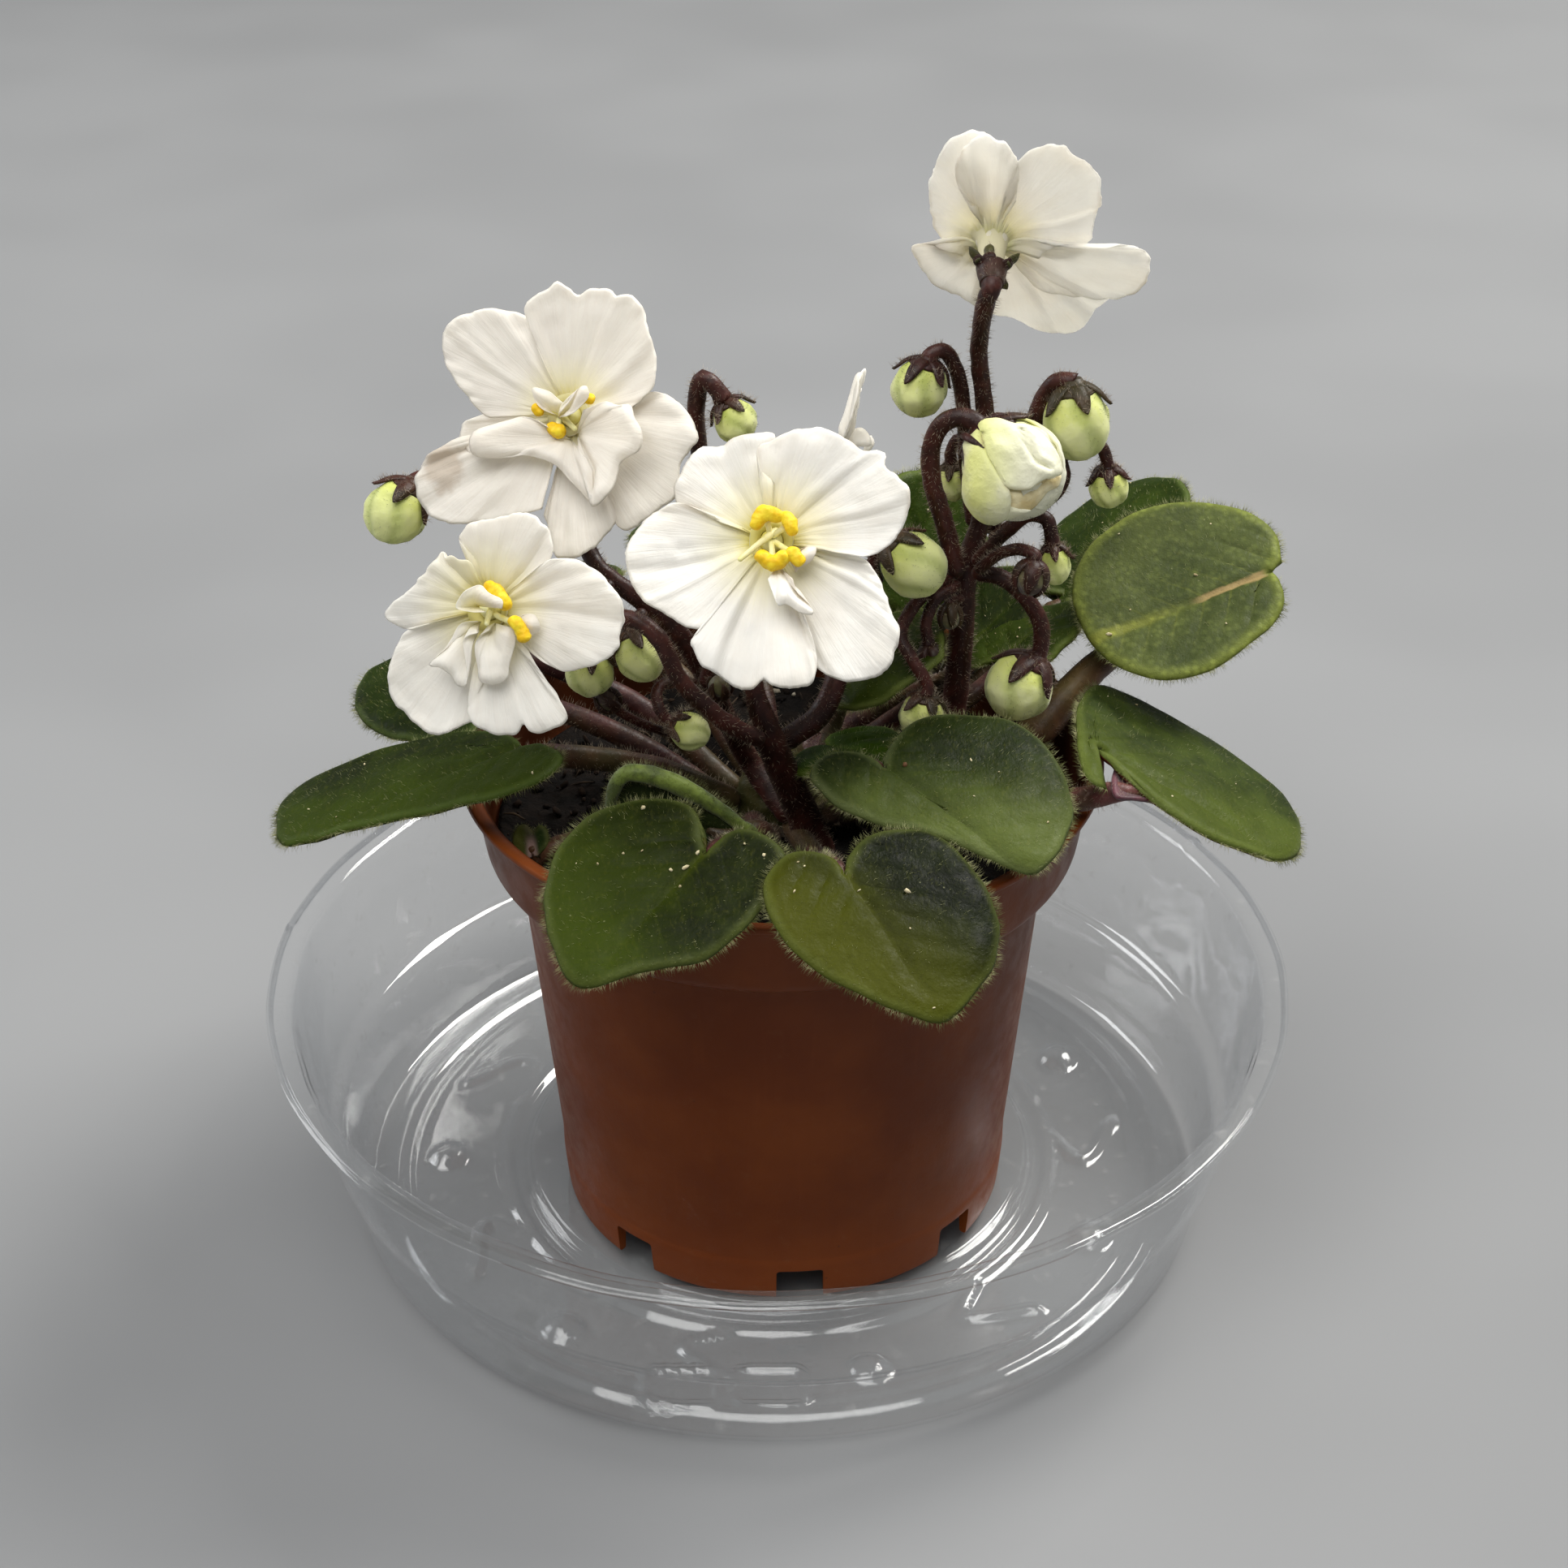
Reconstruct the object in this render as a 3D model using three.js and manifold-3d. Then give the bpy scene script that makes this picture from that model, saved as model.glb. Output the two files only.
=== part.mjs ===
// A miniature white-flowered houseplant in a small round plastic pot, standing in a clear saucer.
// Millimetres, +Z up. Origin: centre of the saucer's flat underside.
import * as THREE from 'three';
import { mergeVertices } from 'three/addons/utils/BufferGeometryUtils.js';
import Module from 'manifold-3d';

const wasm = await Module();
wasm.setup();

// ---------- driving dimensions ----------
const GAP = 0.3;                 // clearance kept between touching pieces

const POT_X = 0.65, POT_Y = -3.4; // pot axis inside the saucer
const POT_Z = 1.1;               // underside of the pot's feet
const POT_RIM_R = 35.0;          // outer radius at the rim
const POT_H = 57.2;              // height of the pot
const POT_WALL = 1.0;
const COLLAR_H = 10.3;           // depth of the band below the rim
const COLLAR_R = 33.0;           // outer radius of the band where it rounds in
const COLLAR_TOP_R = 33.7;       // outer radius of the band just under the rim flange
const WALL_TOP_R = 29.2;         // outer radius of the wall just under the band
const FOOT_R = 25.4;             // outer radius at the feet
const FLOOR_Z = 5.4;             // underside of the pot's floor above its feet
const NOTCHES = 8, NOTCH_W = 5.2, NOTCH_H = 4.8, NOTCH_TURN = 4.5; // castellated foot
const DRAIN_R = 2.4, DRAIN_RING = 15.0, DRAINS = 4;

const SAUCER_LIP_R = 58.4;       // outer radius of the flared lip
const SAUCER_H = 27.7;
const SAUCER_INNER_R = 56.0;     // where the wall turns into the lip
const SAUCER_BASE_R = 49.4;      // outer radius of the flat underside
const SAUCER_T = 0.8;            // sheet thickness

const SOIL_TOP = 49.4;           // height of the potting mix in the middle
const SOIL_DOME = 0.9;

const CROWN_R = 5.2, CROWN_Z0 = 49.9 + 0.9, CROWN_H = 6.6;

const LEAF_T = 1.1;              // blade thickness
const PETAL_T = 0.9;             // corolla thickness
const TUBE_L = 4.8, TUBE_R = 2.3; // corolla tube
const STALK_SIDES = 5;

// Leaves: blade origin at the sinus (o), axis to the tip (e1), sideways (e2), up from the upper face (n),
// bow along (a) and across (b) the blade, outline (rim) in the blade's own plane, petiole centre line and radii.
const LEAVES = [
  {"name":"leaf_front_left","o":[-6.52,-34.42,64.8],"e1":[-0.6034,-0.7403,-0.2966],"e2":[0.7948,-0.5886,-0.1479],"n":[-0.0651,-0.325,0.9435],"a":-0.005,"b":-0.005,"rim":[[-1.18,-1.56],[-2.92,-3.16],[-3.91,-5.22],[-2.5,-9.36],[1.3,-12.64],[6.8,-13.4],[12.28,-10.87],[16.37,-6.57],[18.9,-1.67],[18.08,0.23],[13.79,3.87],[9.69,7.62],[3.37,8.67],[-0.2,7.91],[-4.45,6.45],[-5.05,3.16],[-3.89,0.5],[-1.86,0.16]],"pet":[[-2.31,-8.96,52.5],[-4.5,-22.0,57.5],[-5.53,-32.88,64.02],[-7.45,-35.44,63.85]],"pr":[1.3,1.25,1.2,1.15]},
  {"name":"leaf_front","o":[7.03,-37.31,64.3],"e1":[0.5082,-0.7794,-0.3665],"e2":[0.853,0.5142,0.0893],"n":[0.1189,-0.358,0.9261],"a":-0.005,"b":-0.005,"rim":[[-1.38,0.09],[-3.19,-0.87],[-4.47,-3.36],[-3.47,-6.7],[-1.18,-8.49],[3.16,-9.19],[7.68,-8.22],[13.8,-4.58],[18.17,0.6],[16.82,4.99],[14.42,8.88],[10.57,11.55],[3.82,12.19],[-0.69,10.97],[-2.69,6.41],[-2.64,3.51],[-1.26,1.24]],"pet":[[1.96,-9.56,52.0],[5.0,-24.0,56.5],[6.11,-35.67,63.65],[7.78,-38.38,63.25]],"pr":[1.3,1.25,1.2,1.15]},
  {"name":"leaf_front_right","o":[11.13,-22.55,67.5],"e1":[0.7335,-0.6504,-0.1974],"e2":[0.6791,0.7135,0.1723],"n":[0.0288,-0.2605,0.9651],"a":-0.005,"b":-0.005,"rim":[[-1.07,0.08],[-2.99,-0.13],[-5.06,-1.54],[-5.71,-4.13],[-4.41,-6.02],[-1.1,-7.08],[3.68,-6.3],[9.63,-3.24],[16.82,-0.4],[19.3,1.08],[18.85,6.1],[16.05,11.08],[10.87,14.51],[4.68,15.37],[0.05,11.64],[-2.23,7.18],[-1.64,3.34],[-0.83,1.3]],"pet":[[4.87,-8.08,52.5],[8.2,-16.5,60.0],[9.99,-21.23,66.54],[12.29,-23.46,66.7]],"pr":[1.3,1.25,1.2,1.15]},
  {"name":"leaf_right_round","o":[54.32,8.0,74.21],"e1":[-0.9073,-0.3506,-0.2324],"e2":[0.4136,-0.844,-0.3415],"n":[-0.0764,-0.4059,0.9107],"a":0.002,"b":0.002,"rim":[[-1.61,-0.69],[-3.1,-5.06],[-0.69,-9.83],[4.52,-13.37],[9.22,-14.12],[15.33,-12.55],[18.98,-9.81],[21.42,-5.9],[22.26,-1.28],[21.59,3.39],[18.81,7.31],[13.78,8.87],[8.33,7.95],[2.64,5.81],[0.49,3.48],[0.05,1.14]],"pet":[[6.81,-2.09,52.5],[27.15,-2.0,58.68],[31.69,1.5,61.99],[36.29,5.0,64.95],[44.35,8.5,67.84],[50.89,7.65,70.92],[53.82,7.99,73.62]],"pr":[2.2,2.05,1.9,1.75,1.6,1.45,1.3]},
  {"name":"leaf_right_low","o":[33.58,-15.39,65.5],"e1":[0.8958,-0.2302,-0.3802],"e2":[0.2198,0.9729,-0.0714],"n":[0.3863,-0.0196,0.9221],"a":-0.004,"b":-0.004,"rim":[[2.38,-6.77],[0.4,-6.58],[-1.58,-3.09],[-2.6,1.72],[-3.23,8.76],[-1.55,16.15],[2.81,17.61],[8.9,17.61],[16.24,17.11],[22.19,15.26],[24.37,8.24],[23.86,2.51],[20.59,-1.61],[14.91,-4.68],[10.03,-4.78],[6.03,-3.68],[2.81,-2.44]],"pet":[[6.57,-5.55,51.6],[17.0,-11.0,57.0],[31.1,-17.8,60.65],[33.34,-18.6,61.63],[35.09,-19.8,62.85],[37.85,-19.49,63.3]],"pr":[1.5,1.42,1.34,1.26,1.18,1.1]},
  {"name":"leaf_left_long","o":[-26.11,-15.24,65.5],"e1":[-0.9389,-0.2498,-0.2367],"e2":[0.2334,-0.9677,0.0952],"n":[-0.2528,0.0342,0.9669],"a":-0.003,"b":-0.004,"rim":[[0.56,-2.83],[2.71,-6.39],[6.41,-10.17],[11.74,-13.13],[18.3,-14.64],[23.59,-15.0],[26.1,-13.13],[27.27,-8.53],[26.94,-1.72],[24.97,-0.57],[20.59,1.98],[13.65,4.71],[5.25,7.99],[0.45,8.02],[-2.44,6.48],[-3.51,4.45],[-1.9,0.89]],"pet":[[-5.19,-5.76,53.5],[-13.0,-8.5,59.0],[-24.37,-14.91,64.6],[-27.48,-15.66,64.64]],"pr":[1.4,1.33,1.27,1.2]},
  {"name":"leaf_left_back","o":[-31.59,2.0,62.12],"e1":[-0.9804,0.1522,-0.1254],"e2":[-0.1326,-0.9795,-0.1516],"n":[-0.1459,-0.132,0.9805],"a":-0.005,"b":-0.005,"rim":[[0.87,-2.14],[3.05,-6.11],[8.32,-9.63],[13.32,-9.77],[16.31,-6.86],[16.35,-1.79],[13.78,2.91],[9.57,6.15],[4.99,7.53],[0.6,6.45],[-0.33,2.3]],"pet":[[-5.65,-3.18,51.6],[-14.0,-2.0,57.5],[-24.0,0.5,61.0],[-29.93,1.94,61.03],[-33.08,2.31,61.43]],"pr":[1.3,1.25,1.2,1.15,1.1]},
  {"name":"leaf_back_upright","o":[18.9,20.0,63.15],"e1":[-0.2807,0.2321,0.9313],"e2":[-0.6394,-0.7689,-0.0011],"n":[0.7159,-0.5958,0.3642],"a":-0.005,"b":-0.005,"rim":[[0.08,1.78],[0.86,4.8],[2.47,7.17],[5.5,8.66],[9.24,8.21],[13.2,5.71],[15.82,2.07],[16.25,-1.47],[14.79,-6.57],[11.72,-9.67],[7.65,-9.76],[3.47,-7.37],[0.59,-4.24],[-0.27,-1.75]],"pet":[[3.61,2.16,51.8],[10.0,9.0,57.0],[18.39,20.43,61.28],[18.09,20.67,64.46]],"pr":[1.4,1.33,1.27,1.2]},
  {"name":"leaf_back_right","o":[31.72,18.0,65.23],"e1":[0.7507,0.3016,0.5878],"e2":[-0.3416,0.9388,-0.0454],"n":[-0.5655,-0.1667,0.8077],"a":-0.005,"b":-0.005,"rim":[[-0.17,1.97],[0.63,5.65],[2.87,9.77],[5.88,12.9],[9.12,13.67],[12.71,13.26],[17.89,10.02],[20.3,5.77],[19.56,0.87],[16.48,-3.98],[11.11,-7.54],[5.82,-7.45],[2.13,-4.77],[0.23,-2.22]],"pet":[[5.61,0.48,52.2],[15.0,7.0,58.0],[24.0,13.0,62.5],[31.33,17.76,63.3],[33.2,18.57,65.77]],"pr":[1.4,1.35,1.3,1.25,1.2]},
  {"name":"leaf_inner_right","o":[21.73,10.0,64.29],"e1":[0.6881,0.4114,0.5977],"e2":[-0.5265,0.8499,0.0212],"n":[-0.4993,-0.3292,0.8014],"a":-0.005,"b":-0.005,"rim":[[0.08,1.39],[1.14,4.03],[3.54,6.79],[6.89,7.26],[9.72,5.09],[10.38,1.1],[8.57,-1.93],[5.76,-3.79],[2.92,-3.37],[0.65,-1.74]],"pet":[[3.83,-0.22,56.0],[13.0,4.5,60.5],[21.34,9.81,62.35],[23.08,10.82,64.84]],"pr":[1.1,1.03,0.97,0.9]},
  {"name":"leaf_behind_front","o":[-5.0,-24.3,60.7],"e1":[-0.9865,0.0255,0.1616],"e2":[-0.1628,-0.2494,-0.9546],"n":[0.0159,-0.9681,0.2502],"a":0.0,"b":-0.004,"rim":[[-1.52,-1.21],[-1.13,-1.73],[0.94,-3.16],[3.69,-4.47],[6.7,-5.45],[8.96,-5.66],[10.92,-5.24],[11.91,-3.9],[12.35,-1.67],[11.58,1.05],[8.78,3.24],[5.03,3.8],[2.18,2.64],[0.77,1.42]],"pet":[[-0.44,-9.6,51.4],[-0.8,-16.5,54.5],[-1.6,-22.2,59.8],[-4.44,-24.37,60.41],[-6.38,-24.26,60.93]],"pr":[1.2,1.12,1.05,0.98,0.9]},
  {"name":"leaf_inner_low","o":[24.5,3.0,66.0],"e1":[0.7093,0.6305,0.3152],"e2":[-0.5807,0.7761,-0.2456],"n":[-0.3995,-0.0089,0.9167],"a":-0.006,"b":-0.006,"rim":[[-1.02,-0.78],[-1.9,-2.22],[-1.52,-4.0],[0.38,-5.44],[3.05,-6.0],[5.84,-5.78],[8.63,-4.56],[10.91,-2.67],[12.18,-1.11],[12.69,0.0],[12.18,1.11],[10.91,2.67],[8.63,4.56],[5.84,5.78],[3.05,6.0],[0.38,5.44],[-1.52,4.0],[-1.9,2.22],[-1.02,0.78]],"pet":[[6.95,-3.18,51.4],[14.0,-1.5,57.5],[23.96,2.07,64.34],[25.83,4.01,66.05]],"pr":[1.1,1.03,0.97,0.9]},
  {"name":"leaf_inner_front","o":[5.5,-9.0,62.0],"e1":[0.7326,-0.641,0.2289],"e2":[0.6585,0.7526,0.0],"n":[-0.1723,0.1508,0.9734],"a":-0.006,"b":-0.006,"rim":[[-0.87,-0.84],[-1.64,-2.41],[-1.31,-4.33],[0.33,-5.9],[2.62,-6.5],[5.02,-6.26],[7.43,-4.94],[9.39,-2.89],[10.48,-1.2],[10.92,0.0],[10.48,1.2],[9.39,2.89],[7.43,4.94],[5.02,6.26],[2.62,6.5],[0.33,5.9],[-1.31,4.33],[-1.64,2.41],[-0.87,0.84]],"pet":[[2.9,-7.3,56.6],[4.63,-8.23,60.39],[6.76,-10.1,61.88]],"pr":[0.9,0.85,0.8]},
  {"name":"leaf_inner_up","o":[9.0,-2.0,69.0],"e1":[0.693,-0.6064,0.3898],"e2":[0.4728,0.7906,0.3892],"n":[-0.5442,-0.0854,0.8346],"a":-0.006,"b":-0.006,"rim":[[-0.92,-0.97],[-1.73,-2.78],[-1.39,-5.0],[0.35,-6.81],[2.77,-7.5],[5.31,-7.22],[7.85,-5.69],[9.93,-3.33],[11.08,-1.39],[11.54,0.0],[11.08,1.39],[9.93,3.33],[7.85,5.69],[5.31,7.22],[2.77,7.5],[0.35,6.81],[-1.39,5.0],[-1.73,2.78],[-0.92,0.97]],"pet":[[5.13,-3.79,57.2],[8.67,-0.98,67.33],[10.38,-2.93,69.21]],"pr":[1.0,0.95,0.9]},
  {"name":"leaf_small_left","o":[-25.38,-18.5,54.15],"e1":[-0.1097,0.4202,0.9008],"e2":[-0.9675,0.1625,-0.1936],"n":[-0.2277,-0.8928,0.3887],"a":0.0,"b":0.03,"rim":[[-0.13,-0.53],[0.74,-1.63],[1.83,-2.04],[2.98,-1.73],[3.29,-1.05],[2.75,-0.26],[3.4,0.38],[3.3,1.3],[2.32,1.97],[1.12,2.12],[0.22,1.69],[-0.54,0.88]],"pet":[[-4.81,-6.55,51.2],[-12.5,-12.0,51.9],[-21.09,-17.0,55.12],[-23.24,-18.0,55.05],[-24.74,-17.58,53.39],[-25.39,-17.94,54.66]],"pr":[1.0,1.0,1.0,1.0,1.0,1.0]},
  {"name":"leaf_rear_a","o":[13.0,30.0,66.0],"e1":[0.384,0.912,-0.144],"e2":[-0.9216,0.3881,0.0],"n":[0.0559,0.1327,0.9896],"a":-0.006,"b":-0.006,"rim":[[-1.67,-1.36],[-3.12,-3.89],[-2.5,-7.0],[0.62,-9.53],[5.0,-10.5],[9.58,-10.11],[14.17,-7.97],[17.92,-4.67],[20.0,-1.94],[20.83,0.0],[20.0,1.94],[17.92,4.67],[14.17,7.97],[9.58,10.11],[5.0,10.5],[0.62,9.53],[-2.5,7.0],[-3.12,3.89],[-1.67,1.36]],"pet":[[2.17,2.71,53.5],[7.5,14.0,58.5],[12.35,28.46,64.93],[13.59,31.39,65.27]],"pr":[1.3,1.23,1.17,1.1]},
  {"name":"leaf_rear_b","o":[-6.0,30.0,67.0],"e1":[-0.1467,0.9782,-0.1467],"e2":[-0.9889,-0.1483,-0.0],"n":[-0.0218,0.1451,0.9892],"a":-0.006,"b":-0.006,"rim":[[-1.64,-1.43],[-3.07,-4.07],[-2.45,-7.33],[0.61,-9.98],[4.91,-11.0],[9.4,-10.59],[13.9,-8.35],[17.58,-4.89],[19.63,-2.04],[20.45,0.0],[19.63,2.04],[17.58,4.89],[13.9,8.35],[9.4,10.59],[4.91,11.0],[0.61,9.98],[-2.45,7.33],[-3.07,4.07],[-1.64,1.43]],"pet":[[-0.23,2.84,51.8],[-2.0,14.0,58.0],[-5.75,28.34,65.93],[-6.22,31.49,66.27]],"pr":[1.3,1.23,1.17,1.1]},
  {"name":"leaf_rear_c","o":[-25.0,21.0,65.5],"e1":[-0.6046,0.7557,-0.2519],"e2":[-0.7809,-0.6247,-0.0],"n":[-0.1574,0.1967,0.9678],"a":-0.006,"b":-0.006,"rim":[[-1.59,-1.3],[-2.98,-3.7],[-2.38,-6.67],[0.6,-9.07],[4.76,-10.0],[9.13,-9.63],[13.5,-7.59],[17.07,-4.44],[19.06,-1.85],[19.85,0.0],[19.06,1.85],[17.07,4.44],[13.5,7.59],[9.13,9.63],[4.76,10.0],[0.6,9.07],[-2.38,6.67],[-2.98,3.7],[-1.59,1.3]],"pet":[[-3.05,1.7,52.8],[-11.0,12.0,59.0],[-23.89,19.61,64.62],[-25.89,22.11,64.61]],"pr":[1.3,1.23,1.17,1.1]},
  {"name":"leaf_rear_d","o":[-29.0,9.0,64.5],"e1":[-0.8418,0.477,-0.2525],"e2":[-0.493,-0.87,0.0],"n":[-0.2197,0.1245,0.9676],"a":-0.006,"b":-0.006,"rim":[[-1.43,-1.17],[-2.67,-3.33],[-2.14,-6.0],[0.53,-8.17],[4.28,-9.0],[8.2,-8.67],[12.12,-6.83],[15.32,-4.0],[17.11,-1.67],[17.82,0.0],[17.11,1.67],[15.32,4.0],[12.12,6.83],[8.2,8.67],[4.28,9.0],[0.53,8.17],[-2.14,6.0],[-2.67,3.33],[-1.43,1.17]],"pet":[[-4.91,-0.44,51.9],[-15.0,5.5,58.5],[-27.45,8.12,63.62],[-30.24,9.7,63.61]],"pr":[1.3,1.23,1.17,1.1]},
  {"name":"leaf_rear_e","o":[33.0,18.0,66.0],"e1":[0.7805,0.5854,-0.2195],"e2":[-0.6,0.8,-0.0],"n":[0.1756,0.1317,0.9756],"a":-0.006,"b":-0.006,"rim":[[-1.64,-1.36],[-3.08,-3.89],[-2.46,-7.0],[0.62,-9.53],[4.92,-10.5],[9.43,-10.11],[13.94,-7.97],[17.63,-4.67],[19.68,-1.94],[20.5,0.0],[19.68,1.94],[17.63,4.67],[13.94,7.97],[9.43,10.11],[4.92,10.5],[0.62,9.53],[-2.46,7.0],[-3.08,3.89],[-1.64,1.36]],"pet":[[6.57,-1.25,51.0],[16.0,5.0,55.5],[26.0,13.0,61.0],[31.6,16.95,65.06],[34.16,18.87,65.16]],"pr":[1.3,1.25,1.2,1.15,1.1]},
];

// Corollas: throat centre (o), plane (e1, e2), facing direction (n), cupping, and the outline of each lobe.
const FLOWERS = [
  {"name":"flower_upper_left","o":[-20.49,-8.0,99.93],"e1":[0.9545,-0.2983,0.0],"e2":[0.1636,0.5237,0.8361],"n":[-0.2494,-0.798,0.5486],"cup":0.004,"petals":[[[-10.26,-0.67],[-13.49,2.21],[-14.56,5.13],[-13.33,7.69],[-10.13,9.18],[-6.25,9.09],[-4.03,7.56]],[[-5.03,6.79],[-6.09,9.76],[-3.74,12.63],[-0.99,12.78],[1.85,13.0],[6.45,11.3],[8.3,6.65],[8.43,3.26]],[[7.99,2.72],[12.36,1.8],[14.39,-1.24],[13.91,-4.3],[12.67,-6.9],[10.07,-10.49],[7.76,-9.95]],[[7.34,-10.0],[7.01,-11.37],[4.89,-13.71],[1.87,-13.87],[-0.63,-12.37],[-3.05,-11.2],[-5.32,-8.59]],[[-4.79,-9.93],[-8.0,-12.31],[-10.95,-12.58],[-13.42,-11.0],[-14.5,-8.64],[-13.57,-5.98],[-10.51,-4.04]]]},
  {"name":"flower_centre","o":[-0.12,-20.0,91.85],"e1":[0.9981,-0.0624,0.0],"e2":[0.0374,0.5981,0.8006],"n":[-0.0499,-0.799,0.5993],"cup":0.004,"petals":[[[-8.72,3.16],[-9.58,5.05],[-8.65,7.73],[-5.93,9.43],[-3.4,10.23],[-0.39,10.64],[-1.22,7.19]],[[-1.39,7.42],[0.42,10.26],[3.59,11.12],[7.6,10.15],[10.85,8.2],[13.32,5.43],[13.59,2.24],[11.31,-0.59],[7.61,-1.52]],[[7.22,-1.53],[9.77,-1.97],[12.52,-5.79],[12.82,-9.81],[11.21,-13.05],[8.49,-13.91],[5.31,-13.42]],[[4.75,-13.35],[3.37,-14.28],[1.42,-14.74],[-2.54,-14.62],[-5.62,-12.87],[-6.87,-9.92]],[[-7.95,-8.91],[-11.56,-7.69],[-13.68,-4.56],[-14.27,-0.31],[-12.78,1.78],[-9.02,2.75]]]},
  {"name":"flower_lower_left","o":[-28.12,-22.0,85.3],"e1":[0.9247,-0.3807,0.0],"e2":[0.1455,0.3533,0.9241],"n":[-0.3519,-0.8545,0.382],"cup":0.004,"petals":[[[-3.08,4.33],[-3.92,6.21],[-3.81,7.61],[-1.97,8.72],[3.25,10.08],[6.1,8.72],[7.14,6.1]],[[7.51,6.01],[10.91,6.37],[14.45,3.83],[14.76,-0.09],[12.69,-2.64],[9.5,-4.38]],[[6.88,-4.56],[9.78,-7.06],[9.77,-9.48],[6.42,-11.2],[2.44,-11.9],[0.45,-11.47]],[[-0.03,-11.81],[-3.2,-13.24],[-6.03,-12.54],[-8.74,-9.93],[-9.71,-6.81],[-8.55,-3.97]],[[-9.13,-3.67],[-10.77,-2.72],[-10.56,-1.04],[-9.06,1.02],[-5.92,4.25],[-3.41,4.11]]]},
  {"name":"flower_top_right","o":[22.33,7.49,113.2],"e1":[-0.9986,0.0537,0.0],"e2":[-0.0189,-0.3513,0.9361],"n":[0.0503,0.9347,0.3518],"cup":0.006,"petals":[[[4.74,-1.73],[6.47,2.4],[6.52,5.43],[6.02,9.32],[3.81,11.76],[1.82,12.29],[-0.64,10.9]],[[-2.09,8.68],[-4.26,10.7],[-6.65,11.09],[-9.59,8.89],[-10.83,4.44],[-10.16,-0.72]],[[-10.63,-1.52],[-13.16,-2.11],[-16.15,-3.07],[-16.75,-5.45],[-15.7,-8.28],[-13.03,-10.15]],[[-12.57,-10.86],[-10.94,-13.43],[-8.04,-15.5],[-2.77,-12.96],[-0.59,-12.05],[1.42,-10.56]],[[2.46,-9.59],[4.63,-7.51],[6.78,-5.32],[8.32,-2.74],[6.4,-1.87],[4.73,-1.95]]]},
  {"name":"flower_behind","o":[5.82,7.0,85.61],"e1":[0.1258,0.9921,-0.0],"e2":[0.2159,-0.0274,0.976],"n":[0.9683,-0.1228,-0.2177],"cup":0.004,"petals":[[[3.99,5.6],[5.09,9.32],[3.09,12.11],[0.0,12.75],[-3.09,12.11],[-5.09,9.32],[-3.99,5.6]],[[-4.09,5.53],[-7.29,7.73],[-10.56,6.68],[-12.13,3.94],[-12.47,0.8],[-10.44,-1.96],[-6.56,-2.07]],[[-7.3,-2.44],[-10.75,-5.1],[-10.78,-8.94],[-8.39,-11.55],[-5.17,-13.01],[-1.52,-11.8],[-0.06,-7.7]],[[0.06,-7.7],[1.52,-11.8],[5.17,-13.01],[8.39,-11.55],[10.78,-8.94],[10.75,-5.1],[7.3,-2.44]],[[6.56,-2.07],[10.44,-1.96],[12.47,0.8],[12.13,3.94],[10.56,6.68],[7.29,7.73],[4.09,5.53]]]},
];

// Peduncles and flower stalks: centre line and radius at each point.
const STEMS = [
  {"name":"peduncle_right","pts":[[11.57,-2.06,50.6],[16.43,-1.5,55.49],[19.12,-1.5,61.66],[19.89,-1.0,69.41],[20.3,0.0,78.08],[21.72,1.0,83.89],[22.17,2.0,89.99],[21.82,2.5,96.21],[21.05,2.5,102.06],[21.01,1.5,106.89],[21.87,-0.93,110.04],[21.98,1.13,110.81],[22.07,2.67,111.39]],"r":[1.5,1.5,1.45,1.35,1.35,1.0,0.95,0.95,0.9,0.9,0.95,1.3,2.1]},
  {"name":"peduncle_centre","pts":[[4.62,-11.78,50.6],[2.61,-12.0,56.18],[-0.17,-14.5,65.37],[-1.97,-14.5,71.96],[-2.37,-13.0,76.85],[0.33,-12.81,86.46],[0.22,-14.57,87.78],[0.14,-15.89,88.77]],"r":[1.9,1.8,1.6,1.05,1.0,0.95,1.3,2.1]},
  {"name":"peduncle_left","pts":[[1.12,-9.29,54.0],[-2.69,-5.0,57.56],[-6.46,-6.5,66.99],[-9.71,-7.5,74.38],[-14.83,-7.5,79.53],[-18.21,-6.0,81.7],[-19.93,-3.5,85.15],[-18.25,-0.82,94.99],[-18.8,-2.57,96.2],[-19.21,-3.89,97.11]],"r":[1.3,1.25,1.15,1.1,1.0,0.95,0.95,0.95,1.3,2.1]},
  {"name":"pedicel_lower_left","pts":[[-1.79,-17.6,68.05],[-4.41,-18.8,70.28],[-6.33,-19.8,72.47],[-9.32,-21.0,76.71],[-11.31,-21.0,81.42],[-13.5,-20.0,82.89],[-17.23,-18.5,82.84],[-24.95,-14.31,81.87],[-25.72,-16.19,82.71],[-26.31,-17.6,83.34]],"r":[0.95,0.95,0.95,0.9,0.9,0.85,0.85,0.9,1.3,2.0]},
  {"name":"pedicel_behind","pts":[[1.51,-12.2,64.81],[4.5,-11.0,66.68],[6.37,-9.0,69.76],[6.22,-5.0,73.52],[4.94,0.0,78.66],[2.61,4.0,82.45],[-2.9,8.11,87.57],[-0.77,7.83,87.09],[0.83,7.63,86.74]],"r":[1.2,1.25,1.2,1.1,1.0,0.95,0.95,1.3,2.1]},
];

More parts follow.
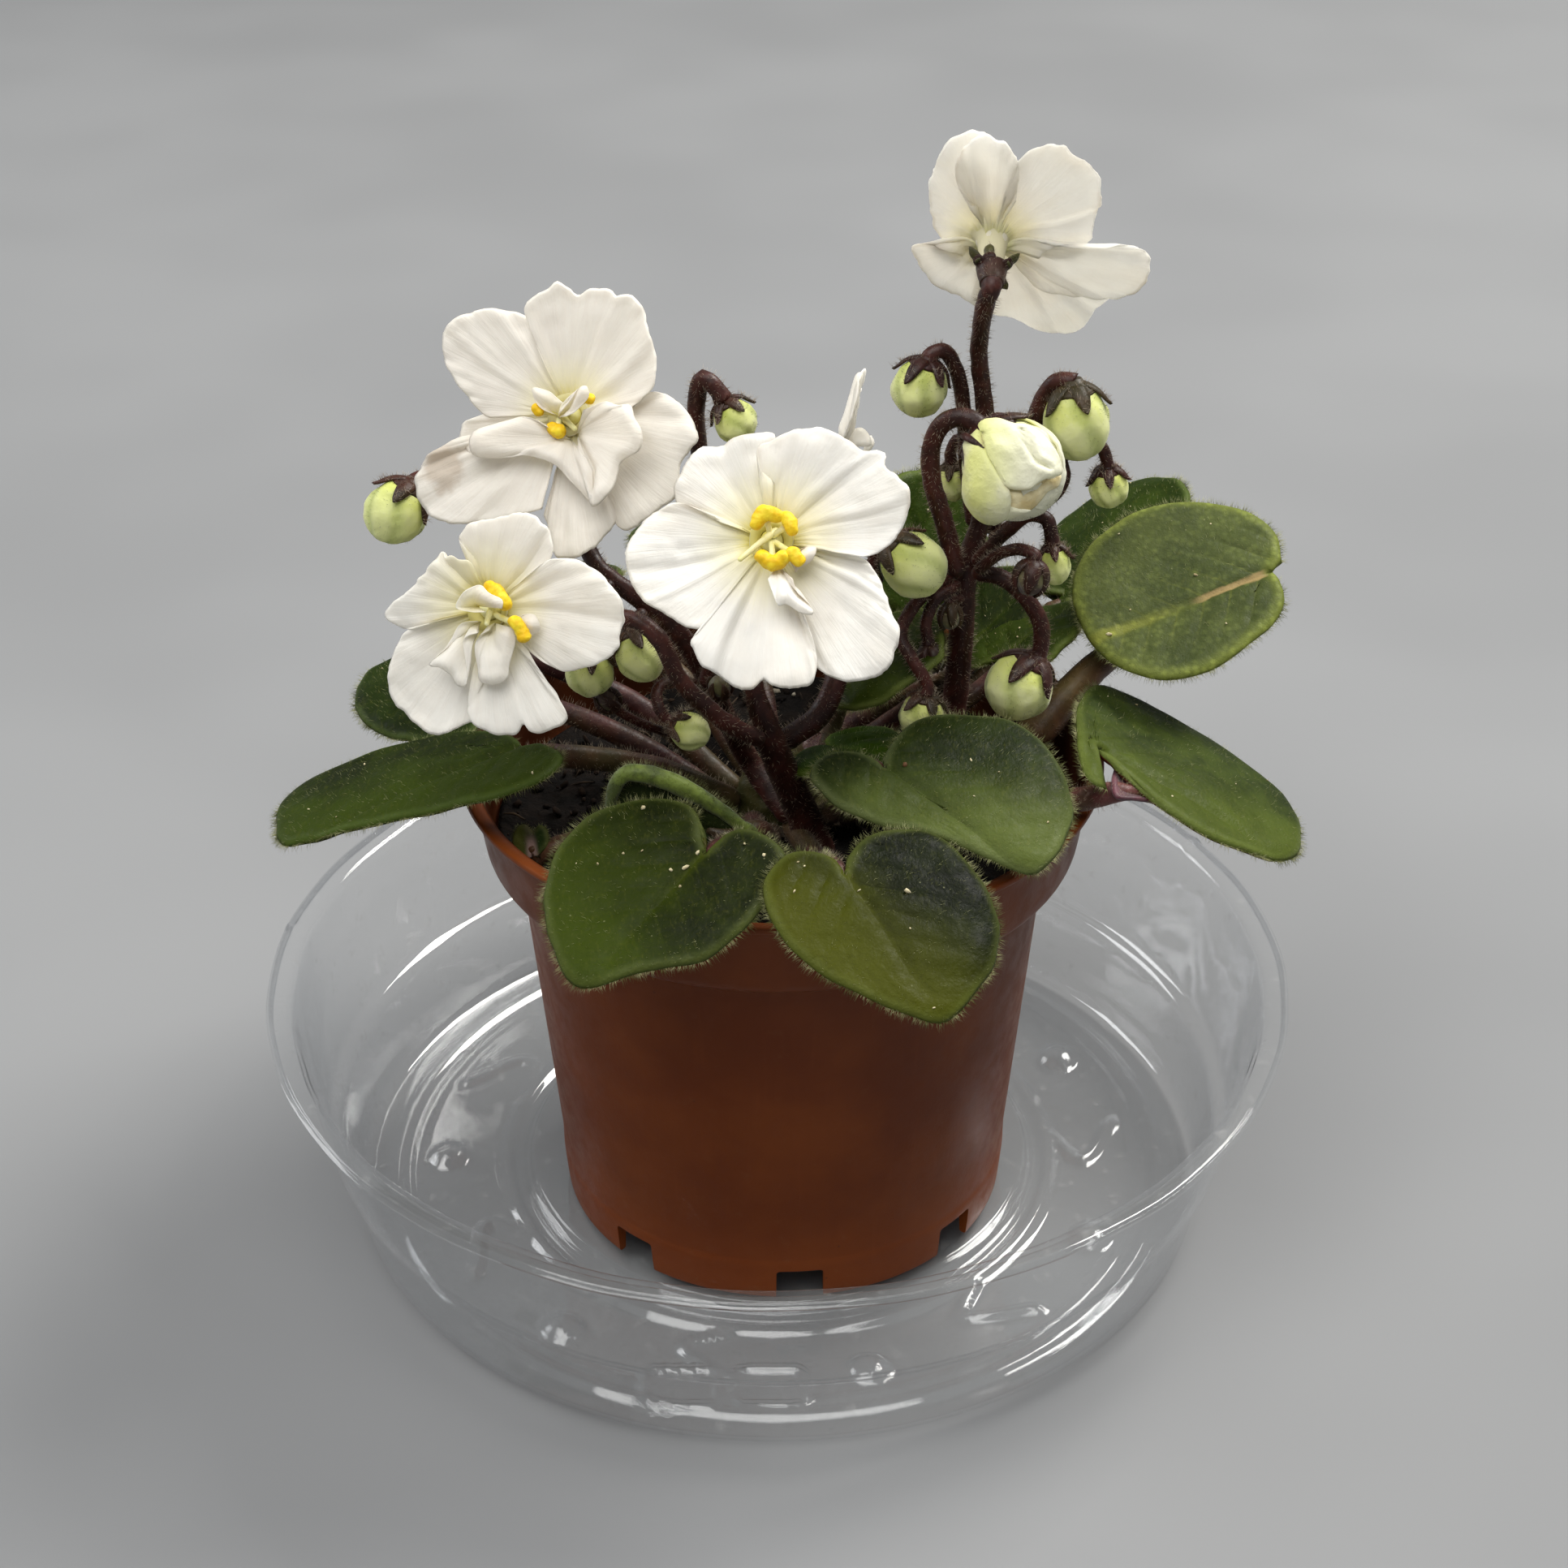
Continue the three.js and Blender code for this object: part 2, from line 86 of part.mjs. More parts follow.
// Buds: stalk centre line, bud centre (c), bud radius (r), elongation (el) and stalk radius (pr).
const BUDS = [
  {"name":"bud_far_left","pts":[[-20.77,-6.2,84.79],[-26.47,-4.5,84.52],[-31.76,-4.5,87.69],[-34.73,-6.0,90.97],[-36.44,-7.0,92.17]],"c":[-38.44,-8.0,89.19],"r":3.15,"el":1.1,"pr":0.75},
  {"name":"bud_top_small","pts":[[21.04,3.8,82.54],[20.15,4.2,89.92],[19.66,3.0,95.99],[18.76,2.5,100.28],[17.35,2.0,102.54],[15.93,1.5,101.86]],"c":[14.98,1.0,98.85],"r":2.85,"el":1.1,"pr":0.8},
  {"name":"bud_top_right","pts":[[23.19,4.5,81.43],[24.84,6.0,86.26],[26.97,7.0,90.99],[28.26,7.0,94.98],[29.65,6.5,97.22],[31.26,6.0,96.51]],"c":[31.73,5.5,93.04],"r":3.5,"el":1.2,"pr":0.95},
  {"name":"bud_far_right","pts":[[23.41,3.2,80.72],[27.41,4.0,83.59],[30.05,4.5,85.35],[30.78,5.0,87.1],[30.46,5.5,89.13],[32.31,6.0,90.87],[34.49,6.0,90.12],[35.29,6.0,88.14]],"c":[35.62,6.0,85.3],"r":2.1,"el":1.1,"pr":0.65},
  {"name":"bud_mid_left","pts":[[8.04,-4.5,71.3],[9.5,-6.0,77.9],[10.44,-6.5,82.88],[11.89,-7.5,85.42]],"c":[14.4,-8.5,83.32],"r":3.3,"el":1.1,"pr":0.8},
  {"name":"bud_mid_right","pts":[[21.6,-2.4,79.29],[23.93,-3.5,79.28],[26.5,-4.5,77.31],[28.13,-5.0,74.29],[27.88,-5.5,71.26]],"c":[26.01,-6.0,67.7],"r":3.55,"el":1.05,"pr":0.9},
  {"name":"bud_low_mid","pts":[[18.59,-2.9,78.98],[16.49,-4.5,78.65],[14.08,-6.5,76.72],[13.21,-8.5,74.91],[14.38,-10.0,73.12],[16.01,-11.0,70.39]],"c":[15.47,-11.5,67.16],"r":2.4,"el":1.0,"pr":0.7},
  {"name":"bud_mid_small","pts":[[21.35,-2.8,81.02],[24.16,-3.5,84.66],[26.56,-4.0,86.86],[28.14,-4.5,86.55],[28.77,-5.0,84.65]],"c":[29.12,-5.5,81.8],"r":1.7,"el":1.3,"pr":0.75},
  {"name":"bud_behind_stalk","pts":[[21.42,4.2,85.02],[20.3,6.6,88.82],[19.39,6.6,90.61],[18.62,6.3,89.71]],"c":[18.97,6.0,85.88],"r":1.75,"el":1.2,"pr":0.6},
  {"name":"bud_top_left","pts":[[-7.01,-9.3,70.22],[-5.56,-7.5,78.68],[-6.31,-6.0,87.29],[-7.5,-6.0,94.58],[-7.71,-6.5,100.15],[-6.98,-7.0,103.34],[-5.53,-7.5,102.33]],"c":[-3.78,-8.0,99.22],"r":2.2,"el":1.05,"pr":0.9},
  {"name":"bud_left_a","pts":[[-13.74,-9.8,78.27],[-14.62,-11.0,77.67],[-14.67,-12.0,77.07]],"c":[-13.76,-13.0,75.14],"r":2.55,"el":1.1,"pr":0.7},
  {"name":"bud_left_b","pts":[[-17.04,-9.0,81.15],[-18.19,-10.5,79.3],[-18.88,-11.5,76.99]],"c":[-19.06,-12.5,72.96],"r":2.5,"el":1.05,"pr":0.65},
  {"name":"bud_left_low","pts":[[-7.89,-8.9,69.22],[-10.28,-12.0,71.72],[-12.05,-14.0,71.68],[-11.85,-15.5,70.41],[-10.68,-16.0,69.15]],"c":[-8.68,-16.5,68.18],"r":1.95,"el":1.1,"pr":0.6},
  {"name":"bud_left_tiny","pts":[[-4.28,-9.2,63.56],[-5.0,-10.2,66.12],[-5.46,-11.0,68.64]],"c":[-5.67,-11.5,70.67],"r":1.2,"el":1.1,"pr":0.55},
  {"name":"bud_young_a","pts":[[19.01,-3.6,78.38],[16.82,-5.5,77.63],[15.89,-6.5,75.48],[16.09,-7.0,73.62]],"c":[16.45,-7.5,71.76],"r":1.35,"el":1.15,"pr":0.65},
  {"name":"bud_young_b","pts":[[19.57,-3.4,76.74],[18.41,-4.4,77.06]],"c":[18.43,-5.0,75.45],"r":1.15,"el":1.2,"pr":0.5},
  {"name":"bud_young_c","pts":[[21.54,-4.3,80.83],[23.38,-6.0,83.37],[25.42,-7.5,84.58],[26.8,-8.5,83.87]],"c":[26.42,-9.0,82.08],"r":1.7,"el":1.1,"pr":0.65},
  {"name":"bud_young_d","pts":[[-10.76,-9.0,63.45],[-13.65,-10.5,65.5],[-15.85,-11.5,67.36]],"c":[-17.45,-12.0,69.4],"r":1.2,"el":1.2,"pr":0.5},
  {"name":"flower_opening","pts":[[19.07,-3.0,80.17],[17.54,-3.5,86.07],[16.23,-4.0,90.92],[16.19,-4.5,95.24],[17.27,-5.0,97.61],[19.02,-5.5,98.45],[20.57,-6.0,97.96]],"c":[24.4,-6.5,93.17],"r":5.1,"el":1.08,"pr":1.0},
];

// ---------- helpers ----------
const vec = (a) => new THREE.Vector3(a[0], a[1], a[2]);

function geometryFrom(points, faces) {
  const g = new THREE.BufferGeometry();
  g.setAttribute('position', new THREE.Float32BufferAttribute(points.flatMap((p) => [p.x, p.y, p.z]), 3));
  g.setIndex(faces.flat());
  return g;
}

function toSolid(geometry) {
  let g = geometry.clone();
  g.deleteAttribute('normal');
  g.deleteAttribute('uv');
  g = mergeVertices(g, 1e-4);
  const p = g.attributes.position.array, i = g.index.array;
  const tris = [];
  for (let k = 0; k < i.length; k += 3) {
    if (i[k] !== i[k + 1] && i[k + 1] !== i[k + 2] && i[k] !== i[k + 2]) tris.push(i[k], i[k + 1], i[k + 2]);
  }
  let s = new wasm.Manifold(new wasm.Mesh({ numProp: 3, vertProperties: Float32Array.from(p), triVerts: Uint32Array.from(tris) }));
  if (s.volume() < 0) {
    for (let k = 0; k < tris.length; k += 3) [tris[k + 1], tris[k + 2]] = [tris[k + 2], tris[k + 1]];
    s = new wasm.Manifold(new wasm.Mesh({ numProp: 3, vertProperties: Float32Array.from(p), triVerts: Uint32Array.from(tris) }));
  }
  return s;
}

function toGeometry(solid) {
  const m = solid.getMesh();
  const g = new THREE.BufferGeometry();
  const n = m.vertProperties.length / m.numProp;
  const a = new Float32Array(n * 3);
  for (let i = 0; i < n; i++) for (let k = 0; k < 3; k++) a[i * 3 + k] = m.vertProperties[i * m.numProp + k];
  g.setAttribute('position', new THREE.BufferAttribute(a, 3));
  g.setIndex(Array.from(m.triVerts));
  return g;
}

// the largest separate body of a solid
function largest(solid) {
  const parts = solid.decompose();
  parts.sort((a, b) => b.volume() - a.volume());
  return parts[0];
}

// closed sweep of a round section whose radius changes along a smooth centre line
function sweep(points, radii, sides, steps, grow = 0) {
  const curve = new THREE.CatmullRomCurve3(points, false, 'centripetal');
  const n = steps;
  const rings = [];
  let side = null, prev = null;
  const m = points.length - 1;
  for (let i = 0; i <= n; i++) {
    const t = i / n;
    const c = curve.getPoint(t);
    const d = curve.getTangent(t);
    if (!side) {
      side = Math.abs(d.z) < 0.9 ? new THREE.Vector3(0, 0, 1).cross(d) : new THREE.Vector3(1, 0, 0).cross(d);
    } else {
      side.applyQuaternion(new THREE.Quaternion().setFromUnitVectors(prev, d));
      side.addScaledVector(d, -side.dot(d));
    }
    side.normalize();
    prev = d.clone();
    const other = d.clone().cross(side);
    const f = t * m, k = Math.min(Math.floor(f), m - 1);
    const r = radii[k] + (radii[k + 1] - radii[k]) * (f - k) + grow;
    const cc = c.clone();
    if (i === 0) cc.addScaledVector(d, -grow);
    if (i === n) cc.addScaledVector(d, grow);
    const ring = [];
    for (let s = 0; s < sides; s++) {
      const a = (s / sides) * Math.PI * 2;
      ring.push(cc.clone().addScaledVector(side, r * Math.cos(a)).addScaledVector(other, r * Math.sin(a)));
    }
    rings.push(ring);
  }
  return skin(rings);
}

// closes a stack of rings with a flat cap at each end
function skin(rings) {
  const sides = rings[0].length, pts = rings.flat(), faces = [];
  for (let i = 0; i + 1 < rings.length; i++) {
    for (let s = 0; s < sides; s++) {
      const a = i * sides + s, b = i * sides + ((s + 1) % sides), c = a + sides, d = b + sides;
      faces.push([a, b, d], [a, d, c]);
    }
  }
  const e = (rings.length - 1) * sides;
  for (let s = 1; s + 1 < sides; s++) faces.push([0, s + 1, s], [e, e + s, e + s + 1]);
  return geometryFrom(pts, faces);
}

// leaf blade: a fan from the sinus to the outline, bowed, with real thickness
function bladeGeometry(L, grow = 0) {
  const o = vec(L.o), e1 = vec(L.e1), e2 = vec(L.e2), n = vec(L.n);
  const h = LEAF_T / 2 + grow;
  const at = (u, v, side) => {
    const bow = Math.max(-6, Math.min(6, L.a * u * u + L.b * v * v));
    return o.clone().addScaledVector(e1, u).addScaledVector(e2, v).addScaledVector(n, bow + side);
  };
  const every = L.rim.length > 13 ? 12 / (L.rim.length - 1) : 1;
  const kept = L.rim.filter((_, j) => j === L.rim.length - 1 || Math.floor(j * every) !== Math.floor((j - 1) * every));
  const rim = kept.map(([u, v]) => {
    const len = Math.hypot(u, v) || 1;
    return [u * (1 + grow / len), v * (1 + grow / len)];
  });
  const k = rim.length, steps = [0.5, 1], pts = [], faces = [];
  const layer = (side) => {
    const start = pts.length;
    pts.push(at(-grow * 0.5, 0, side));
    for (const t of steps) for (const [u, v] of rim) pts.push(at(u * t, v * t, t === 1 ? side * 0.7 : side));
    return start;
  };
  const top = layer(h), low = layer(-h);
  const id = (base, t, j) => base + 1 + t * k + j;
  for (let j = 0; j + 1 < k; j++) {
    faces.push([top, id(top, 0, j), id(top, 0, j + 1)], [low, id(low, 0, j + 1), id(low, 0, j)]);
    for (let t = 0; t + 1 < steps.length; t++) {
      faces.push([id(top, t, j), id(top, t + 1, j), id(top, t + 1, j + 1)], [id(top, t, j), id(top, t + 1, j + 1), id(top, t, j + 1)]);
      faces.push([id(low, t, j), id(low, t + 1, j + 1), id(low, t + 1, j)], [id(low, t, j), id(low, t, j + 1), id(low, t + 1, j + 1)]);
    }
    const t = steps.length - 1;
    faces.push([id(top, t, j), id(low, t, j), id(low, t, j + 1)], [id(top, t, j), id(low, t, j + 1), id(top, t, j + 1)]);
  }
  for (const [j, s] of [[0, 1], [k - 1, -1]]) {
    const q = [[top, id(top, 0, j), low, id(low, 0, j)]];
    for (let t = 0; t + 1 < steps.length; t++) q.push([id(top, t, j), id(top, t + 1, j), id(low, t, j), id(low, t + 1, j)]);
    for (const [a, b, c, d] of q) {
      if (s > 0) faces.push([a, c, d], [a, d, b]); else faces.push([a, d, c], [a, b, d]);
    }
  }
  return geometryFrom(pts, faces);
}

function leafSolid(L, grow = 0) {
  const blade = toSolid(bladeGeometry(L, grow));
  const stalk = toSolid(sweep(L.pet.map(vec), L.pr, STALK_SIDES, Math.max(4, Math.round(1.5 * (L.pet.length - 1))), grow));
  return largest(blade.add(stalk));
}

// corolla: one body, the lobed limb as a cupped disc and the short tube behind it
function corollaSolid(F, grow = 0) {
  const o = vec(F.o), e1 = vec(F.e1), e2 = vec(F.e2), n = vec(F.n);
  const pts2 = F.petals.flat().map(([u, v]) => [Math.atan2(v, u), Math.hypot(u, v)]).sort((a, b) => a[0] - b[0]);
  const rim = [];
  for (const p of pts2) if (!rim.length || p[0] - rim[rim.length - 1][0] > 0.16) rim.push(p);
  const h = PETAL_T / 2 + grow;
  const at = (a, r, z) => o.clone().addScaledVector(e1, r * Math.cos(a)).addScaledVector(e2, r * Math.sin(a)).addScaledVector(n, z);
  const cup = (r) => F.cup * r * r;
  const ring = (fr, z) => rim.map(([a, R]) => { const r = fr(R); return at(a, r, cup(r) + z(R)); });
  const rings = [
    ring(() => 1.4 + grow * 0.5, () => h),
    ring((R) => R * 0.6, () => h),
    ring((R) => R + grow, () => h * 0.6),
    ring((R) => R + grow, () => -h * 0.6),
    ring((R) => R * 0.6, () => -h),
    ring(() => TUBE_R + grow, () => -h - 0.6),
    ring(() => TUBE_R * 0.8 + grow, () => -TUBE_L - grow),
  ];
  return toSolid(skin(rings));
}

// stamens: short stout column ending in a pair of swollen anthers
function stamenSolid(F, grow = 0) {
  const o = vec(F.o), n = vec(F.n);
  const z0 = PETAL_T / 2 + GAP + 0.05, st = [0, 0.5, 1.2, 2.0, 2.8, 3.3];
  const r = [0.8, 0.9, 1.7, 2.1, 1.6, 0.6];
  return toSolid(sweep(st.map((z) => o.clone().addScaledVector(n, z0 + z)), r, 6, 5, grow));
}

// bud on its stalk: stalk, calyx and closed petals are one grown piece
function budSolid(B, grow = 0) {
  const path = B.pts.map(vec), c = vec(B.c), last = path[path.length - 1];
  const axis = c.clone().sub(last).normalize();
  const r = B.r, L = B.r * B.el;
  const pts = path.slice(0, -1), rad = pts.map(() => B.pr);
  const base = c.clone().addScaledVector(axis, -L);
  pts.push(base.clone().addScaledVector(axis, -0.2));
  rad.push(B.pr * 1.15);
  for (const [s, k] of [[-0.72, 0.72], [-0.2, 1.0], [0.3, 0.98], [0.74, 0.7], [1.0, 0.22]]) {
    pts.push(c.clone().addScaledVector(axis, s * L));
    rad.push(k * r);
  }
  return toSolid(sweep(pts, rad, r > 2 ? 7 : 5, pts.length + 1, grow));
}

// ---------- pot ----------
function potSolid() {
  const H = POT_H, w = POT_WALL, zc = H - COLLAR_H;
  const prof = [
    [FOOT_R - w - 0.2, 0], [FOOT_R, 0], [FOOT_R + 0.35, NOTCH_H + 1.0], [FOOT_R + 0.1, NOTCH_H + 1.6],
    [WALL_TOP_R, zc - 0.9], [COLLAR_R - 2.0, zc + 0.1], [COLLAR_R - 0.5, zc + 1.3], [COLLAR_R + 0.3, zc + 6.0],
    [COLLAR_TOP_R, H - 1.9], [POT_RIM_R, H - 0.7], [POT_RIM_R, H], [POT_RIM_R - w, H], [COLLAR_TOP_R - w, H - 2.1],
    [COLLAR_R + 0.3 - w, zc + 5.9], [COLLAR_R - 0.5 - w, zc + 1.9], [COLLAR_R - 2.0 - w, zc + 1.0],
    [WALL_TOP_R - w, zc - 0.3], [FOOT_R + 0.1 - w, FLOOR_Z + 1.4], [0, FLOOR_Z + 1.2], [0, FLOOR_Z], [FOOT_R - w - 0.1, FLOOR_Z],
  ];
  prof.push(prof[0]);
  let s = toSolid(new THREE.LatheGeometry(prof.map(([r, z]) => new THREE.Vector2(r, z)), 40).rotateX(Math.PI / 2));
  for (let i = 0; i < NOTCHES; i++) {
    const a = -Math.PI / 2 + THREE.MathUtils.degToRad(NOTCH_TURN + (360 / NOTCHES) * i);
    const g = new THREE.BoxGeometry(6, NOTCH_W, NOTCH_H * 2).translate(FOOT_R - 0.4, 0, 0).rotateZ(a);
    s = s.subtract(toSolid(g));
  }
  for (let i = 0; i < DRAINS; i++) {
    const a = Math.PI / 4 + (i / DRAINS) * Math.PI * 2;
    const g = new THREE.CylinderGeometry(DRAIN_R, DRAIN_R, 6, 8).rotateX(Math.PI / 2).translate(DRAIN_RING * Math.cos(a), DRAIN_RING * Math.sin(a), FLOOR_Z + 0.6);
    s = s.subtract(toSolid(g));
  }
  return s;
}

// ---------- saucer ----------
function saucerSolid() {
  const t = SAUCER_T, H = SAUCER_H, B = SAUCER_BASE_R, I = SAUCER_INNER_R;
  const prof = [
    [0, 0], [B - 1.2, 0], [B, 0.9], [B + 1.3, 5.0], [I - 3.2, 11.2], [I, H - 1.3], [SAUCER_LIP_R, H - 0.7], [SAUCER_LIP_R, H],
    [I - 0.5, H - 0.5], [I - t - 3.2, 11.6], [B + 1.3 - t, 5.2], [B - t - 0.4, 1.6], [B - t - 1.6, t], [0, t],
  ];
  return toSolid(new THREE.LatheGeometry(prof.map(([r, z]) => new THREE.Vector2(r, z)), 40).rotateX(Math.PI / 2));
}

// ---------- potting mix ----------
function soilSolid() {
  const H = POT_H, w = POT_WALL + GAP;
  const z0 = FLOOR_Z + 1.4 + GAP, zc = H - COLLAR_H;
  const prof = [
    [0, z0], [FOOT_R + 0.1 - w - 0.1, z0], [WALL_TOP_R - w, zc - 0.1], [WALL_TOP_R - w + 1.4, zc + 1.05],
    [COLLAR_R - w - 1.1, zc + 1.95], [COLLAR_R - w - 3.7, zc + 2.3], [14, SOIL_TOP - POT_Z], [0, SOIL_TOP - POT_Z + SOIL_DOME],
  ];
  return toSolid(new THREE.LatheGeometry(prof.map(([r, z]) => new THREE.Vector2(r, z)), 24).rotateX(Math.PI / 2));
}

function crownSolid(grow = 0) {
  const pts = [0, 0.25, 0.6, 1].map((t) => new THREE.Vector3(POT_X, POT_Y, CROWN_Z0 + t * CROWN_H));
  return toSolid(sweep(pts, [CROWN_R, CROWN_R, CROWN_R * 0.8, CROWN_R * 0.5], 10, 3, grow));
}

// ---------- assembly ----------
const group = new THREE.Group();
const finish = (color, roughness, extra = {}) => new THREE.MeshStandardMaterial({ color, roughness, metalness: 0, ...extra });
const mats = {
  pot: () => finish('#8a3d1f', 0.45),
  saucer: () => finish('#e6eaee', 0.08, { transparent: true, opacity: 0.35 }),
  soil: () => finish('#1d1410', 0.95),
  crown: () => finish('#3b2a1c', 0.8),
  leaf: () => finish('#35512a', 0.7),
  stem: () => finish('#3a1d1e', 0.6),
  petal: () => finish('#f3efe9', 0.55),
  stamen: () => finish('#e8bd1a', 0.5),
  bud: () => finish('#b7c46a', 0.6),
};

const placed = []; // plant pieces already in place, with a slightly grown copy of each
function place(name, make, material, list = placed) {
  let s = make(0);
  const bb = s.boundingBox();
  let cut = false;
  for (const q of list) {
    const apart = [0, 1, 2].some((k) => bb.min[k] > q.box.max[k] || bb.max[k] < q.box.min[k]);
    if (apart) continue;
    const hit = s.intersect(q.grown);
    if (hit.volume() < 1e-6) continue;
    s = s.subtract(q.grown);
    cut = true;
  }
  if (cut) s = largest(s);
  const mesh = new THREE.Mesh(toGeometry(s), material());
  mesh.name = name;
  group.add(mesh);
  const grown = make(GAP);
  list.push({ name, grown, box: grown.boundingBox() });
  return mesh;
}

const pot = new THREE.Mesh(toGeometry(potSolid()), mats.pot());
pot.name = 'pot';
pot.position.set(POT_X, POT_Y, POT_Z);
const soil = new THREE.Mesh(toGeometry(soilSolid()), mats.soil());
soil.name = 'soil';
soil.position.set(POT_X, POT_Y, POT_Z);
const saucer = new THREE.Mesh(toGeometry(saucerSolid()), mats.saucer());
saucer.name = 'saucer';
group.add(saucer, pot, soil);

place('crown', crownSolid, mats.crown);
for (const F of FLOWERS) place(F.name, (g) => corollaSolid(F, g), mats.petal);
for (const S of STEMS) place(S.name, (g) => toSolid(sweep(S.pts.map(vec), S.r, 6, Math.round(S.pts.length * 1.25), g)), mats.stem);
for (const F of FLOWERS) place(F.name.replace('flower', 'stamens'), (g) => stamenSolid(F, g), mats.stamen);
for (const B of BUDS) place(B.name, (g) => budSolid(B, g), mats.bud);
for (const L of LEAVES) place(L.name, (g) => leafSolid(L, g), mats.leaf);

export default group;
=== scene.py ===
import math

import bpy
import numpy as np
from mathutils import Matrix


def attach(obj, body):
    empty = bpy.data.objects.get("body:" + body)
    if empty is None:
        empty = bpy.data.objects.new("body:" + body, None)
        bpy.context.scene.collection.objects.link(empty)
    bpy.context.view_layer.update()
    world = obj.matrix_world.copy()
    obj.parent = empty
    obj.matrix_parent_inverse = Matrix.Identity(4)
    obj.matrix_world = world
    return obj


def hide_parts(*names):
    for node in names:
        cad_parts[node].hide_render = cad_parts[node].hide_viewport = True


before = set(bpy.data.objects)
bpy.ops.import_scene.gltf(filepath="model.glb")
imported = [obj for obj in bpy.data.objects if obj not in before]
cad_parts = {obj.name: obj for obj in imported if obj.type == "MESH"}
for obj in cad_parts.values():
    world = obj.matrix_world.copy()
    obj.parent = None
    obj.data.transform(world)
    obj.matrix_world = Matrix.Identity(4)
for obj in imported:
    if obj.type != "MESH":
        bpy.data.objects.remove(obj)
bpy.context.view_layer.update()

# ---------------------------------------------------------------- dimensions (mm)
POT_X, POT_Y, POT_Z = 0.65, -3.4, 1.1
POT_H, COLLAR_H = 57.2, 10.3
FOOT_UP = 1.30  # the feet stand on a low raised ring of the saucer
NOTCHES, NOTCH_W, NOTCH_H, NOTCH_TURN = 8, 5.2, 4.8, 4.5
SOIL_TOP = 49.4
CROWN = (0.65, -3.4, 50.8)

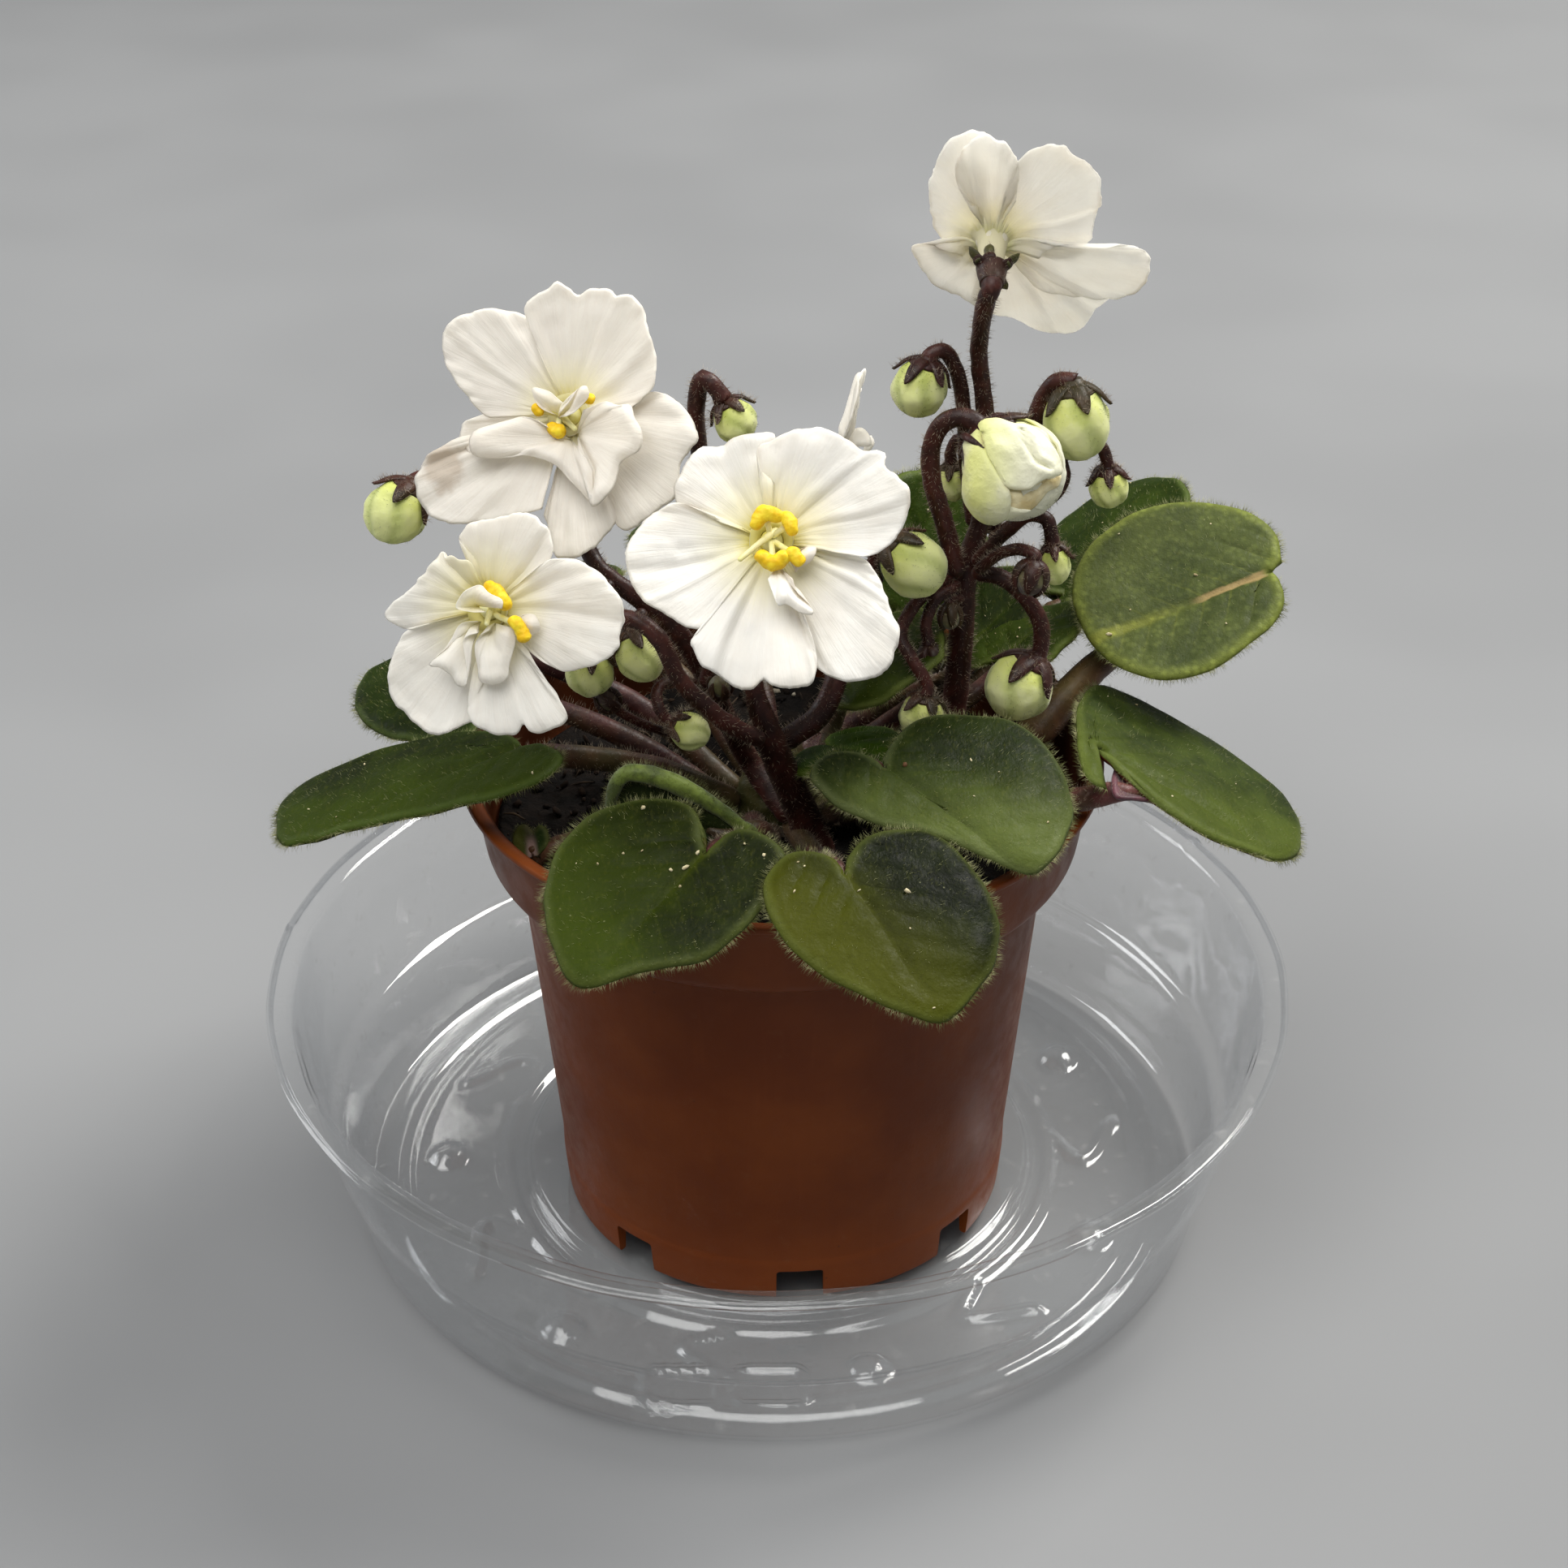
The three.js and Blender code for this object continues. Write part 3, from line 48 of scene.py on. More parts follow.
# ---------------------------------------------------------------- shape tables (mm)
LEAVES = [
    {'name': 'leaf_front_left', 'o': [-6.52, -34.42, 64.8], 'e1': [-0.6034, -0.7403, -0.2966], 'e2': [0.7948, -0.5886, -0.1479], 'n': [-0.0651, -0.325, 0.9435], 'a': -0.005, 'b': -0.005, 'rim': [[-1.18, -1.56], [-2.92, -3.16], [-3.91, -5.22], [-2.5, -9.36], [1.3, -12.64], [6.8, -13.4], [12.28, -10.87], [16.37, -6.57], [18.9, -1.67], [18.08, 0.23], [13.79, 3.87], [9.69, 7.62], [3.37, 8.67], [-0.2, 7.91], [-4.45, 6.45], [-5.05, 3.16], [-3.89, 0.5], [-1.86, 0.16]], 'pet': [[-2.31, -8.96, 52.5], [-4.5, -22.0, 57.5], [-5.53, -32.88, 64.02], [-7.45, -35.44, 63.85]], 'pr': [1.3, 1.25, 1.2, 1.15]},
    {'name': 'leaf_front', 'o': [7.03, -37.31, 64.3], 'e1': [0.5082, -0.7794, -0.3665], 'e2': [0.853, 0.5142, 0.0893], 'n': [0.1189, -0.358, 0.9261], 'a': -0.005, 'b': -0.005, 'rim': [[-1.38, 0.09], [-3.19, -0.87], [-4.47, -3.36], [-3.47, -6.7], [-1.18, -8.49], [3.16, -9.19], [7.68, -8.22], [13.8, -4.58], [18.17, 0.6], [16.82, 4.99], [14.42, 8.88], [10.57, 11.55], [3.82, 12.19], [-0.69, 10.97], [-2.69, 6.41], [-2.64, 3.51], [-1.26, 1.24]], 'pet': [[1.96, -9.56, 52.0], [5.0, -24.0, 56.5], [6.11, -35.67, 63.65], [7.78, -38.38, 63.25]], 'pr': [1.3, 1.25, 1.2, 1.15]},
    {'name': 'leaf_front_right', 'o': [11.13, -22.55, 67.5], 'e1': [0.7335, -0.6504, -0.1974], 'e2': [0.6791, 0.7135, 0.1723], 'n': [0.0288, -0.2605, 0.9651], 'a': -0.005, 'b': -0.005, 'rim': [[-1.07, 0.08], [-2.99, -0.13], [-5.06, -1.54], [-5.71, -4.13], [-4.41, -6.02], [-1.1, -7.08], [3.68, -6.3], [9.63, -3.24], [16.82, -0.4], [19.3, 1.08], [18.85, 6.1], [16.05, 11.08], [10.87, 14.51], [4.68, 15.37], [0.05, 11.64], [-2.23, 7.18], [-1.64, 3.34], [-0.83, 1.3]], 'pet': [[4.87, -8.08, 52.5], [8.2, -16.5, 60.0], [9.99, -21.23, 66.54], [12.29, -23.46, 66.7]], 'pr': [1.3, 1.25, 1.2, 1.15]},
    {'name': 'leaf_right_round', 'o': [54.32, 8.0, 74.21], 'e1': [-0.9073, -0.3506, -0.2324], 'e2': [0.4136, -0.844, -0.3415], 'n': [-0.0764, -0.4059, 0.9107], 'a': 0.002, 'b': 0.002, 'rim': [[-1.61, -0.69], [-3.1, -5.06], [-0.69, -9.83], [4.52, -13.37], [9.22, -14.12], [15.33, -12.55], [18.98, -9.81], [21.42, -5.9], [22.26, -1.28], [21.59, 3.39], [18.81, 7.31], [13.78, 8.87], [8.33, 7.95], [2.64, 5.81], [0.49, 3.48], [0.05, 1.14]], 'pet': [[6.81, -2.09, 52.5], [27.15, -2.0, 58.68], [31.69, 1.5, 61.99], [36.29, 5.0, 64.95], [44.35, 8.5, 67.84], [50.89, 7.65, 70.92], [53.82, 7.99, 73.62]], 'pr': [2.2, 2.05, 1.9, 1.75, 1.6, 1.45, 1.3]},
    {'name': 'leaf_right_low', 'o': [33.58, -15.39, 65.5], 'e1': [0.8958, -0.2302, -0.3802], 'e2': [0.2198, 0.9729, -0.0714], 'n': [0.3863, -0.0196, 0.9221], 'a': -0.004, 'b': -0.004, 'rim': [[2.38, -6.77], [0.4, -6.58], [-1.58, -3.09], [-2.6, 1.72], [-3.23, 8.76], [-1.55, 16.15], [2.81, 17.61], [8.9, 17.61], [16.24, 17.11], [22.19, 15.26], [24.37, 8.24], [23.86, 2.51], [20.59, -1.61], [14.91, -4.68], [10.03, -4.78], [6.03, -3.68], [2.81, -2.44]], 'pet': [[6.57, -5.55, 51.6], [17.0, -11.0, 57.0], [31.1, -17.8, 60.65], [33.34, -18.6, 61.63], [35.09, -19.8, 62.85], [37.85, -19.49, 63.3]], 'pr': [1.5, 1.42, 1.34, 1.26, 1.18, 1.1]},
    {'name': 'leaf_left_long', 'o': [-26.11, -15.24, 65.5], 'e1': [-0.9389, -0.2498, -0.2367], 'e2': [0.2334, -0.9677, 0.0952], 'n': [-0.2528, 0.0342, 0.9669], 'a': -0.003, 'b': -0.004, 'rim': [[0.56, -2.83], [2.71, -6.39], [6.41, -10.17], [11.74, -13.13], [18.3, -14.64], [23.59, -15.0], [26.1, -13.13], [27.27, -8.53], [26.94, -1.72], [24.97, -0.57], [20.59, 1.98], [13.65, 4.71], [5.25, 7.99], [0.45, 8.02], [-2.44, 6.48], [-3.51, 4.45], [-1.9, 0.89]], 'pet': [[-5.19, -5.76, 53.5], [-13.0, -8.5, 59.0], [-24.37, -14.91, 64.6], [-27.48, -15.66, 64.64]], 'pr': [1.4, 1.33, 1.27, 1.2]},
    {'name': 'leaf_left_back', 'o': [-31.59, 2.0, 62.12], 'e1': [-0.9804, 0.1522, -0.1254], 'e2': [-0.1326, -0.9795, -0.1516], 'n': [-0.1459, -0.132, 0.9805], 'a': -0.005, 'b': -0.005, 'rim': [[0.87, -2.14], [3.05, -6.11], [8.32, -9.63], [13.32, -9.77], [16.31, -6.86], [16.35, -1.79], [13.78, 2.91], [9.57, 6.15], [4.99, 7.53], [0.6, 6.45], [-0.33, 2.3]], 'pet': [[-5.65, -3.18, 51.6], [-14.0, -2.0, 57.5], [-24.0, 0.5, 61.0], [-29.93, 1.94, 61.03], [-33.08, 2.31, 61.43]], 'pr': [1.3, 1.25, 1.2, 1.15, 1.1]},
    {'name': 'leaf_back_upright', 'o': [18.9, 20.0, 63.15], 'e1': [-0.2807, 0.2321, 0.9313], 'e2': [-0.6394, -0.7689, -0.0011], 'n': [0.7159, -0.5958, 0.3642], 'a': -0.005, 'b': -0.005, 'rim': [[0.08, 1.78], [0.86, 4.8], [2.47, 7.17], [5.5, 8.66], [9.24, 8.21], [13.2, 5.71], [15.82, 2.07], [16.25, -1.47], [14.79, -6.57], [11.72, -9.67], [7.65, -9.76], [3.47, -7.37], [0.59, -4.24], [-0.27, -1.75]], 'pet': [[3.61, 2.16, 51.8], [10.0, 9.0, 57.0], [18.39, 20.43, 61.28], [18.09, 20.67, 64.46]], 'pr': [1.4, 1.33, 1.27, 1.2]},
    {'name': 'leaf_back_right', 'o': [31.72, 18.0, 65.23], 'e1': [0.7507, 0.3016, 0.5878], 'e2': [-0.3416, 0.9388, -0.0454], 'n': [-0.5655, -0.1667, 0.8077], 'a': -0.005, 'b': -0.005, 'rim': [[-0.17, 1.97], [0.63, 5.65], [2.87, 9.77], [5.88, 12.9], [9.12, 13.67], [12.71, 13.26], [17.89, 10.02], [20.3, 5.77], [19.56, 0.87], [16.48, -3.98], [11.11, -7.54], [5.82, -7.45], [2.13, -4.77], [0.23, -2.22]], 'pet': [[5.61, 0.48, 52.2], [15.0, 7.0, 58.0], [24.0, 13.0, 62.5], [31.33, 17.76, 63.3], [33.2, 18.57, 65.77]], 'pr': [1.4, 1.35, 1.3, 1.25, 1.2]},
    {'name': 'leaf_inner_right', 'o': [21.73, 10.0, 64.29], 'e1': [0.6881, 0.4114, 0.5977], 'e2': [-0.5265, 0.8499, 0.0212], 'n': [-0.4993, -0.3292, 0.8014], 'a': -0.005, 'b': -0.005, 'rim': [[0.08, 1.39], [1.14, 4.03], [3.54, 6.79], [6.89, 7.26], [9.72, 5.09], [10.38, 1.1], [8.57, -1.93], [5.76, -3.79], [2.92, -3.37], [0.65, -1.74]], 'pet': [[3.83, -0.22, 56.0], [13.0, 4.5, 60.5], [21.34, 9.81, 62.35], [23.08, 10.82, 64.84]], 'pr': [1.1, 1.03, 0.97, 0.9]},
    {'name': 'leaf_behind_front', 'o': [-5.0, -24.3, 60.7], 'e1': [-0.9865, 0.0255, 0.1616], 'e2': [-0.1628, -0.2494, -0.9546], 'n': [0.0159, -0.9681, 0.2502], 'a': 0.0, 'b': -0.004, 'rim': [[-1.52, -1.21], [-1.13, -1.73], [0.94, -3.16], [3.69, -4.47], [6.7, -5.45], [8.96, -5.66], [10.92, -5.24], [11.91, -3.9], [12.35, -1.67], [11.58, 1.05], [8.78, 3.24], [5.03, 3.8], [2.18, 2.64], [0.77, 1.42]], 'pet': [[-0.44, -9.6, 51.4], [-0.8, -16.5, 54.5], [-1.6, -22.2, 59.8], [-4.44, -24.37, 60.41], [-6.38, -24.26, 60.93]], 'pr': [1.2, 1.12, 1.05, 0.98, 0.9]},
    {'name': 'leaf_inner_low', 'o': [24.5, 3.0, 66.0], 'e1': [0.7093, 0.6305, 0.3152], 'e2': [-0.5807, 0.7761, -0.2456], 'n': [-0.3995, -0.0089, 0.9167], 'a': -0.006, 'b': -0.006, 'rim': [[-1.02, -0.78], [-1.9, -2.22], [-1.52, -4.0], [0.38, -5.44], [3.05, -6.0], [5.84, -5.78], [8.63, -4.56], [10.91, -2.67], [12.18, -1.11], [12.69, 0.0], [12.18, 1.11], [10.91, 2.67], [8.63, 4.56], [5.84, 5.78], [3.05, 6.0], [0.38, 5.44], [-1.52, 4.0], [-1.9, 2.22], [-1.02, 0.78]], 'pet': [[6.95, -3.18, 51.4], [14.0, -1.5, 57.5], [23.96, 2.07, 64.34], [25.83, 4.01, 66.05]], 'pr': [1.1, 1.03, 0.97, 0.9]},
    {'name': 'leaf_inner_front', 'o': [5.5, -9.0, 62.0], 'e1': [0.7326, -0.641, 0.2289], 'e2': [0.6585, 0.7526, 0.0], 'n': [-0.1723, 0.1508, 0.9734], 'a': -0.006, 'b': -0.006, 'rim': [[-0.87, -0.84], [-1.64, -2.41], [-1.31, -4.33], [0.33, -5.9], [2.62, -6.5], [5.02, -6.26], [7.43, -4.94], [9.39, -2.89], [10.48, -1.2], [10.92, 0.0], [10.48, 1.2], [9.39, 2.89], [7.43, 4.94], [5.02, 6.26], [2.62, 6.5], [0.33, 5.9], [-1.31, 4.33], [-1.64, 2.41], [-0.87, 0.84]], 'pet': [[2.9, -7.3, 56.6], [4.63, -8.23, 60.39], [6.76, -10.1, 61.88]], 'pr': [0.9, 0.85, 0.8]},
    {'name': 'leaf_inner_up', 'o': [9.0, -2.0, 69.0], 'e1': [0.693, -0.6064, 0.3898], 'e2': [0.4728, 0.7906, 0.3892], 'n': [-0.5442, -0.0854, 0.8346], 'a': -0.006, 'b': -0.006, 'rim': [[-0.92, -0.97], [-1.73, -2.78], [-1.39, -5.0], [0.35, -6.81], [2.77, -7.5], [5.31, -7.22], [7.85, -5.69], [9.93, -3.33], [11.08, -1.39], [11.54, 0.0], [11.08, 1.39], [9.93, 3.33], [7.85, 5.69], [5.31, 7.22], [2.77, 7.5], [0.35, 6.81], [-1.39, 5.0], [-1.73, 2.78], [-0.92, 0.97]], 'pet': [[5.13, -3.79, 57.2], [8.67, -0.98, 67.33], [10.38, -2.93, 69.21]], 'pr': [1.0, 0.95, 0.9]},
    {'name': 'leaf_small_left', 'o': [-25.38, -18.5, 54.15], 'e1': [-0.1097, 0.4202, 0.9008], 'e2': [-0.9675, 0.1625, -0.1936], 'n': [-0.2277, -0.8928, 0.3887], 'a': 0.0, 'b': 0.03, 'rim': [[-0.13, -0.53], [0.74, -1.63], [1.83, -2.04], [2.98, -1.73], [3.29, -1.05], [2.75, -0.26], [3.4, 0.38], [3.3, 1.3], [2.32, 1.97], [1.12, 2.12], [0.22, 1.69], [-0.54, 0.88]], 'pet': [[-4.81, -6.55, 51.2], [-12.5, -12.0, 51.9], [-21.09, -17.0, 55.12], [-23.24, -18.0, 55.05], [-24.74, -17.58, 53.39], [-25.39, -17.94, 54.66]], 'pr': [1.0, 1.0, 1.0, 1.0, 1.0, 1.0]},
    {'name': 'leaf_rear_a', 'o': [13.0, 30.0, 66.0], 'e1': [0.384, 0.912, -0.144], 'e2': [-0.9216, 0.3881, 0.0], 'n': [0.0559, 0.1327, 0.9896], 'a': -0.006, 'b': -0.006, 'rim': [[-1.67, -1.36], [-3.12, -3.89], [-2.5, -7.0], [0.62, -9.53], [5.0, -10.5], [9.58, -10.11], [14.17, -7.97], [17.92, -4.67], [20.0, -1.94], [20.83, 0.0], [20.0, 1.94], [17.92, 4.67], [14.17, 7.97], [9.58, 10.11], [5.0, 10.5], [0.62, 9.53], [-2.5, 7.0], [-3.12, 3.89], [-1.67, 1.36]], 'pet': [[2.17, 2.71, 53.5], [7.5, 14.0, 58.5], [12.35, 28.46, 64.93], [13.59, 31.39, 65.27]], 'pr': [1.3, 1.23, 1.17, 1.1]},
    {'name': 'leaf_rear_b', 'o': [-6.0, 30.0, 67.0], 'e1': [-0.1467, 0.9782, -0.1467], 'e2': [-0.9889, -0.1483, -0.0], 'n': [-0.0218, 0.1451, 0.9892], 'a': -0.006, 'b': -0.006, 'rim': [[-1.64, -1.43], [-3.07, -4.07], [-2.45, -7.33], [0.61, -9.98], [4.91, -11.0], [9.4, -10.59], [13.9, -8.35], [17.58, -4.89], [19.63, -2.04], [20.45, 0.0], [19.63, 2.04], [17.58, 4.89], [13.9, 8.35], [9.4, 10.59], [4.91, 11.0], [0.61, 9.98], [-2.45, 7.33], [-3.07, 4.07], [-1.64, 1.43]], 'pet': [[-0.23, 2.84, 51.8], [-2.0, 14.0, 58.0], [-5.75, 28.34, 65.93], [-6.22, 31.49, 66.27]], 'pr': [1.3, 1.23, 1.17, 1.1]},
    {'name': 'leaf_rear_c', 'o': [-25.0, 21.0, 65.5], 'e1': [-0.6046, 0.7557, -0.2519], 'e2': [-0.7809, -0.6247, -0.0], 'n': [-0.1574, 0.1967, 0.9678], 'a': -0.006, 'b': -0.006, 'rim': [[-1.59, -1.3], [-2.98, -3.7], [-2.38, -6.67], [0.6, -9.07], [4.76, -10.0], [9.13, -9.63], [13.5, -7.59], [17.07, -4.44], [19.06, -1.85], [19.85, 0.0], [19.06, 1.85], [17.07, 4.44], [13.5, 7.59], [9.13, 9.63], [4.76, 10.0], [0.6, 9.07], [-2.38, 6.67], [-2.98, 3.7], [-1.59, 1.3]], 'pet': [[-3.05, 1.7, 52.8], [-11.0, 12.0, 59.0], [-23.89, 19.61, 64.62], [-25.89, 22.11, 64.61]], 'pr': [1.3, 1.23, 1.17, 1.1]},
    {'name': 'leaf_rear_d', 'o': [-29.0, 9.0, 64.5], 'e1': [-0.8418, 0.477, -0.2525], 'e2': [-0.493, -0.87, 0.0], 'n': [-0.2197, 0.1245, 0.9676], 'a': -0.006, 'b': -0.006, 'rim': [[-1.43, -1.17], [-2.67, -3.33], [-2.14, -6.0], [0.53, -8.17], [4.28, -9.0], [8.2, -8.67], [12.12, -6.83], [15.32, -4.0], [17.11, -1.67], [17.82, 0.0], [17.11, 1.67], [15.32, 4.0], [12.12, 6.83], [8.2, 8.67], [4.28, 9.0], [0.53, 8.17], [-2.14, 6.0], [-2.67, 3.33], [-1.43, 1.17]], 'pet': [[-4.91, -0.44, 51.9], [-15.0, 5.5, 58.5], [-27.45, 8.12, 63.62], [-30.24, 9.7, 63.61]], 'pr': [1.3, 1.23, 1.17, 1.1]},
    {'name': 'leaf_rear_e', 'o': [33.0, 18.0, 66.0], 'e1': [0.7805, 0.5854, -0.2195], 'e2': [-0.6, 0.8, -0.0], 'n': [0.1756, 0.1317, 0.9756], 'a': -0.006, 'b': -0.006, 'rim': [[-1.64, -1.36], [-3.08, -3.89], [-2.46, -7.0], [0.62, -9.53], [4.92, -10.5], [9.43, -10.11], [13.94, -7.97], [17.63, -4.67], [19.68, -1.94], [20.5, 0.0], [19.68, 1.94], [17.63, 4.67], [13.94, 7.97], [9.43, 10.11], [4.92, 10.5], [0.62, 9.53], [-2.46, 7.0], [-3.08, 3.89], [-1.64, 1.36]], 'pet': [[6.57, -1.25, 51.0], [16.0, 5.0, 55.5], [26.0, 13.0, 61.0], [31.6, 16.95, 65.06], [34.16, 18.87, 65.16]], 'pr': [1.3, 1.25, 1.2, 1.15, 1.1]},
]
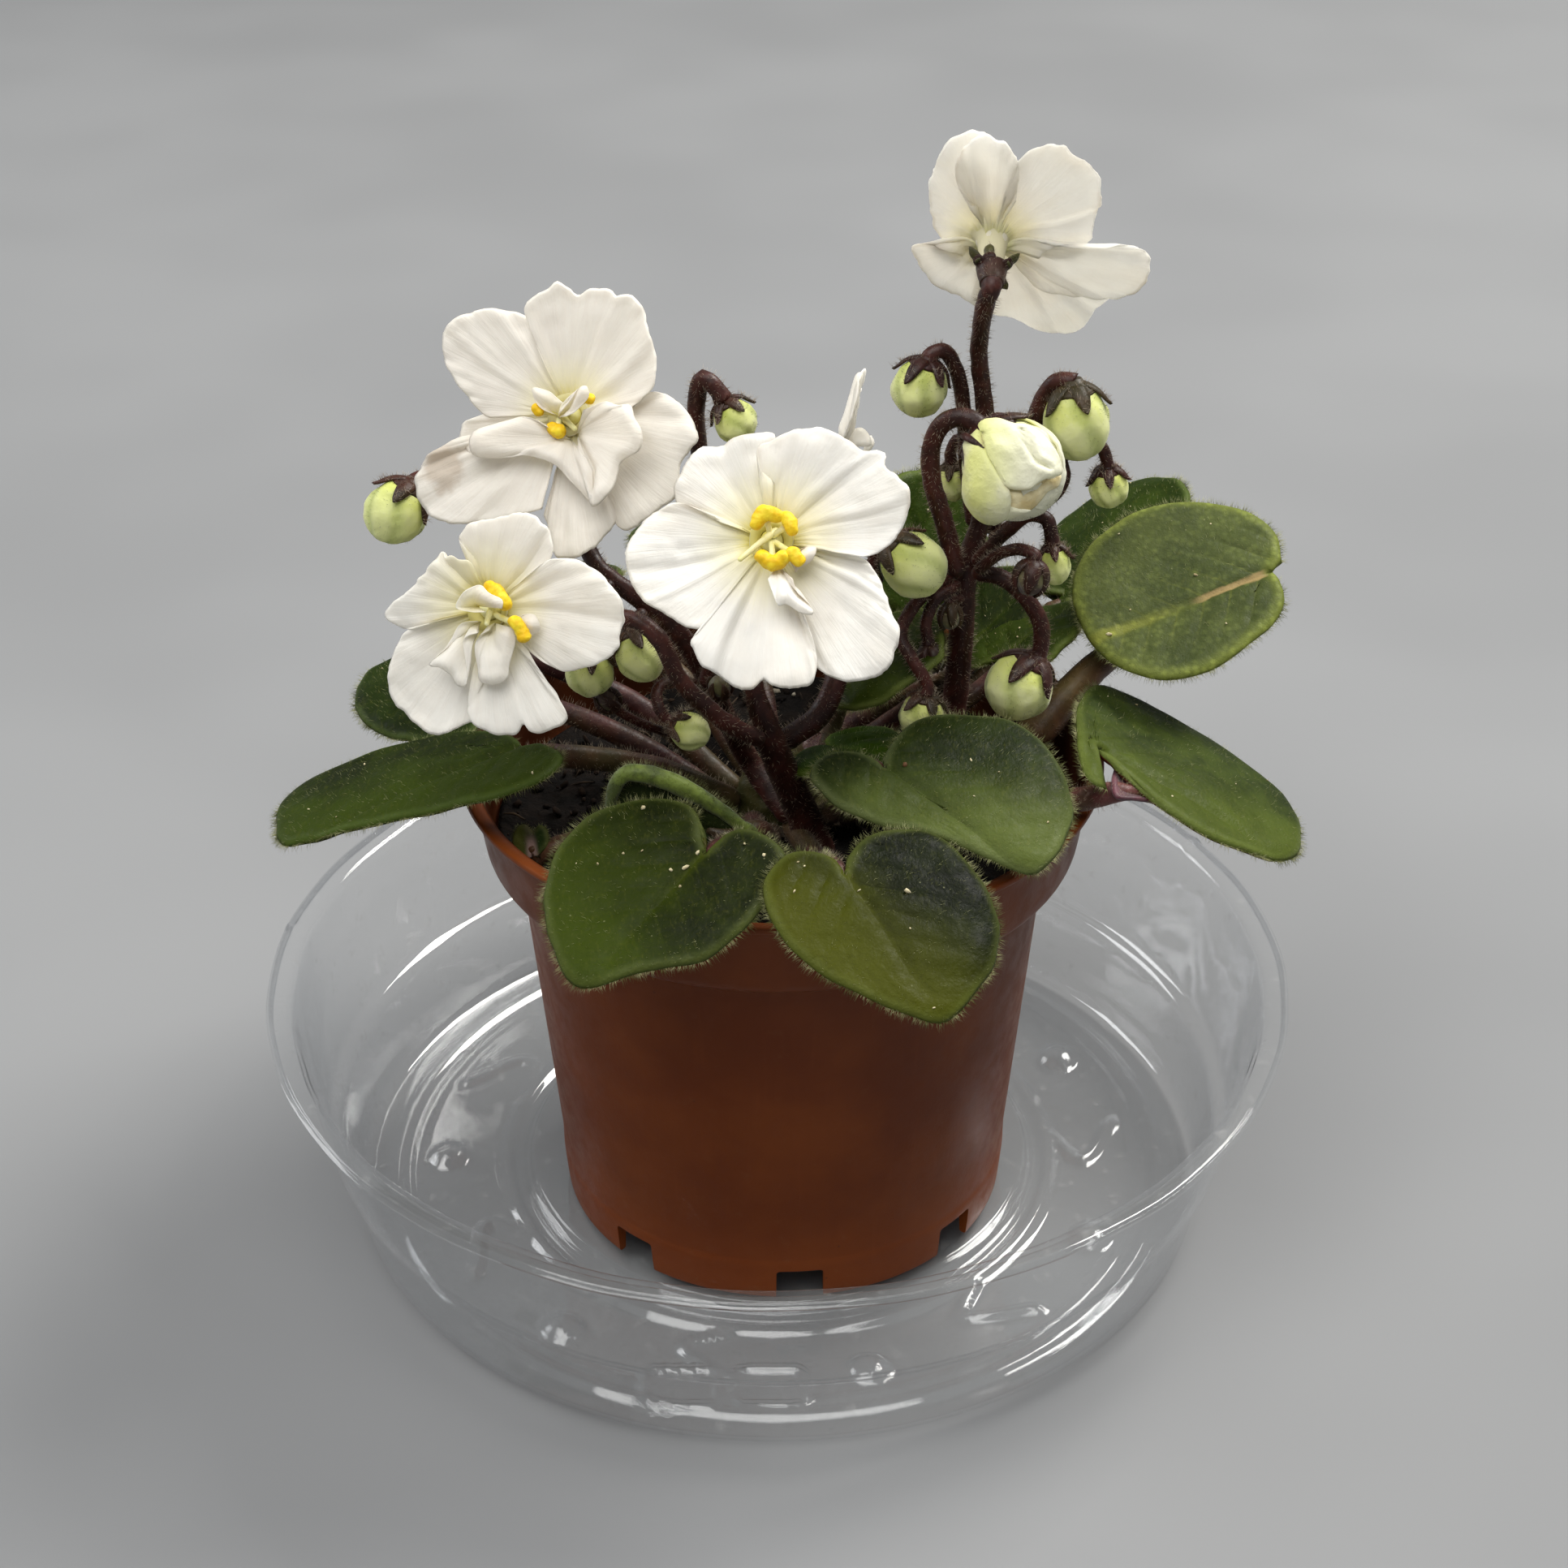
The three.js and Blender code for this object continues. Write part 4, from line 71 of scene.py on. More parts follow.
FLOWERS = [
    {'name': 'flower_upper_left', 'o': [-20.49, -8.0, 99.93], 'e1': [0.9545, -0.2983, 0.0], 'e2': [0.1636, 0.5237, 0.8361], 'n': [-0.2494, -0.798, 0.5486], 'cup': 0.004, 'petals': [{'id': 'tl', 'b': [0.0, 0.0], 'z': [0.0, 0.2], 'ruf': 0.25, 'fold': 0, 'inner': False, 'rim': [[-7.97, -1.41], [-8.84, -1.22], [-11.5, 0.93], [-14.44, 4.94], [-13.83, 7.03], [-11.12, 8.98], [-9.5, 9.29], [-6.16, 9.21], [-5.19, 8.34], [-3.86, 6.52]]}, {'id': 'tr', 'b': [0.0, 0.0], 'z': [0.1, 1.0], 'ruf': 0.45, 'fold': 0, 'inner': False, 'rim': [[-3.64, 5.59], [-5.7, 9.48], [-5.07, 10.93], [-3.75, 11.87], [-2.82, 12.72], [-1.52, 12.41], [-0.6, 11.83], [0.55, 12.54], [3.29, 12.54], [3.77, 12.1], [5.46, 12.08], [6.93, 10.67], [7.87, 8.63], [8.76, 6.37], [9.11, 3.67], [7.0, 1.18]]}, {'id': 'r', 'b': [0.0, 0.0], 'z': [0.0, 0.1], 'ruf': 0.4, 'fold': 0, 'inner': False, 'rim': [[6.62, 1.6], [8.68, 3.21], [10.17, 3.17], [11.83, 2.16], [13.07, 1.11], [14.32, -1.12], [12.85, -3.45], [12.82, -6.63], [11.47, -8.37], [8.79, -10.79], [7.24, -10.49], [6.38, -8.39]]}, {'id': 'b', 'b': [0.0, 0.0], 'z': [0.0, 0.4], 'ruf': 0.4, 'fold': 0, 'inner': False, 'rim': [[6.62, -8.01], [7.14, -9.54], [6.19, -12.07], [3.48, -14.23], [1.39, -14.31], [0.64, -12.8], [-0.47, -10.52]]}, {'id': 'l', 'b': [0.0, 0.0], 'z': [0.15, 1.2], 'ruf': 0.5, 'fold': 0.5, 'inner': False, 'rim': [[-0.29, -10.02], [-3.0, -11.09], [-5.76, -11.88], [-8.12, -12.52], [-11.91, -12.26], [-14.04, -8.92], [-13.63, -6.83], [-11.72, -4.93], [-10.83, -4.2], [-9.77, -4.86], [-9.08, -5.77]]}, {'id': 'l2', 'b': [0.0, 0.0], 'z': [-0.1, -0.3], 'ruf': 0.2, 'fold': 0, 'inner': False, 'rim': [[-10.2, -5.06], [-10.96, -2.63], [-9.97, -1.79], [-8.84, -1.13], [-7.19, -1.01]]}, {'id': 'i1', 'b': [0.99, -2.62], 'z': [1.0, 3.4], 'ruf': 0.6, 'fold': 0, 'inner': True, 'rim': [[-1.07, -1.9], [-2.43, -1.28], [-4.11, -1.19], [-5.65, -1.89], [-8.46, -3.46], [-8.68, -4.49], [-8.04, -5.71], [-5.56, -5.67], [-2.56, -5.07], [0.44, -5.48], [2.42, -7.02], [3.87, -8.03], [5.2, -8.86], [4.36, -5.19], [3.28, -3.94]]}, {'id': 'i2', 'b': [1.5, -1.96], 'z': [1.0, 4.6], 'ruf': 0.7, 'fold': 0, 'inner': True, 'rim': [[2.97, 0.04], [5.07, 1.17], [6.37, 0.92], [7.8, 1.08], [8.66, -0.19], [9.72, -1.44], [9.63, -3.21], [7.8, -4.59], [7.77, -6.56], [6.93, -8.63], [5.84, -9.46], [5.49, -8.22], [4.85, -5.54]]}, {'id': 'i3', 'b': [-0.67, -0.43], 'z': [1.4, 3.6], 'ruf': 0.05, 'fold': 0, 'inner': True, 'rim': [[0.43, 0.62], [-1.62, 1.65], [-2.98, 1.68], [-2.7, 0.63], [-1.71, -0.23], [-0.4, -0.57]]}, {'id': 'i4', 'b': [-0.62, -0.72], 'z': [1.6, 4.6], 'ruf': 0.05, 'fold': 0, 'inner': True, 'rim': [[1.26, -0.85], [2.36, -0.03], [3.33, 1.55], [2.99, 2.34], [2.28, 2.22], [1.56, 0.96], [0.66, -0.43]]}]},
    {'name': 'flower_centre', 'o': [-0.12, -20.0, 91.85], 'e1': [0.9981, -0.0624, 0.0], 'e2': [0.0374, 0.5981, 0.8006], 'n': [-0.0499, -0.799, 0.5993], 'cup': 0.004, 'petals': [{'id': 'tl', 'b': [0.0, 0.0], 'z': [0.0, 0.0], 'ruf': 0.3, 'fold': 0, 'inner': False, 'rim': [[-4.99, 0.82], [-7.09, 2.59], [-9.34, 3.32], [-9.6, 4.75], [-8.88, 7.23], [-7.33, 9.12], [-5.3, 9.3], [-4.11, 10.05], [-1.69, 10.63], [-0.05, 10.37], [-0.19, 8.33], [-0.7, 5.67]]}, {'id': 'tr', 'b': [0.0, 0.0], 'z': [0.15, 1.2], 'ruf': 0.55, 'fold': 0, 'inner': False, 'rim': [[0.19, 5.44], [-1.27, 6.83], [-1.54, 8.65], [0.04, 9.9], [2.04, 10.65], [4.06, 10.89], [5.69, 10.52], [7.32, 10.04], [8.98, 8.74], [10.19, 8.85], [11.11, 8.46], [10.95, 7.24], [12.3, 6.24], [13.34, 5.24], [13.67, 4.23], [13.24, 2.19], [12.1, 0.15], [10.54, -1.29], [9.15, -1.72], [6.92, -1.35], [4.88, -0.77]]}, {'id': 'lr', 'b': [0.0, 0.0], 'z': [0.0, -0.2], 'ruf': 0.35, 'fold': 0, 'inner': False, 'rim': [[5.22, -0.91], [6.86, -1.29], [9.1, -1.67], [10.37, -3.09], [11.45, -5.12], [12.12, -6.96], [12.79, -8.6], [12.55, -10.45], [11.72, -12.51], [10.36, -13.56], [8.56, -13.91], [6.53, -13.44], [5.08, -12.65], [4.37, -9.99], [3.46, -7.54]]}, {'id': 'b', 'b': [0.0, 0.0], 'z': [0.15, 1.4], 'ruf': 0.4, 'fold': 0, 'inner': False, 'rim': [[3.97, -8.4], [4.89, -11.04], [4.96, -12.89], [4.42, -14.33], [2.25, -15.01], [0.83, -14.64], [-0.09, -14.26], [-1.16, -15.01], [-2.97, -14.76], [-4.01, -13.98], [-6.07, -12.82], [-6.94, -11.42], [-7.19, -10.4], [-6.43, -9.55], [-5.32, -7.66]]}, {'id': 'l', 'b': [0.0, 0.0], 'z': [0.2, 0.9], 'ruf': 0.35, 'fold': 0, 'inner': False, 'rim': [[-5.31, -8.61], [-6.29, -9.26], [-8.1, -9.12], [-10.38, -7.78], [-12.45, -6.43], [-13.55, -4.43], [-14.08, -1.58], [-13.16, 0.31], [-11.82, 2.01], [-10.44, 2.69], [-9.25, 3.15], [-7.0, 2.42], [-4.73, 1.27]]}, {'id': 'i1', 'b': [0.84, -2.69], 'z': [1.4, 4.2], 'ruf': 0.1, 'fold': 0, 'inner': True, 'rim': [[0.06, -4.49], [0.51, -5.69], [1.27, -7.09], [1.86, -6.92], [3.49, -7.85], [4.59, -7.86], [4.46, -7.22], [2.9, -5.63], [2.51, -4.42]]}, {'id': 'i2', 'b': [1.82, -1.85], 'z': [1.0, 2.4], 'ruf': 0.1, 'fold': 0, 'inner': True, 'rim': [[2.62, -3.49], [3.01, -3.07], [4.28, -2.23], [4.54, -1.0], [3.72, -0.82], [2.94, -1.24]]}]},
    {'name': 'flower_lower_left', 'o': [-28.12, -22.0, 85.3], 'e1': [0.9247, -0.3807, 0.0], 'e2': [0.1455, 0.3533, 0.9241], 'n': [-0.3519, -0.8545, 0.382], 'cup': 0.004, 'petals': [{'id': 't', 'b': [0.0, 0.0], 'z': [0.0, 0.3], 'ruf': 0.25, 'fold': 0, 'inner': False, 'rim': [[-1.13, 3.19], [-1.69, 4.63], [-2.93, 5.6], [-3.87, 6.47], [-2.81, 7.84], [-0.3, 8.93], [2.42, 9.9], [4.09, 10.18], [5.74, 8.94], [6.44, 6.21], [5.17, 4.3]]}, {'id': 'r', 'b': [0.0, 0.0], 'z': [0.1, 0.8], 'ruf': 0.5, 'fold': 0, 'inner': False, 'rim': [[4.99, 4.63], [6.7, 6.19], [8.93, 6.58], [10.7, 6.14], [12.3, 5.59], [14.6, 4.18], [15.28, 2.8], [15.29, 0.8], [15.2, -1.05], [13.54, -2.71], [11.23, -3.83], [9.59, -4.4], [6.99, -3.8], [5.27, -2.6]]}, {'id': 'lr', 'b': [0.0, 0.0], 'z': [0.15, 1.2], 'ruf': 0.4, 'fold': 0, 'inner': False, 'rim': [[5.51, -2.87], [7.83, -5.3], [9.63, -6.81], [10.7, -8.45], [10.33, -9.54], [8.76, -10.45], [7.25, -10.58], [6.4, -10.16], [5.63, -11.16], [3.62, -11.72], [1.62, -11.26], [0.24, -9.99], [0.8, -8.86], [1.48, -6.17]]}, {'id': 'll', 'b': [0.0, 0.0], 'z': [-0.1, 0.2], 'ruf': 0.4, 'fold': 0, 'inner': False, 'rim': [[1.14, -9.4], [0.68, -11.03], [0.0, -11.5], [-1.53, -12.48], [-3.1, -13.21], [-4.86, -12.94], [-6.08, -12.48], [-7.78, -11.42], [-8.99, -9.91], [-9.36, -8.25], [-9.24, -6.15], [-8.46, -3.94], [-5.89, -2.28], [-3.77, -1.38]]}, {'id': 'l', 'b': [0.0, 0.0], 'z': [0.1, 0.8], 'ruf': 0.45, 'fold': 0, 'inner': False, 'rim': [[-3.44, -1.46], [-5.39, -2.32], [-8.2, -3.51], [-9.75, -3.1], [-10.48, -2.53], [-9.83, -1.21], [-7.9, 1.01], [-6.33, 3.34], [-5.19, 4.73], [-4.85, 4.27], [-3.68, 4.64], [-3.09, 4.41], [-1.79, 4.46], [-0.84, 2.92]]}, {'id': 'i1', 'b': [-0.51, 0.21], 'z': [1.4, 4.4], 'ruf': 0.05, 'fold': 0, 'inner': True, 'rim': [[3.46, 0.84], [3.35, 1.66], [1.68, 2.2], [0.68, 2.69], [-0.38, 2.17], [-1.59, 0.1], [0.12, -0.1], [1.77, 0.2]]}, {'id': 'i2', 'b': [-0.11, -1.26], 'z': [1.4, 3.6], 'ruf': 0.2, 'fold': 0, 'inner': True, 'rim': [[0.77, -0.96], [-1.22, -1.49], [-1.95, -2.89], [-2.51, -4.18], [-3.88, -6.13], [-2.55, -6.22], [-1.35, -6.68], [-0.63, -7.56], [0.28, -7.39], [-0.05, -5.42], [-0.62, -2.99], [0.92, -2.03]]}, {'id': 'i3', 'b': [1.39, -1.15], 'z': [1.2, 3.0], 'ruf': 0.2, 'fold': 0, 'inner': True, 'rim': [[1.69, -1.67], [0.68, -2.45], [0.37, -3.52], [0.99, -5.61], [1.37, -6.73], [2.91, -6.86], [4.28, -6.01], [4.43, -4.63], [4.68, -2.05], [4.23, -0.95]]}, {'id': 'i4', 'b': [3.76, -0.56], 'z': [1.0, 2.2], 'ruf': 0.05, 'fold': 0, 'inner': True, 'rim': [[4.58, 0.33], [5.5, 0.58], [6.18, 0.45], [6.78, -0.37], [6.6, -1.07], [5.81, -1.56]]}]},
    {'name': 'flower_top_right', 'o': [22.33, 7.49, 113.2], 'e1': [-0.9986, 0.0537, 0.0], 'e2': [-0.0189, -0.3513, 0.9361], 'n': [0.0503, 0.9347, 0.3518], 'cup': 0.006, 'petals': [{'id': 'tl', 'b': [0.0, 0.0], 'z': [0.0, 0.6], 'ruf': 0.3, 'fold': 0, 'inner': False, 'rim': [[2.89, -3.66], [4.92, -2.33], [6.04, -0.05], [6.54, 3.1], [6.41, 5.94], [5.67, 8.91], [4.48, 10.6], [3.27, 11.45], [2.24, 11.93], [0.82, 11.15], [-0.28, 9.77]]}, {'id': 'tm', 'b': [0.0, 0.0], 'z': [-0.2, -1.0], 'ruf': 0.2, 'fold': 0, 'inner': False, 'rim': [[0.85, 1.61], [1.27, 3.72], [2.53, 4.44], [3.64, 6.31], [3.96, 8.59], [3.23, 10.84], [2.39, 11.86], [0.84, 12.3], [-0.92, 11.55], [-2.02, 10.17], [-2.43, 8.55], [-2.23, 4.76]]}, {'id': 'tr', 'b': [0.0, 0.0], 'z': [-0.1, -0.3], 'ruf': 0.4, 'fold': 0, 'inner': False, 'rim': [[-1.48, 5.92], [-2.05, 9.24], [-2.56, 9.65], [-3.74, 10.64], [-5.45, 11.19], [-6.84, 11.24], [-7.66, 10.51], [-8.66, 9.86], [-9.97, 8.35], [-10.61, 6.43], [-10.77, 3.84], [-10.25, 0.74], [-9.83, -1.21], [-6.13, -2.79]]}, {'id': 'r', 'b': [0.0, 0.0], 'z': [-0.3, -1.5], 'ruf': 0.3, 'fold': 0, 'inner': False, 'rim': [[-4.83, -1.91], [-6.56, -0.55], [-7.79, -0.26], [-9.76, -0.28], [-12.11, -0.61], [-15.04, -1.43], [-15.83, -2.38], [-16.43, -3.2], [-16.48, -4.94], [-15.79, -6.62], [-14.45, -8.26], [-12.45, -8.53], [-9.86, -7.99], [-4.48, -6.12]]}, {'id': 'b', 'b': [0.0, 0.0], 'z': [0.0, 0.3], 'ruf': 0.35, 'fold': 0, 'inner': False, 'rim': [[-8.27, -8.84], [-12.6, -10.35], [-10.95, -13.58], [-9.75, -15.24], [-8.29, -16.02], [-4.86, -14.77], [-2.0, -13.39], [-0.49, -12.54], [1.4, -11.47], [1.3, -8.44]]}, {'id': 'l', 'b': [0.0, 0.0], 'z': [-0.1, -0.3], 'ruf': 0.3, 'fold': 0, 'inner': False, 'rim': [[1.23, -10.56], [4.05, -8.28], [6.47, -6.13], [8.43, -2.59], [7.8, -1.79], [6.54, -1.55], [4.91, -1.89], [2.89, -2.85], [1.78, -4.02]]}]},
    {'name': 'flower_behind', 'o': [5.82, 7.0, 85.61], 'e1': [0.1258, 0.9921, -0.0], 'e2': [0.2159, -0.0274, 0.976], 'n': [0.9683, -0.1228, -0.2177], 'cup': 0.004, 'petals': [{'id': 'p0', 'b': [0, 0], 'z': [0, 0.0], 'ruf': 0.35, 'fold': 0, 'inner': False, 'rim': [[3.99, 5.6], [5.09, 9.32], [3.09, 12.11], [0.0, 12.75], [-3.09, 12.11], [-5.09, 9.32], [-3.99, 5.6]]}, {'id': 'p1', 'b': [0, 0], 'z': [0, 0.4], 'ruf': 0.35, 'fold': 0, 'inner': False, 'rim': [[-4.09, 5.53], [-7.29, 7.73], [-10.56, 6.68], [-12.13, 3.94], [-12.47, 0.8], [-10.44, -1.96], [-6.56, -2.07]]}, {'id': 'p2', 'b': [0, 0], 'z': [0, 0.0], 'ruf': 0.35, 'fold': 0, 'inner': False, 'rim': [[-7.3, -2.44], [-10.75, -5.1], [-10.78, -8.94], [-8.39, -11.55], [-5.17, -13.01], [-1.52, -11.8], [-0.06, -7.7]]}, {'id': 'p3', 'b': [0, 0], 'z': [0, 0.4], 'ruf': 0.35, 'fold': 0, 'inner': False, 'rim': [[0.06, -7.7], [1.52, -11.8], [5.17, -13.01], [8.39, -11.55], [10.78, -8.94], [10.75, -5.1], [7.3, -2.44]]}, {'id': 'p4', 'b': [0, 0], 'z': [0, 0.0], 'ruf': 0.35, 'fold': 0, 'inner': False, 'rim': [[6.56, -2.07], [10.44, -1.96], [12.47, 0.8], [12.13, 3.94], [10.56, 6.68], [7.29, 7.73], [4.09, 5.53]]}, {'id': 'i0', 'b': [0.3, 0.2], 'z': [1.0, 3.5], 'ruf': 0.1, 'fold': 0, 'inner': True, 'rim': [[3.1, 1.12], [4.17, 3.15], [2.89, 5.0], [0.64, 5.19], [-0.58, 3.25]]}, {'id': 'i1', 'b': [0.3, 0.2], 'z': [1.0, 3.5], 'ruf': 0.1, 'fold': 0, 'inner': True, 'rim': [[-3.25, 0.58], [-5.19, -0.64], [-5.0, -2.89], [-3.15, -4.17], [-1.12, -3.1]]}]},
]
ANTHERS = {
    'flower_upper_left': {'anth': [[[[-2.54, -0.16, 2.3], [-2.24, -0.37, 2.3]], 0.5], [[[-0.68, -1.78, 2.1], [-0.2, -2.05, 2.1], [0.24, -2.08, 2.1]], 0.55], [[[2.71, 1.32, 3.0], [3.12, 1.45, 3.0]], 0.5]], 'fil': [[[-0.41, -0.25, 0.2], [-2.32, -0.34, 2.1]], [[-0.41, -0.25, 0.2], [-0.2, -1.93, 1.9]], [[0.07, -0.03, 0.2], [2.64, 1.35, 2.8]]], 'style': [[-0.16, -0.49, 0.8], [1.68, -1.64, 2.0]]},
    'flower_centre': {'anth': [[[[-1.3, 1.07, 2.6], [-0.93, 1.8, 2.6], [-0.32, 2.22, 2.6], [0.88, 1.93, 2.6]], 0.62], [[[1.6, 1.77, 2.7], [1.86, 1.22, 2.7], [2.12, 0.59, 2.7]], 0.62], [[[-0.67, -2.31, 2.9], [0.13, -2.77, 2.9], [0.84, -2.75, 2.9], [1.45, -2.25, 2.9]], 0.62], [[[2.3, -1.75, 2.9], [2.95, -2.37, 2.9]], 0.6]], 'fil': [[[0.01, 0.21, 0.2], [-0.41, 1.9, 2.2]], [[0.17, 0.21, 0.2], [1.68, 0.99, 2.2]], [[0.1, -0.27, 0.2], [0.39, -2.11, 2.4]], [[0.26, -0.27, 0.2], [2.35, -1.82, 2.4]]], 'style': [[0.42, 0.67, 0.8], [-2.75, -2.44, 2.4]]},
    'flower_lower_left': {'anth': [[[[1.24, 2.54, 2.6], [2.09, 2.21, 2.6], [2.79, 1.7, 2.6], [3.12, 1.2, 2.6]], 0.62], [[[4.48, -0.39, 2.9], [5.16, -0.82, 2.9], [5.7, -1.52, 2.9]], 0.6]], 'fil': [[[0.65, -0.03, 0.2], [2.34, 1.52, 2.2]], [[0.85, -0.16, 0.2], [4.47, -0.58, 2.3]]], 'style': [[0.94, 0.06, 0.8], [1.38, -1.06, 2.4]]},
    'flower_top_right': {'anth': [[[[-1.5, 0.9, 2.4], [-1.1, 1.7, 2.6], [0.0, 2.0, 2.7]], 0.74], [[[0.9, 1.5, 2.7], [1.5, 0.7, 2.5]], 0.72]], 'fil': [[[0.2, 0.1, 0.2], [-0.8, 1.4, 2.3]], [[0.3, 0.1, 0.2], [1.2, 1.1, 2.3]]], 'style': [[0, -0.2, 0.8], [-0.9, -2.0, 3.0]]},
    'flower_behind': {'anth': [[[[-1.5, 0.9, 2.4], [-1.1, 1.7, 2.6], [0.0, 2.0, 2.7]], 0.74], [[[0.9, 1.5, 2.7], [1.5, 0.7, 2.5]], 0.72]], 'fil': [[[0.2, 0.1, 0.2], [-0.8, 1.4, 2.3]], [[0.3, 0.1, 0.2], [1.2, 1.1, 2.3]]], 'style': [[0, -0.2, 0.8], [-0.9, -2.0, 3.0]]},
}
STEMS = [
    {'name': 'peduncle_right', 'pts': [[11.57, -2.06, 50.6], [16.43, -1.5, 55.49], [19.12, -1.5, 61.66], [19.89, -1.0, 69.41], [20.3, 0.0, 78.08], [21.72, 1.0, 83.89], [22.17, 2.0, 89.99], [21.82, 2.5, 96.21], [21.05, 2.5, 102.06], [21.01, 1.5, 106.89], [21.87, -0.93, 110.04], [21.98, 1.13, 110.81], [22.07, 2.67, 111.39]], 'r': [1.5, 1.5, 1.45, 1.35, 1.35, 1.0, 0.95, 0.95, 0.9, 0.9, 0.95, 1.3, 2.1]},
    {'name': 'peduncle_centre', 'pts': [[4.62, -11.78, 50.6], [2.61, -12.0, 56.18], [-0.17, -14.5, 65.37], [-1.97, -14.5, 71.96], [-2.37, -13.0, 76.85], [0.33, -12.81, 86.46], [0.22, -14.57, 87.78], [0.14, -15.89, 88.77]], 'r': [1.9, 1.8, 1.6, 1.05, 1.0, 0.95, 1.3, 2.1]},
    {'name': 'peduncle_left', 'pts': [[1.12, -9.29, 54.0], [-2.69, -5.0, 57.56], [-6.46, -6.5, 66.99], [-9.71, -7.5, 74.38], [-14.83, -7.5, 79.53], [-18.21, -6.0, 81.7], [-19.93, -3.5, 85.15], [-18.25, -0.82, 94.99], [-18.8, -2.57, 96.2], [-19.21, -3.89, 97.11]], 'r': [1.3, 1.25, 1.15, 1.1, 1.0, 0.95, 0.95, 0.95, 1.3, 2.1]},
    {'name': 'pedicel_lower_left', 'pts': [[-1.79, -17.6, 68.05], [-4.41, -18.8, 70.28], [-6.33, -19.8, 72.47], [-9.32, -21.0, 76.71], [-11.31, -21.0, 81.42], [-13.5, -20.0, 82.89], [-17.23, -18.5, 82.84], [-24.95, -14.31, 81.87], [-25.72, -16.19, 82.71], [-26.31, -17.6, 83.34]], 'r': [0.95, 0.95, 0.95, 0.9, 0.9, 0.85, 0.85, 0.9, 1.3, 2.0]},
    {'name': 'pedicel_behind', 'pts': [[1.51, -12.2, 64.81], [4.5, -11.0, 66.68], [6.37, -9.0, 69.76], [6.22, -5.0, 73.52], [4.94, 0.0, 78.66], [2.61, 4.0, 82.45], [-2.9, 8.11, 87.57], [-0.77, 7.83, 87.09], [0.83, 7.63, 86.74]], 'r': [1.2, 1.25, 1.2, 1.1, 1.0, 0.95, 0.95, 1.3, 2.1]},
]
